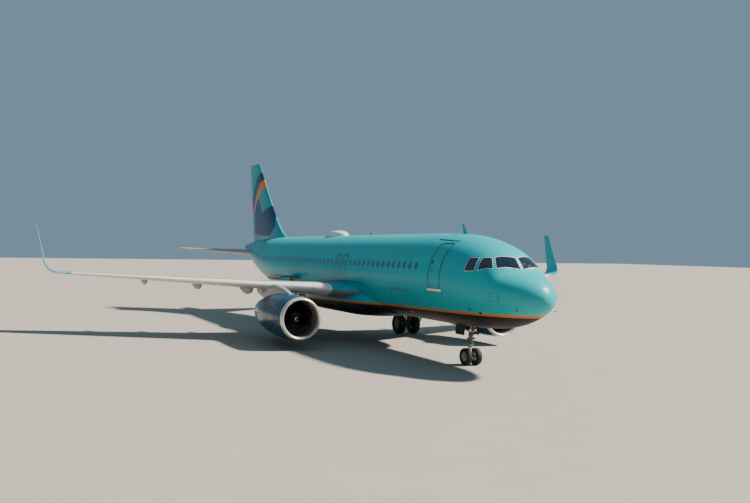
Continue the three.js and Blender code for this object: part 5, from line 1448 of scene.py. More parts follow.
# %% Winglets
# columns as the wing's
WINGLET = np.array([
    [leading_edge(TIP) + 0.0002, 16.3003, leading_height(TIP), 1.5, 0.108, -0.4, 0],
    [20.56, 16.76, 3.49, 1.4, 0.105, -0.3, 14], [20.87, 17.19, 3.64, 1.27, 0.1, 0, 42],
    [21.2, 17.44, 4.01, 1.12, 0.095, 0, 70], [21.82, 17.61, 4.85, 0.84, 0.09, 0, 80],
    [22.78, 17.88, 6.26, 0.44, 0.09, 0, 82]])
WINGLET_CAMBER = 0.02
swept = through_rows(WINGLET, 52)
ring = section_point(swept[:, None, :], RING_SHARES, RING_SIDES, WINGLET_CAMBER)
winglet = solid_object("winglet_skin_left", form(capped(ring)), winglet_finish["material"])
print("the winglet's tip is at", np.round(swept[-1, :3], 2), "m: station, y, z")

# %% [markdown]
# Now the pieces of the port wing are entered under their names, and mirrored to starboard.

# %% Both wings
for made, name, finish, body in (
        (wing, "wing", shade_darkened_wing_paint, AIRFRAME), (slats, "slats", edge_metal, AIRFRAME),
        (inboard_flap, "flap_inboard", shade_darkened_wing_paint, AIRFRAME),
        (outboard_flap, "flap_outboard", shade_darkened_wing_paint, AIRFRAME),
        (aileron, "aileron", shade_darkened_wing_paint, "aileron"), (winglet, "winglet", winglet_finish, AIRFRAME)):
    moves = body != AIRFRAME
    enrol(made, body + "_left" if moves else body, finish["slot"], [name + "_left"])
    other_side(made, name + "_skin_right", body + "_right" if moves else body, [name + "_right"])
print("wing faces:", len(wing.data.polygons), "slat faces:", len(slats.data.polygons))

# %% [markdown]
# The fin is the same kind of surface stood on end: its span position is its height. The table's rows
# near the root swing forward into the dorsal fillet, and a cubic through them keeps that curve smooth.
# The tip is rounded off: as the last rows rise by a sine, their thickness falls by the cosine.

# %% Table of the fin
# columns: height, leading edge station, trailing edge station, thickness share
FIN = np.array([[5.35, 26.9, 35.7, 0.075], [5.79, 27.95, 35.75, 0.08], [6.0, 28.55, 35.79, 0.085],
                [6.4, 29.35, 35.865, 0.086], [6.9, 30.05, 35.96, 0.087], [7.7, 30.9, 36.11, 0.089],
                [11.7, 34.6, 36.86, 0.092]])
FIN_TOP, TIP_ROUND, FIN_DRAWN = 11.76, 0.14, (0.3, 0.1)
RUDDER = {"ends": np.array([6.02, 11.56]), "stations": (33.971, 36.224)}
TAIL_BEHIND, THINNEST, SIDE_WIDTHS = 38.5, 0.0009, (-2.5, 2.5)


def tip_places(end, radius, count):
    """Span positions that come closer together towards a rounded tip."""
    return end - radius * (1 - np.sin(np.linspace(0.02, np.pi / 2, count)))


def tip_shares(places, end, radius):
    """For each span position, from 0 to 1, how far the edges are drawn in at a rounded tip, and the share
    of the thickness that is left."""
    past = np.clip((places - (end - radius)) / radius, 0, 1)
    return 1 - np.sqrt(1 - past ** 2), np.sqrt(np.maximum(1 - past ** 2, THINNEST))


fin_heights = np.concatenate([np.linspace(5.35, 6.8, 24), np.linspace(7.0, 11.6, 20),
                              tip_places(FIN_TOP, TIP_ROUND, 12)])
front, back, thick = [smooth_through(FIN[:, 0], FIN[:, i], np.minimum(fin_heights, 11.7))
                      for i in (1, 2, 3)]
bulge, left_over = tip_shares(fin_heights, FIN_TOP, TIP_ROUND)
front, back, thick = front + FIN_DRAWN[0] * bulge, back - FIN_DRAWN[1] * bulge, thick * left_over
flat = 0 * front
fin_table = np.stack([front, fin_heights, flat, back - front, thick, flat, flat], -1)


def upright(points):
    """A surface drawn lying down, stood up: span becomes height."""
    return np.stack([points[..., 0], -points[..., 2], points[..., 1]], -1)


def on_fin(height, share, side):
    """Skin point of the fin at a height, a share of its chord and a side."""
    return upright(on_surface(fin_table, 0.0, height, share, side))


def side_zone(rows):
    """A cutter seen from the side; rows are (height, front station, back station)."""
    (z0, front0, back0), (z1, front1, back1) = rows
    outline = [(NOSE_X - front0, z0), (NOSE_X - back0, z0), (NOSE_X - back1, z1), (NOSE_X - front1, z1)]
    return form(capped(np.array([[(x, y, z) for x, z in outline] for y in SIDE_WIDTHS])))


print("rows of the fin:", len(fin_table))

# %% [markdown]
# The fin wears the livery's colours in bands that fall in curves from its leading edge. Each edge is a
# parabola in station and height, so the whole pattern is a few sums on Object coordinates.

# %% Paint of the fin
FIN_TEAL, FIN_NAVY, FIN_ORANGE = "0898A2", "04325A", "CC7A26"
# Edges of the colours on the fin: height = a + b u + c u u, u metres behind station 35
# columns: a, b, c
NAVY_TOP, ORANGE_TOP, ORANGE_FOOT = (10.45, -0.85, -0.35), (9.19, -1.06, -0.2), (8.42, -0.93, -0.15)
WEDGE_BACK, WEDGE_FOOT = (9.874, 1.2, 0), (7.413, -0.23, 0)
NAVY_FOOT, NAVY_NOSE = (5.98, 0, 0), (2.4, -0.9, 0)
FIN_ORIGIN, TEAL_EDGE, FIN_JOINT, BAND_SOFT = 35.0, (0.36, 7.6), (1.7, 0.3), 0.012


def fin_paint():
    """Teal, with a navy band and an orange stripe that fall in curves from the leading edge, a teal wedge
    under them, and navy down to the root."""
    material, tree, shader = new_material(
        "fin_polyurethane_paint", FIN_TEAL, roughness=0.28, coat_weight=0.15, coat_roughness=0.06,
        ior=1.5)
    place, x, y, z = place_of(tree)
    behind = add(tree, "Math", [NOSE_X - FIN_ORIGIN, x], operation="SUBTRACT")

    def above(edge):
        """1 above the edge, 0 below it."""
        bent = add(tree, "Math", [behind, edge[2], edge[1]], operation="MULTIPLY_ADD")
        height = add(tree, "Math", [behind, bent, edge[0]], operation="MULTIPLY_ADD")
        over = add(tree, "Math", [z, height], operation="SUBTRACT")
        return add(tree, "MapRange", [over, -BAND_SOFT, BAND_SOFT])

    wedge = add(tree, "Math", [above(WEDGE_BACK), above(WEDGE_FOOT)], operation="MULTIPLY")
    navy = add(tree, "Math", [above(NAVY_FOOT), above(NAVY_NOSE)], operation="MULTIPLY")
    aft = add(tree, "MapRange", [behind, TEAL_EDGE[0], TEAL_EDGE[0] + ZONE_SOFT])
    low = add(tree, "Math", [z, TEAL_EDGE[1]], operation="LESS_THAN")
    aft_teal = add(tree, "Math", [aft, low], operation="MULTIPLY")
    teal = add(tree, "Math", [wedge, aft_teal], operation="MAXIMUM")
    navy = add(tree, "Math", [navy, teal], operation="SUBTRACT", use_clamp=True)
    colour = linear(FIN_TEAL)
    for share, over in ((navy, FIN_NAVY), (above(ORANGE_FOOT), FIN_ORANGE),
                        (above(ORANGE_TOP), FIN_NAVY), (above(NAVY_TOP), FIN_TEAL)):
        colour = add(tree, "Mix", {0: share, 6: colour, 7: linear(over)}, out=2, data_type="RGBA")
    tint, soil = weathering(tree, place, colour, 0.15)
    seams = line_every(tree, z, FIN_JOINT[0], JOINT_WIDTH, FIN_JOINT[1])
    shade = add(tree, "Math", [seams, 0.35], operation="MULTIPLY")
    tint = add(tree, "Mix", {0: shade, 6: tint, 7: linear("06303A")}, out=2, data_type="RGBA")
    drive(tree, shader, base_color=tint, normal=skin_waves(tree, place, seams))
    return {"material": material, "slot": "fin_navy_paint"}


print("edges of colour on the fin:", len([NAVY_TOP, ORANGE_TOP, ORANGE_FOOT, WEDGE_BACK, WEDGE_FOOT,
                                         NAVY_FOOT, NAVY_NOSE]))

# %% The fin's skin and its rudder
fin_finish = fin_paint()
fin_form = form(capped(on_fin(fin_heights[:, None], RING_SHARES, RING_SIDES)))
fin = solid_object("fin_skin", fin_form, fin_finish["material"])
rudder = solid_object("rudder_skin", fin_form, fin_finish["material"])
fin_front, fin_chord = [np.interp(RUDDER["ends"], fin_heights, column)
                        for column in (front, back - front)]
axis, noses = hinge_line(on_fin, *RUDDER["ends"], (RUDDER["stations"] - fin_front) / fin_chord)
axis = [end * [1, 0, 1] for end in axis]


def rudder_zone(low, high):
    """The zone behind the rudder's hinge line between two heights."""
    (x0, _, z0), (x1, _, z1) = axis
    return side_zone([(z, NOSE_X - np.interp(z, [z0, z1], [x0, x1]), TAIL_BEHIND) for z in (low, high)])


low, high = RUDDER["ends"]
cut_hinged(fin, rudder, axis, noses, rudder_zone(low, high),
           rudder_zone(low + END_GAPS[0], high - END_GAPS[1]), fin_finish)
enrol(fin, AIRFRAME, "fin_navy_paint", ["fin"])
enrol(rudder, "rudder", "fin_navy_paint", ["rudder"])
print("rudder hinge", np.round(axis, 3).tolist())

# %% [markdown]
# The tailplane follows the wing's recipe, without camber, and with the same rounded tip as the fin.

# %% Stabilisers and elevators
# columns as the wing's
STABILISER = np.array([[31.5, 0.3, 4.69, 4.25, 0.11, 0, 0], [31.85, 0.9, 4.705, 3.9, 0.11, 0, 0],
                       [35.38, 6.18, 4.93, 1.27, 0.1, 0, 0]])
ELEVATOR_ENDS, ELEVATOR_SHARE = (1.06, 5.95), 0.7
STABILISER_TIP, STABILISER_ROUND, STABILISER_DRAWN = 6.18, 0.1, (0.16, 0.22)
tail_places = np.concatenate([np.linspace(0.3, 0.9, 3), np.linspace(1.1, 6.05, 18),
                              tip_places(STABILISER_TIP, STABILISER_ROUND, 10)])
tail_table = np.stack([np.interp(tail_places, STABILISER[:, 1], STABILISER[:, i]) for i in range(7)], -1)
bulge, left_over = tip_shares(tail_places, STABILISER_TIP, STABILISER_ROUND)
tail_table[:, 0] += STABILISER_DRAWN[0] * bulge
tail_table[:, 3] -= STABILISER_DRAWN[1] * bulge
tail_table[:, 4] *= left_over


def on_tail(y, share, side):
    """Skin point of the port half of the tailplane."""
    return on_surface(tail_table, 0.0, y, share, side)


tail_form = form(capped(on_tail(tail_places[:, None], RING_SHARES, RING_SIDES)))
stabiliser, elevator = [solid_object(name + "_skin_left", tail_form, tailplane_finish["material"])
                        for name in ("stabiliser", "elevator")]
print("elevator hinge", cut_trailing(stabiliser, elevator, on_tail, STABILISER, ELEVATOR_ENDS,
                                     ELEVATOR_SHARE, TAIL_BEHIND, tailplane_finish))
for made, name, body in ((stabiliser, "stabiliser", AIRFRAME), (elevator, "elevator", "elevator_left")):
    enrol(made, body, "tailplane_paint", [name + "_left"])
    other_side(made, name + "_skin_right", body.replace("_left", "_right"), [name + "_right"])

# %% [markdown]
# Each engine is drawn about its own axis, which runs back from the lip of the inlet. The cowl is turned
# from a table of radius and distance; grooves a few millimetres deep mark where its panels meet.

# %% Tables of the cowl
ENGINE_LIP, ENGINE_Z = 10.8, 1.58
ENGINE = np.array([NOSE_X - ENGINE_LIP, ENGINE_Y, ENGINE_Z])
BACKWARDS = (-1, 0, 0)
# columns: distance behind the lip, radius
COWL_OUTER = np.array([[0.22, 1.068], [0.65, 1.112], [1.3, 1.138], [2.3, 1.136], [3.2, 1.085],
                       [4.1, 0.96], [4.85, 0.8], [5.3, 0.7]])
COWL_INNER = np.array([[0.22, 0.898], [0.8, 0.88], [1.15, 0.888], [1.55, 0.93], [2.1, 0.985],
                       [3.0, 0.975], [4.0, 0.9], [4.8, 0.77], [5.3, 0.682]])
LIP = np.array([[0.2197, 0.898], [0.11, 0.905], [0.03, 0.935], [0.0, 0.972], [0.022, 1.008],
                [0.1, 1.046], [0.2197, 1.068]])
LINER_END, CASE_END, NOZZLE_START, NOZZLE_END = 0.8, 1.4, 4.85, 5.3
GROOVES, GROOVE_WIDTH, GROOVE_DEPTH = (1.02, 2.62), 0.012, 0.009
ENGINE_SIDES, COWL_WALL = 112, 0.03


def cowl_radius(along):
    """Radius of the cowl's outside, a cubic through its table."""
    return smooth_through(COWL_OUTER[:, 0], COWL_OUTER[:, 1], along)


def duct_radius(along):
    """Radius of the duct inside it, a cubic through its table."""
    return smooth_through(COWL_INNER[:, 0], COWL_INNER[:, 1], along)


print("the cowl is", 2 * round(float(cowl_radius(1.3)), 3), "m across, the duct behind the lip",
      2 * round(float(duct_radius(0.22)), 3), "m")

# %% Forms turned about the engine


def at_engine(profile, sides=ENGINE_SIDES, closed=False):
    """A profile of (distance behind the lip, radius) turned about the engine's axis."""
    profile = np.asarray(profile, float)[:, ::-1]
    return turned(profile, ENGINE, BACKWARDS, sides, closed)


def walled(along, face, back):
    """A closed shell between two faces, each a radius at the same distances behind the lip."""
    there, again = np.stack([along, face], -1), np.stack([along, back], -1)[::-1]
    return at_engine(np.concatenate([there, again]), closed=True)


def shell(radius, start, end, wall):
    """A shell between two distances: a face at the radius, the other one a wall's thickness away."""
    along = np.linspace(start, end, 40)
    return walled(along, radius(along), radius(along) + wall)


def grooved_cowl(start, end):
    """The cowl's skin with its grooves: the radius drops by the groove's depth across its width."""
    edges = np.array(GROOVES)[:, None] + GROOVE_WIDTH * np.array([-0.55, -0.5, 0.5, 0.55])
    along = np.unique(np.concatenate([np.linspace(start, end, 64), edges.ravel()]))
    inside = np.any(np.abs(along[:, None] - np.array(GROOVES)) <= GROOVE_WIDTH * 0.5001, axis=1)
    return walled(along, cowl_radius(along) - GROOVE_DEPTH * inside, cowl_radius(along) - COWL_WALL)


def on_cowl(along, angle, lift):
    """Chart of the cowl: distance behind the lip, angle from the top towards the wing tip, lift."""
    radius = cowl_radius(along) + lift
    return np.stack([ENGINE[0] - along, ENGINE[1] + radius * np.sin(angle),
                     ENGINE[2] + radius * np.cos(angle)], -1)


def both_sides(name, shape, finish, body=AIRFRAME, replaces=()):
    """A port piece and its starboard twin."""
    left = piece(name + "_left", shape, finish, body, [node + "_left" for node in replaces])
    other = body.replace("_left", "_right")
    return left, other_side(left, name + "_right", other, [node + "_right" for node in replaces])


print("points of the cowl:", len(grooved_cowl(0.3, NOZZLE_START)[0]))

# %% Cowl, inlet and duct
COWL_BREAK = 0.004
both_sides("cowl_skin", grooved_cowl(0.22 + COWL_BREAK, NOZZLE_START - COWL_BREAK), cowl_paint,
           replaces=["nacelle"])
both_sides("inlet_lip_skin", at_engine(through_rows(LIP, 44), closed=True), lip_metal,
           replaces=["inlet_lip"])
for name, shape, finish in (
        ("inlet_liner", shell(duct_radius, 0.2205, LINER_END, 0.02), liner),
        ("fan_case", shell(duct_radius, LINER_END + 0.004, CASE_END, 0.02), steel),
        ("bypass_duct", shell(duct_radius, CASE_END, NOZZLE_END - 0.01, 0.012), liner),
        ("nozzle_ring", shell(cowl_radius, NOZZLE_START, NOZZLE_END, -0.014), cone_metal)):
    both_sides(name, shape, finish, replaces=["nacelle"])

# %% [markdown]
# The cowl doors hang from the pylon and meet underneath, where a row of latches holds them. A strake on
# the inboard side steadies the air over the wing.

# %% Cowl doors, latches and strakes
COWL_HINGE, SEAM_WIDTH, SEAM_LIFT = 0.2, 0.010, 0.0012
LATCH_PLACES = np.array([1.2, 1.5, 1.85, 2.2, 2.5, 2.95, 3.4, 3.85])


def cowl_seam(start, end, angle):
    """A dark line along the cowl: a thin strip of sealant."""
    along = np.linspace(start, end, 36)[:, None]
    offset = np.array([-1, 1, 1, -1]) * SEAM_WIDTH / 2
    lift = np.array([1, 1, -1, -1]) * SEAM_LIFT
    return form(capped(on_cowl(along + 0 * offset, angle + offset / cowl_radius(along), lift + 0 * along)))


seams = stacked(*[cowl_seam(1.03, NOZZLE_START - 0.02, angle) for angle in
                  (np.pi, COWL_HINGE, -COWL_HINGE)])
both_sides("cowl_seams", seams, seal)
latches = np.stack([box_outline(place, np.pi, 0.14, 0.045, 0.02, 28) for place in LATCH_PLACES])
both_sides("cowl_latches", pad(latches, on_cowl, 0.004, -0.004, rings=2), steel)
print("latches under a cowl:", len(LATCH_PLACES))

# %% Strake
STRAKE = {"start": 0.95, "end": 2.15, "angle": -0.95, "height": 0.26, "half": 0.014}
share = np.linspace(0, 1, 26)[:, None]
reach = STRAKE["height"] * (np.sin(np.pi * share ** 0.8) ** 0.7)
along = STRAKE["start"] + share * (STRAKE["end"] - STRAKE["start"])
round_edge = np.array([(-1, -0.2), (-1, 0.85), (0, 1), (1, 0.85), (1, -0.2)])
lift = np.where(round_edge[:, 1] > 0, round_edge[:, 1] * reach, -0.03)
angle = STRAKE["angle"] + round_edge[:, 0] * STRAKE["half"] / (cowl_radius(along) + lift)
both_sides("cowl_strake", form(capped(on_cowl(along + 0 * lift, angle, lift))), cowl_paint)
print("the strake stands", round(float(reach.max()), 3), "m off the cowl")

# %% [markdown]
# Fan blades, guide vanes and struts are one kind of thing: sections from hub to tip, each a lens with a
# little camber, turned from the axis by its stagger, and copied round the engine.

# %% Blades of any kind
def blades(count, rows, camber=0.05):
    """rows: radius, chord, thickness, stagger in degrees, distance of the middle behind the lip. A
    section point (u, v) turns by the stagger to (axial, across), and sits at its own radius."""
    radius, chord, thick, stagger, middle = through_rows(np.array(rows, float), 12).T[..., None]
    turn = np.linspace(0, 2 * np.pi, 22, endpoint=False)
    u = np.cos(turn) / 2
    v = np.sin(turn) * thick / 2 + camber * chord * (1 - 4 * u ** 2)
    u, stagger = u * chord, np.radians(stagger)
    axial = u * np.cos(stagger) - v * np.sin(stagger) - middle
    across = u * np.sin(stagger) + v * np.cos(stagger)
    out = np.sqrt(radius ** 2 - across ** 2)
    angle = 2 * np.pi * np.arange(count)[:, None, None] / count
    local = np.stack([axial + 0 * angle, across * np.cos(angle) - out * np.sin(angle),
                      across * np.sin(angle) + out * np.cos(angle)], -1)
    return form(capped(local + ENGINE))

# %% Fan and spinner
FAN_BLADES, VANES, STRUTS = 22, 38, 8
FAN = [(0.2, 0.2, 0.034, 22, 1.01), (0.42, 0.225, 0.026, 36, 1.0), (0.64, 0.245, 0.018, 49, 1.0),
       (0.862, 0.25, 0.011, 60, 1.01)]
SPINNER = {"tip": 0.47, "back": 0.9, "radius": 0.25, "end": 1.18}
SHAFT_RADIUS, SHAFT_END = 0.08, 1.67


def spinner_radius(along):
    """The radius grows from the tip by 1 - t to the power 1.8, t running from 1 at the tip to 0."""
    t = np.clip((SPINNER["back"] - along) / (SPINNER["back"] - SPINNER["tip"]), 0, 1)
    return SPINNER["radius"] * (1 - t ** 1.8)


along = SPINNER["tip"] + (SPINNER["back"] - SPINNER["tip"]) * np.linspace(0, 1, 26) ** 1.5
spinner = np.concatenate([np.stack([along, spinner_radius(along)], -1),
                          [(SPINNER["end"], SPINNER["radius"]), (SPINNER["end"], SHAFT_RADIUS),
                           (SHAFT_END, SHAFT_RADIUS), (SHAFT_END, 0)]])
both_sides("spinner_cone", at_engine(spinner, 64), plastic, "fan_left", ["fan"])
both_sides("fan_blades", blades(FAN_BLADES, FAN), fan_metal, "fan_left", ["fan"])

# %% White swirl on the spinner
SWIRL = {"turns": 1.15, "from": 0.52, "to": 0.8, "width": 0.03, "lift": 0.0015}
share = np.linspace(0, 1, 90)[:, None]
wide = SWIRL["width"] * (0.06 + np.sin(np.pi * share ** 0.75) ** 0.8) / 2
along = SWIRL["from"] + (SWIRL["to"] - SWIRL["from"]) * share + wide * np.array([-1, 1, 1, -1])
radius = spinner_radius(along) + SWIRL["lift"] * np.array([1, 1, -1, -1])
turn = 2 * np.pi * SWIRL["turns"] * share + 0 * along
swirl = np.stack([ENGINE[0] - along, ENGINE[1] + radius * np.sin(turn),
                  ENGINE[2] + radius * np.cos(turn)], -1)
both_sides("spinner_swirl", form(capped(swirl)), white_paint, "fan_left")
print("the swirl is at most", round(float(2 * wide.max()), 3), "m wide")

# %% Vanes, struts and core
vanes = blades(VANES, [(0.4, 0.1, 0.012, -14, 1.47), (0.93, 0.13, 0.014, -8, 1.47)], camber=-0.06)
both_sides("outlet_vanes", vanes, steel, replaces=["engine_core"])
struts = blades(STRUTS, [(0.45, 0.35, 0.036, 0, 1.675), (1.0, 0.35, 0.036, 0, 1.675)], camber=0)
both_sides("duct_struts", struts, liner, replaces=["engine_core"])
# columns: distance behind the lip, radius
CORE = np.array([[1.45, 0.42], [1.7, 0.56], [2.2, 0.62], [3.0, 0.6], [3.9, 0.5], [4.4, 0.42]])
PLUG = np.array([[4.36, 0.3], [4.55, 0.265], [4.75, 0.19], [4.92, 0.08], [5.0, 0.0]])
PLUG_START = 4.05


def table_profile(table, start, end, count):
    """Points (distance, radius) of a table's cubic at equal steps, with a point on the axis ahead."""
    along = np.linspace(start, end, count)
    return [(start, 0), *np.stack([along, smooth_through(table[:, 0], table[:, 1], along)], -1)]


core = table_profile(CORE, CORE[0, 0], CORE[-1, 0], 40) + [(4.4, 0.405), (PLUG_START, 0.4),
                                                            (PLUG_START, 0)]
plug = table_profile(PLUG, PLUG_START, PLUG[-1, 0], 26)
both_sides("core_cowl", stacked(at_engine(core, 80), at_engine(plug, 64)), hot_metal,
           replaces=["engine_core"])
print("guide vanes and struts:", VANES, STRUTS)

# %% [markdown]
# The pylon carries the engine under the wing. It is drawn along the body: at each station its section is
# a squarish oval between a lower and an upper line, as wide as its plan.

# %% Pylons
# columns: station, height of the lower line, height of the upper line, half width
PYLON = np.array([[12.15, 2.1, 2.6, 0.04], [12.7, 2.12, 2.85, 0.15], [13.6, 2.14, 3.01, 0.175],
                  [14.7, 2.18, 3.11, 0.175], [15.3, 2.2, 3.05, 0.175], [16.2, 2.27, 2.96, 0.172],
                  [16.9, 2.37, 2.87, 0.11], [17.5, 2.5, 2.8, 0.045], [17.75, 2.56, 2.7, 0.02]])
PYLON_SQUARENESS = 5.0
station = np.linspace(PYLON[0, 0], PYLON[-1, 0], 90)[:, None]
low, high, half = [smooth_through(PYLON[:, 0], PYLON[:, i], station) for i in (1, 2, 3)]
turn = np.linspace(0, 2 * np.pi, 40, endpoint=False)
across, up = [signed_power(v, 2 / PYLON_SQUARENESS) for v in (np.sin(turn), np.cos(turn))]
pylon = np.stack([NOSE_X - station + 0 * across, ENGINE_Y + half * across,
                  (low + high) / 2 + (high - low) / 2 * up], -1)
both_sides("pylon_skin", form(capped(pylon)), pylon_paint, replaces=["pylon"])
print("the pylon is", round(2 * float(half.max()), 3), "m wide")

# %% [markdown]
# Wheels come in twins on one spindle. A tyre could be a torus, but its shoulders would be too round, so
# its outline is a cubic through shares of its half width and height, with grooves round the tread. A rim
# is a closed profile turned about the spindle, and then pierced by a ring of round holes.

# %% Sizes of the wheels
# columns: share of half width, share of height from the bead to the tread
TYRE_FLANK = np.array([[0.7, 0.0], [0.86, 0.1], [0.97, 0.3], [1.0, 0.5], [0.975, 0.7], [0.9, 0.86],
                       [0.78, 0.945], [0.64, 0.978]])
TREAD_EDGE, TREAD_CROWN = 0.64, 0.022
# columns: share of the rim's radius, share of the tyre's width outboard of its middle
RIM_PROFILE = np.array([
    [1.0, 0.34], [1.05, 0.352], [1.05, 0.37], [0.97, 0.376], [0.9, 0.355], [0.86, 0.3], [0.81, 0.17],
    [0.75, 0.1], [0.5, 0.09], [0.44, 0.11], [0.4, 0.16], [0.34, 0.165], [0.3, 0.12], [0.3, 0.0],
    [0.5, 0.02], [0.74, 0.03], [0.82, -0.02], [0.87, -0.12], [0.9, -0.3], [0.97, -0.35],
    [1.05, -0.355], [1.05, -0.338], [1.0, -0.33], [0.955, -0.2], [0.955, 0.2]])
# columns: share of the rim's radius, share of the tyre's width
HUB_CAP = np.array([[0, 0], [0.31, 0], [0.31, 0.15], [0.24, 0.185], [0, 0.2]])
# columns: radius and distance along the stud, both in radii of the nut
NUT = np.array([[0, -0.5], [1, -0.5], [1, 0.7], [0.55, 0.75], [0.5, 1.2], [0, 1.2]])
NUT_SIZE, NUT_RING, NUT_FACE = 0.045, 0.69, 0.094
HOLE_SIZE, HOLE_RING, HOLE_REACH = 0.075, 0.61, (-0.06, 0.2)
NOSE_WHEEL = {"radius": 0.381, "width": 0.224, "rim": 0.195, "spacing": 0.5, "spindle": 0.042,
              "grooves": (-0.3, 0.3), "sides": 80, "bolts": 9}
MAIN_WHEEL = {"radius": 0.584, "width": 0.43, "rim": 0.268, "spacing": 0.93, "spindle": 0.07,
              "grooves": (-0.42, -0.14, 0.14, 0.42), "sides": 104, "bolts": 12}
GROOVE_SHARE, TREAD_GROOVE = 0.035, 0.009
print("tyres are", [round(2 * wheel["radius"], 3) for wheel in (NOSE_WHEEL, MAIN_WHEEL)], "m across")

# %% Tyres and rims
def tyre_form(wheel, centre):
    """Flank, tread and flank again, turned about the spindle; the tread drops by the square of its
    share of the width, and by a groove's depth inside a groove."""
    half, height = wheel["width"] / 2, wheel["radius"] - wheel["rim"]
    flank = through_rows(TYRE_FLANK, 34)
    edges = np.array(wheel["grooves"])[:, None] + GROOVE_SHARE * np.array([-0.62, -0.5, 0.5, 0.62])
    tread = np.unique(np.concatenate([np.linspace(-TREAD_EDGE, TREAD_EDGE, 20)[1:-1], edges.ravel()]))
    grooved = np.any(np.abs(tread[:, None] - wheel["grooves"]) <= GROOVE_SHARE * 0.51, axis=1)
    crown = 1 - TREAD_CROWN * (tread / TREAD_EDGE) ** 2 - grooved * TREAD_GROOVE / height
    outline = np.concatenate([flank * [-1, 1], np.stack([tread, crown], -1), flank[::-1]])
    profile = np.stack([wheel["rim"] + height * outline[:, 1], half * outline[:, 0]], -1)
    return turned(profile, centre, sides=wheel["sides"], closed=True)


def ring_of(count, radius, make, start=0.0):
    """A form made at each of several angles round the spindle, stacked."""
    return stacked(*[make(radius * np.cos(a), radius * np.sin(a))
                     for a in start + 2 * np.pi * np.arange(count) / count])


def across_at(centre, dx, dz, start, end, radius, sides):
    """A round bar along the spindle, dx ahead of it and dz above, from one distance outboard to another."""
    return bar(centre + [dx, start, dz], centre + [dx, end, dz], radius, sides=sides)


def wheel_forms(wheel, centre, side):
    """Rim, the holes that pierce it, hexagonal nuts on its disc, and a hub cap: all of them profiles in
    shares of the rim's radius and the tyre's width, turned about the spindle."""
    shares = [wheel["rim"], wheel["width"]]
    rim = turned(RIM_PROFILE * shares * [1, side], centre, sides=72, closed=True)
    low, high = np.multiply(HOLE_REACH, side * wheel["width"])
    holes = ring_of(wheel["bolts"], wheel["rim"] * HOLE_RING, lambda dx, dz: across_at(
        centre, dx, dz, low, high, wheel["rim"] * HOLE_SIZE, 20))
    face = side * wheel["width"] * NUT_FACE
    nuts = ring_of(wheel["bolts"], wheel["rim"] * NUT_RING, lambda dx, dz: turned(
        NUT * wheel["rim"] * NUT_SIZE, centre + [dx, face, dz], (0, side, 0), 6), np.pi / wheel["bolts"])
    return rim, holes, nuts, turned(HUB_CAP * shares, centre, (0, side, 0), 48)


print("points of a main tyre:", len(tyre_form(MAIN_WHEEL, np.zeros(3))[0]))

# %% Twin wheels on their spindles
def twin_wheels(name, wheel, middle, body, tyre_nodes, rim_node):
    """Two tyres, pierced rims, nuts and hub caps, and the spindle that joins them."""
    reach = np.array([0, wheel["spacing"] / 2, 0])
    sides = [wheel_forms(wheel, middle + side * reach, side) for side in (1, -1)]
    rims, holes, nuts, caps = [stacked(*forms) for forms in zip(*sides)]
    for place, node, side in zip(("outer", "inner"), tyre_nodes, (1, -1)):
        piece(f"{name}_tyre_{place}", tyre_form(wheel, middle + side * reach), rubber, body, [node], 40)
    pierced = solid_object(f"{name}_rims_pierced", rims, rim_enamel["material"])
    carve(pierced, solid_object("holes", holes, rim_enamel["material"]))
    enrol(pierced, body, rim_enamel["slot"], [rim_node])
    piece(f"{name}_wheel_nuts", nuts, steel, body)
    piece(f"{name}_hub_caps", caps, hub_enamel, body)
    piece(f"{name}_spindle", bar(middle - reach, middle + reach, wheel["spindle"], sides=32), steel, body)


NOSE_STATION, MAIN_STATION, MAIN_Y = 5.07, 17.71, 3.795
nose_middle = np.array([NOSE_X - NOSE_STATION, 0, NOSE_WHEEL["radius"]])
twin_wheels("nose", NOSE_WHEEL, nose_middle, "nose_wheels", ("nose_tyre_left", "nose_tyre_right"),
            "nose_rims")
main_middle = np.array([NOSE_X - MAIN_STATION, MAIN_Y, MAIN_WHEEL["radius"]])
for word, side in SIDES:
    tyre_nodes = [f"main_tyre_{place}_{word}" for place in ("outer", "inner")][::side]
    twin_wheels(f"main_{word}", MAIN_WHEEL, main_middle * [1, side, 1], f"main_wheels_{word}",
                tyre_nodes, f"main_rims_{word}")

# %% [markdown]
# A leg is built of round bars between named places, given as distance ahead of the leg, distance across
# and height. Torque links are pairs of bars that close in on a knee.

# %% Parts of a leg
def leg_places(middle):
    """A function from (ahead, across, height) to a point, for the leg over this wheel centre."""
    return lambda ahead, across, height: np.array([middle[0] + ahead, middle[1] + across, height])


def rods(at, *rows):
    """Bars from rows of one end, the other end, radius, faces round, and the far radius if it tapers."""
    return stacked(*[bar(at(*start), at(*end), radius, *(tip or [None]), sides)
                     for start, end, radius, sides, *tip in rows])


def pin(at, ahead, height, reach, radius, sides=24, across=0.0):
    """A bar across the leg, reaching as far to either side of its middle."""
    return bar(at(ahead, across - reach, height), at(ahead, across + reach, height), radius, sides=sides)


def collar(at, height, radius, tall, sides=40):
    """A short bar upright on the leg's own line."""
    return bar(at(0, 0, height - tall / 2), at(0, 0, height + tall / 2), radius, sides=sides, bevel=0.1)


def torque_links(at, top, knee, bottom, spread, radius):
    """Two arms down to the knee and two up to it, with a pin through the knee and lugs at the leg."""
    arms = [pin(at, *knee, spread * 0.75, radius * 1.1, 20)]
    for end in (top, bottom):
        middle = np.add(end, knee) / 2
        arms += [pin(at, *end, spread * 1.25, radius * 1.15, 20),
                 pin(at, *middle, spread * 0.7, radius * 0.6, 12)]
        arms += [rods(at, ((end[0], side * spread, end[1]), (knee[0], side * spread * 0.35, knee[1]),
                           radius, 16, radius * 0.75)) for side in (-1, 1)]
    return stacked(*arms)


def hose(at, places, radius=0.011):
    """A hose through a few places, rounded by a cubic through them."""
    return tube(through_rows(np.array([at(*place) for place in places]), 12 * len(places) - 11), radius, 10)

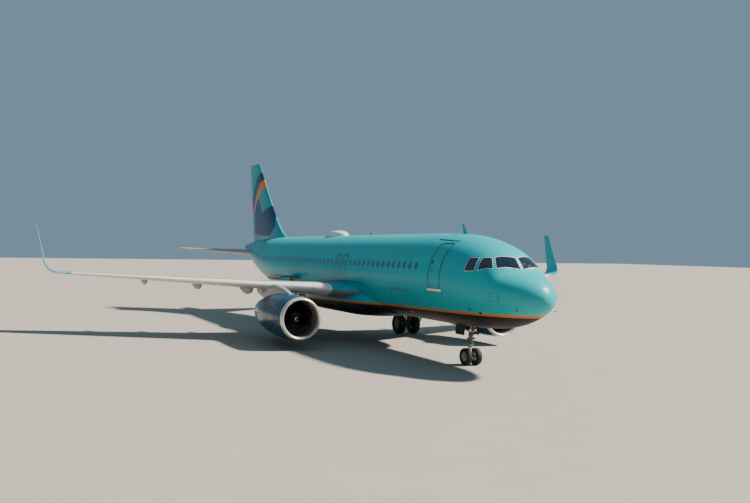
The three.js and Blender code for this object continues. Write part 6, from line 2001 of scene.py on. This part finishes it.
# %% [markdown]
# The nose leg is fixed: a scuffed grey tube with its steering cylinder, lamps and a red folding brace
# ahead of it.

# %% Nose leg
at_nose = leg_places(nose_middle)
LEG_FOOT, LEG_TOP = 0.9, 2.36
STEERING_HEIGHT, LAMP_HEIGHT, TRUNNION = 1.18, 1.56, 0.3297
# columns: height, radius, length
NOSE_COLLARS = [(0.955, 0.118, 0.11), (1.33, 0.102, 0.05), (1.72, 0.1, 0.04), (2.1, 0.112, 0.12)]
# columns: ahead, height, reach to either side, radius, faces round it, middle
NOSE_PINS = [(0, 2.23, TRUNNION, 0.06, 32, 0), (0, STEERING_HEIGHT, 0.175, 0.046, 32, 0),
             (0, STEERING_HEIGHT, 0.014, 0.052, 32, -0.164), (0, STEERING_HEIGHT, 0.014, 0.052, 32, 0.164),
             (0.07, LAMP_HEIGHT, 0.13, 0.022, 24, 0)]
leg_tube = bar(at_nose(0, 0, LEG_FOOT), at_nose(0, 0, LEG_TOP), 0.092, sides=48, bevel=0.05)
lamp_arm = rods(at_nose, ((0, 0, LAMP_HEIGHT), (0.08, 0, LAMP_HEIGHT), 0.03, 24))
leg = stacked(leg_tube, lamp_arm, *[collar(at_nose, *row) for row in NOSE_COLLARS],
              *[pin(at_nose, *row) for row in NOSE_PINS])
piece("nose_leg_tube", leg, gear_enamel, replaces=["nose_leg"])
brace = stacked(rods(at_nose, ((0.03, 0, 1.38), (0.36, 0, 2.3), 0.034, 24, 0.04)),
                pin(at_nose, 0.09, 1.36, 0.07, 0.036), pin(at_nose, 0.36, 2.3, TRUNNION, 0.034),
                pin(at_nose, 0.17, 1.8, 0.05, 0.045))
piece("nose_brace", brace, brace_enamel, replaces=["nose_leg"])
piece("nose_brace_rods", rods(
    at_nose, ((0.02, 0.085, 1.46), (0.3, 0.12, 2.26), 0.016, 16),
    ((0.02, -0.085, 1.46), (0.3, -0.12, 2.26), 0.016, 16), ((0, 0.16, 1.72), (0, 0.24, 2.2), 0.018, 16)),
    chrome)
LAMP_SPREAD, LAMP_RADIUS, LAMP_AHEAD = 0.13, 0.085, 0.06
# columns: share of the lamp's radius, distance ahead
LAMP_BOWL = np.array([[0, 0], [0.6, 0], [0.85, 0.03], [1, 0.08], [1, 0.09], [0.92, 0.09], [0.9, 0.07],
                      [0, 0.06]])
LAMP_LENS = np.array([[0, 0.066], [0.89, 0.072], [0.8, 0.084], [0, 0.089]])
for name, profile, finish, nodes in (("housings", LAMP_BOWL, plastic, ["nose_leg"]),
                                     ("lenses", LAMP_LENS, lamp_lens, [])):
    lamps = [turned(profile * [LAMP_RADIUS, 1], at_nose(LAMP_AHEAD, y, LAMP_HEIGHT), (1, 0, 0), 48)
             for y in (-LAMP_SPREAD, LAMP_SPREAD)]
    piece("nose_lamp_" + name, stacked(*lamps), finish, replaces=nodes)
print("the nose leg stands from", LEG_FOOT, "to", LEG_TOP, "m")

# %% [markdown]
# The chromed piston below the nose leg turns with the wheels, so it rides on the steered body, and so do
# its fork and the links that close behind it. The hoses belong to the leg and stay.

# %% Steered piston and hoses
AXLE_HEIGHT, PISTON_FOOT, PISTON_TOP = NOSE_WHEEL["radius"], 0.46, 1.104
chrome_bar = bar(at_nose(0, 0, PISTON_FOOT), at_nose(0, 0, PISTON_TOP), 0.058, sides=48)
piece("nose_piston_chrome", chrome_bar, chrome, "nose_steering", ["nose_piston"])
fork = stacked(
    pin(at_nose, 0, AXLE_HEIGHT, 0.095, 0.076, 40), pin(at_nose, 0.1, AXLE_HEIGHT, 0.05, 0.018, 20),
    rods(at_nose, ((0, 0, 0.4), (0, 0, 0.55), 0.072, 32, 0.06), ((0, 0, 0.8), (0, 0, 0.87), 0.084, 40),
         ((0, 0, AXLE_HEIGHT), (0.11, 0, AXLE_HEIGHT), 0.024, 20)),
    torque_links(at_nose, (-0.06, 0.835), (-0.26, 0.66), (-0.04, 0.44), 0.055, 0.018))
piece("nose_piston_fork", fork, gear_enamel, "nose_steering", ["nose_piston"])
hoses = [hose(at_nose, [(-0.1, 0.03, 2.2), (-0.11, 0.04, 1.8), (-0.1, 0.05, 1.4), (-0.06, 0.1, 1.22)]),
         hose(at_nose, [(-0.1, -0.03, 2.2), (-0.12, -0.05, 1.7), (-0.1, -0.06, 1.35), (-0.05, -0.12, 1.22)])]
hoses += [hose(at_nose, [(0.02, side * 0.1, 2.05), (0.07, side * 0.11, 1.8),
                         (0.06, side * 0.12, 1.62)], 0.008)
          for side in (1, -1)]
piece("nose_hoses", stacked(*hoses), plastic)
print("hoses on the nose leg:", len(hoses))

# %% [markdown]
# A gear door is a flat panel with ribs inside. The nose doors lean out a little towards their feet, so
# their chart does, and a flat plate laid on it leans with it.

# %% Nose gear doors
DOOR = {"front": 5.02, "back": 5.74, "low": 1.33, "high": 1.86, "y": 0.33, "splay": 0.02, "thick": 0.026}
DOOR_RIBS, RIB_HALF, RIB_SHY = (5.14, 5.38, 5.62), 0.012, 0.06


def on_nose_door(along, height, lift):
    """Chart of the port door: station, height, distance outwards; it leans out a little at its foot."""
    lean = DOOR["splay"] * (DOOR["high"] - height) / (DOOR["high"] - DOOR["low"])
    return np.stack([NOSE_X - along, DOOR["y"] + lean + lift, height], -1)


outline = box_outline((DOOR["front"] + DOOR["back"]) / 2, (DOOR["low"] + DOOR["high"]) / 2,
                      DOOR["back"] - DOOR["front"], DOOR["high"] - DOOR["low"], 0.05, 64)
ribs = [block((NOSE_X - s - RIB_HALF, DOOR["y"] - 0.002, DOOR["low"] + RIB_SHY),
              (NOSE_X - s + RIB_HALF, DOOR["y"] + 0.03, DOOR["high"] - RIB_SHY)) for s in DOOR_RIBS]
both_sides("nose_gear_door_skin", pad(outline, on_nose_door, DOOR["thick"], 0.008, rings=6), belly_paint,
           replaces=["nose_gear_door"])
both_sides("nose_gear_door_ribs", stacked(*ribs), primer, replaces=["nose_gear_door"])
print("nose door:", np.round(np.ptp(outline, 0), 3), "m")

# %% [markdown]
# Each main leg has a stay towards the body, a brace behind, links ahead, a brake pack inside each wheel
# with its hoses, and the door panel that the leg carries on two arms.

# %% Main legs
at_main = leg_places(main_middle)
MAIN_AXLE, STAY_KNEE = MAIN_WHEEL["radius"], (-0.55, 2.217)
# columns: height, radius, length
MAIN_COLLARS = [(1.275, 0.148, 0.09), (1.62, 0.15, 0.13), (1.9, 0.146, 0.1), (2.45, 0.15, 0.16)]
main_leg = stacked(
    bar(at_main(0, 0, 1.23), at_main(0, 0, 2.9), 0.132, sides=56, bevel=0.04),
    *[collar(at_main, *row, 56) for row in MAIN_COLLARS], pin(at_main, 0, MAIN_AXLE, 0.2, 0.12, 56),
    torque_links(at_main, (0.06, 1.4), (0.43, 1.01), (0.05, 0.66), 0.095, 0.03),
    rods(at_main, ((0, 0, 0.6), (0, 0, 0.82), 0.118, 48, 0.09),
         ((0, 0, 1.62), (0, -1.05, 2.76), 0.056, 32, 0.064),
         ((-0.07, *STAY_KNEE), (0.07, *STAY_KNEE), 0.075, 24), ((0, *STAY_KNEE), (0, -0.15, 2.75), 0.03, 20),
         ((-0.38, 0, 2.7), (0, 0, 1.9), 0.06, 32, 0.052),
         *[((0, 0, z), (0, 0.62, z), 0.03, 24) for z in (1.5, 2.2)]))
both_sides("main_leg_tube", main_leg, gear_enamel, replaces=["main_leg"])
both_sides("main_leg_piston", bar(at_main(0, 0, 0.7), at_main(0, 0, 1.3), 0.082, sides=48), chrome,
           replaces=["main_leg"])
print("points of a main leg:", len(main_leg[0]))

# %% Brakes and hoses
# shares of the tyre's width inboard of its middle, where the pack starts and ends
BRAKE_SPAN, BRAKE_RADIUS, CALIPERS = (0.36, 0.04), 0.215, 8
brakes = []
for side in (-1, 1):
    start, end = side * (MAIN_WHEEL["spacing"] / 2 - np.multiply(BRAKE_SPAN, MAIN_WHEEL["width"]))
    brakes.append(bar(at_main(0, start, MAIN_AXLE), at_main(0, end, MAIN_AXLE), BRAKE_RADIUS, sides=56,
                      bevel=0.06))
    face = main_middle + [0, start - side * 0.02, 0]
    brakes.append(ring_of(CALIPERS, 0.16, lambda dx, dz: across_at(face, dx, dz, 0, side * 0.05, 0.035, 24)))
both_sides("main_brake_packs", stacked(*brakes), brake_metal, replaces=["main_leg"])
hoses = [[(-0.15, side * 0.04, 2.5), (-0.17, side * 0.05, 1.9), (-0.16, side * 0.06, 1.35),
          (-0.2, side * 0.08, 1.0), (-0.12, side * 0.2, 0.72)] for side in (1, -1)]
hoses += [[(0.13, 0.06, 2.3), (0.16, 0.07, 1.7), (0.14, 0.08, 1.3), (0.19, 0.1, 0.95), (0.1, 0.22, 0.7)]]
both_sides("main_hoses", stacked(*[hose(at_main, places, 0.014) for places in hoses]), plastic)
print("brake pack:", round(abs(end - start), 3), "m thick")

# %% Leg doors
LEG_DOOR = {"out": 0.62, "low": 1.2, "high": 2.56, "half": 0.46, "thick": 0.034}
LEG_RIBS = {"level": (1.3, 1.5, 1.85, 2.2, 2.46), "upright": (-0.36, 0, 0.36), "half": 0.02}


def on_leg_door(ahead, height, lift):
    """Chart of the port leg door: ahead of the leg, height, distance outwards."""
    return np.stack([main_middle[0] + ahead, MAIN_Y + LEG_DOOR["out"] + lift, height], -1)


outline = box_outline(0, (LEG_DOOR["low"] + LEG_DOOR["high"]) / 2, 2 * LEG_DOOR["half"],
                      LEG_DOOR["high"] - LEG_DOOR["low"], 0.09, 72)
half, thin = LEG_DOOR["thick"] / 2, LEG_RIBS["half"]
both_sides("leg_door_skin", pad(outline, on_leg_door, half, -0.004, rings=6), shade_darkened_wing_paint,
           replaces=["main_leg"])
ribs = [block(on_leg_door(-0.42, z - thin, -half), on_leg_door(0.42, z + thin, 0))
        for z in LEG_RIBS["level"]]
ribs += [block(on_leg_door(x - thin, 1.28, -half), on_leg_door(x + thin, 2.48, 0))
         for x in LEG_RIBS["upright"]]
both_sides("leg_door_ribs", stacked(*ribs), primer, replaces=["main_leg"])
print("ribs in a leg door:", len(ribs))

# %% [markdown]
# Small fittings that show on the skin: the radome over the satellite aerial, blade aerials, probes,
# lamps, wipers, drain masts and the static wicks that trail from the wings and the tail.

# %% Radome on the crown
# columns: station, half width, height above the crown
CROWN_RADOME = np.array([[18.3, 0.03, 0.01], [18.45, 0.26, 0.15], [18.8, 0.43, 0.27],
                         [19.25, 0.51, 0.315], [19.8, 0.48, 0.29], [20.35, 0.34, 0.19],
                         [20.9, 0.04, 0.01]])
CROWN, RADOME_SUNK, RADOME_POWER = 5.87, 0.11, 2 / 2.7
station = np.linspace(CROWN_RADOME[0, 0], CROWN_RADOME[-1, 0], 60)[:, None]
half, height = [smooth_through(CROWN_RADOME[:, 0], CROWN_RADOME[:, i], station) for i in (1, 2)]
turn = np.linspace(0, 2 * np.pi, 48, endpoint=False)
across, up = [signed_power(v, RADOME_POWER) for v in (np.sin(turn), np.cos(turn))]
dome = np.stack([NOSE_X - station + 0 * turn, half * across,
                 CROWN + (height + RADOME_SUNK) * up - RADOME_SUNK], -1)
piece("crown_radome_skin", form(capped(dome)), white_paint, replaces=["crown_radome"])
print("the radome stands", CROWN_RADOME[:, 2].max(), "m above the crown")

# %% Blade aerials
def blade_aerial(station, angle, height, chord, sweep, thick=0.022):
    """A swept blade on the body: lens sections that shrink and move back as they rise."""
    rise = np.array([-0.1, 0.0, 0.3, 0.6, 0.85, 0.96, 1.0])[:, None]
    size = np.array([1.1, 1.0, 0.88, 0.76, 0.64, 0.5, 0.2])[:, None]
    turn = np.linspace(0, 2 * np.pi, 20, endpoint=False)
    along = station + sweep * np.maximum(rise, 0) + chord * size * (0.5 - np.cos(turn) / 2)
    across = np.sin(turn) * thick * size / 2
    foot = on_body(station, angle)[1:]
    up = np.array([-np.sin(angle), np.cos(angle)])
    side = np.array([np.cos(angle), np.sin(angle)])
    place = foot + (rise * height)[..., None] * up + across[..., None] * side
    return form(capped(np.concatenate([(NOSE_X - along)[..., None], place], -1)))


# columns: station, angle from the crown, height, chord, sweep
AERIALS = [(5.46, 0, 0.46, 0.34, 0.3), (22.9, np.pi, 0.3, 0.3, 0.2), (9.3, np.pi, 0.22, 0.24, 0.12)]
piece("blade_aerials", stacked(*[blade_aerial(*row) for row in AERIALS]), teal_trim)
print("blade aerials:", len(AERIALS))

# %% Probes on the nose, and drain masts
# columns: station, height
PITOT_TUBES = [(0.78, 2.79), (3.0, 2.66)]
FLOW_VANE = (2.5, 2.52)
SQUARE_PANEL = (1.54, 3.22)
# columns as the aerials', and the thickness
DRAIN_MASTS = [(11.6, np.pi, 0.16, 0.12, 0.1, 0.03), (25.6, np.pi + 0.25, 0.2, 0.12, 0.1, 0.03)]


def pitot_tube(at_skin, place):
    """A mast out of the skin that bends forwards into a tube, on a rounded base plate."""
    foot, elbow = at_skin(*place, -0.01), at_skin(*place, 0.09)
    path = [foot, elbow * 0.6 + foot * 0.4, elbow, *[elbow + [ahead, 0, 0] for ahead in (0.05, 0.1, 0.2)]]
    plate = pad(box_outline(*place, 0.12, 0.07, 0.03, 28), at_skin, 0.004, -0.004, 2)
    return [tube(path, [0.022, 0.017, 0.014, 0.013, 0.012, 0.008]), plate]


def flow_vane(at_skin, place):
    """A round base plate, a hub and the small vane that trails from it."""
    hub, out = at_skin(*place, -0.01), at_skin(*place, 0.035)
    return [pad(box_outline(*place, 0.12, 0.12, 0.0599, 32), at_skin, 0.004, -0.004, 2),
            bar(hub, out, 0.016), bar(out, out - [0.1, 0, 0], 0.011, 0.004)]


probes = []
for side in (PORT, STARBOARD):
    for place in PITOT_TUBES:
        probes += pitot_tube(on_side(side), place)
    probes += flow_vane(on_side(side), FLOW_VANE)
piece("probes", stacked(*probes), steel)
square = [box_outline(*SQUARE_PANEL, size, size * 0.8, 0.03, 40) for size in (0.4, 0.375)]
for side_name, side in SIDES:
    piece(f"nose_panel_line_{side_name}", band(*square, on_side(side), 0.003, -TRIM_SUNK), dark_marking)
piece("drain_masts", stacked(*[blade_aerial(*row) for row in DRAIN_MASTS]), steel)
print("forms of the probes:", len(probes))

# %% [markdown]
# Lamps: a red beacon above and one below, wing tip lights in the leading edge of the winglets, and
# landing lamps let into the wing roots.

# %% Beacons
BEACON_STATION = 14.9
turn = np.linspace(0, np.pi / 2, 10)
# profiles: radius, height
BEACON_SEAT = [(0, 0), (0.1, 0), (0.1, 0.022), (0.085, 0.038), (0, 0.038)]
BEACON_DOME = [(0, 0), *np.stack([0.07 * np.cos(turn), 0.035 + 0.09 * np.sin(turn)], -1)]
for name, profile, finish in (("lenses", BEACON_DOME, red_lens), ("seats", BEACON_SEAT, steel)):
    both = [turned(profile, on_body(BEACON_STATION, angle, -0.01), (0, 0, up), 32)
            for angle, up in ((0, 1), (np.pi, -1))]
    piece("beacon_" + name, stacked(*both), finish)
print("points of a beacon's profile:", len(BEACON_DOME))

# %% Wing tip and landing lamps
TIP_GLASS_ROWS, TIP_GLASS_SHARE, TIP_GLASS_PROUD = slice(2, 14), 0.07, [0.004, 0, 0]
ROOT_LAMPS = [(3.35, 0.5), (3.35, 0.54)]
tip_sides = np.repeat([UPPER, LOWER], (8, 7))
glass_shares = np.abs(np.linspace(TIP_GLASS_SHARE, -TIP_GLASS_SHARE, 15))
tip_glass = section_point(swept[TIP_GLASS_ROWS][:, None, :], glass_shares, tip_sides, WINGLET_CAMBER)
both_sides("tip_lamp_glass", form(capped(tip_glass + TIP_GLASS_PROUD)), lamp_lens)
lamp_ring = resampled(rounded(0.2, 0.2, 0.0999), 36)
lamps = []
for y, share in ROOT_LAMPS:
    chord = np.interp(y, WING[:, 1], WING[:, 3])
    lamps.append(pad(lamp_ring / [1, chord] + [y, share], wing_chart(LOWER), 0.006, -0.01, rings=3))
both_sides("landing_lamp_glass", stacked(*lamps), lamp_lens)
print("landing lamps a wing:", len(lamps))

# %% [markdown]
# Static wicks are thin rods behind the trailing edges, and ride on the surfaces they hang from.

# %% Static wicks
WICK_LENGTH, WICK_RADIUS = 0.13, 0.004


def wicks(feet):
    """A rod from just inside each foot straight back, thinner at its end."""
    return stacked(*[bar(foot + [0.02, 0, 0], foot - [WICK_LENGTH, 0, 0], WICK_RADIUS, WICK_RADIUS * 0.6, 8)
                     for foot in feet])


both_sides("aileron_wicks", wicks([on_wing(y, 1.0, UPPER) for y in (13.5, 14.2, 14.9, 15.6)]),
           plastic, "aileron_left")
both_sides("elevator_wicks", wicks([on_tail(y, 1.0, UPPER) for y in (3.2, 4.1, 5.0, 5.7)]),
           plastic, "elevator_left")
piece("rudder_wicks", wicks([on_fin(z, 1.0, UPPER) for z in (8.4, 9.4, 10.3, 11.1)]), plastic, "rudder")
winglet_feet = section_point(swept[[24, 34, 42]], 1.0, UPPER, WINGLET_CAMBER)
both_sides("winglet_wicks", wicks(winglet_feet), plastic)
print("wicks on a winglet:", len(winglet_feet))

# %% [markdown]
# Two wipers rest along the lower edge of the windscreen: an arm from its pivot to the middle of a blade.

# %% Wipers
# columns: station, y on the starboard side, lift
WIPER_ARM = [(1.86, 0.55, 0.0), (1.8, 0.5, 0.045), (1.7, 0.36, 0.05), (1.62, 0.28, 0.035)]
WIPER_BLADE = [(1.76, 0.53, 0.018), (1.66, 0.32, 0.02), (1.575, 0.11, 0.018)]


def on_nose(side):
    """Chart of the nose from above: station, distance to one side, lift."""
    return lambda s, y, lift: on_body(s, -side * np.arcsin(np.asarray(y) / body_at(s)[2]), lift)


wipers = []
for side in (PORT, STARBOARD):
    for path, radius in ((WIPER_ARM, 0.009), (WIPER_BLADE, 0.012)):
        fine = np.linspace(0, len(path) - 1, 16)
        spots = [np.interp(fine, np.arange(len(path)), column) for column in np.transpose(path)]
        wipers.append(tube(on_nose(side)(*spots), radius, 10))
piece("wipers", stacked(*wipers), plastic)
print("forms of the wipers:", len(wipers))

# %% [markdown]
# A plain pale floor, one soft sun to port and a little ahead, where the shadows in the photograph put
# it, and an even pale blue sky. The floor is wide enough to fill the picture behind the airliner as well.

# %% Floor
FLOOR_HALF, FLOOR_MOTTLE = 260.0, 0.6
across, along = np.meshgrid([-FLOOR_HALF, FLOOR_HALF], [-FLOOR_HALF, FLOOR_HALF])
floor_points = np.stack([across, along, 0 * across], -1)
floor_material, floor_tree, floor_shader = new_material("pale_floor", "A69F94", roughness=0.75)
floor_place = place_of(floor_tree)[0]
mottle = add(floor_tree, "TexNoise", {"Vector": floor_place, "Scale": FLOOR_MOTTLE, "Detail": 5.0})
drive(floor_tree, floor_shader, base_color=add(
    floor_tree, "Mix", {0: mottle, 6: linear("A29B90"), 7: linear("AAA398")}, out=2, data_type="RGBA"))
floor = solid_object("floor", form(floor_points, around=False), floor_material)
print("the floor is", 2 * FLOOR_HALF, "m wide")

# %% Sun and sky
SUN = {"energy": 10.5, "angle": 4.0, "azimuth": 70.0, "elevation": 45.0}
SKY_STRENGTH = 0.5


def sun_turn(azimuth, elevation):
    """Rotation of a sun that shines from this compass angle, counted from +X towards +Y, and height."""
    a, e = np.radians([azimuth, elevation])
    return Vector((np.cos(a) * np.cos(e), np.sin(a) * np.cos(e), np.sin(e))).to_track_quat("Z", "Y")


sun = bpy.data.objects.new("sun", bpy.data.lights.new("sun", "SUN"))
bpy.context.scene.collection.objects.link(sun)
sun.data.energy, sun.data.angle = SUN["energy"], np.radians(SUN["angle"])
sun.data.color = linear("FFF6E8")[:3]
sun.rotation_mode = "QUATERNION"
sun.rotation_quaternion = sun_turn(SUN["azimuth"], SUN["elevation"])
sky = bpy.data.worlds.new("studio_sky")
bpy.context.scene.world = sky
sky.use_nodes = True
background = sky.node_tree.nodes["Background"]
background.inputs["Color"].default_value = linear("A2C4DF")
background.inputs["Strength"].default_value = SKY_STRENGTH
print("the sun stands", SUN["elevation"], "degrees high")
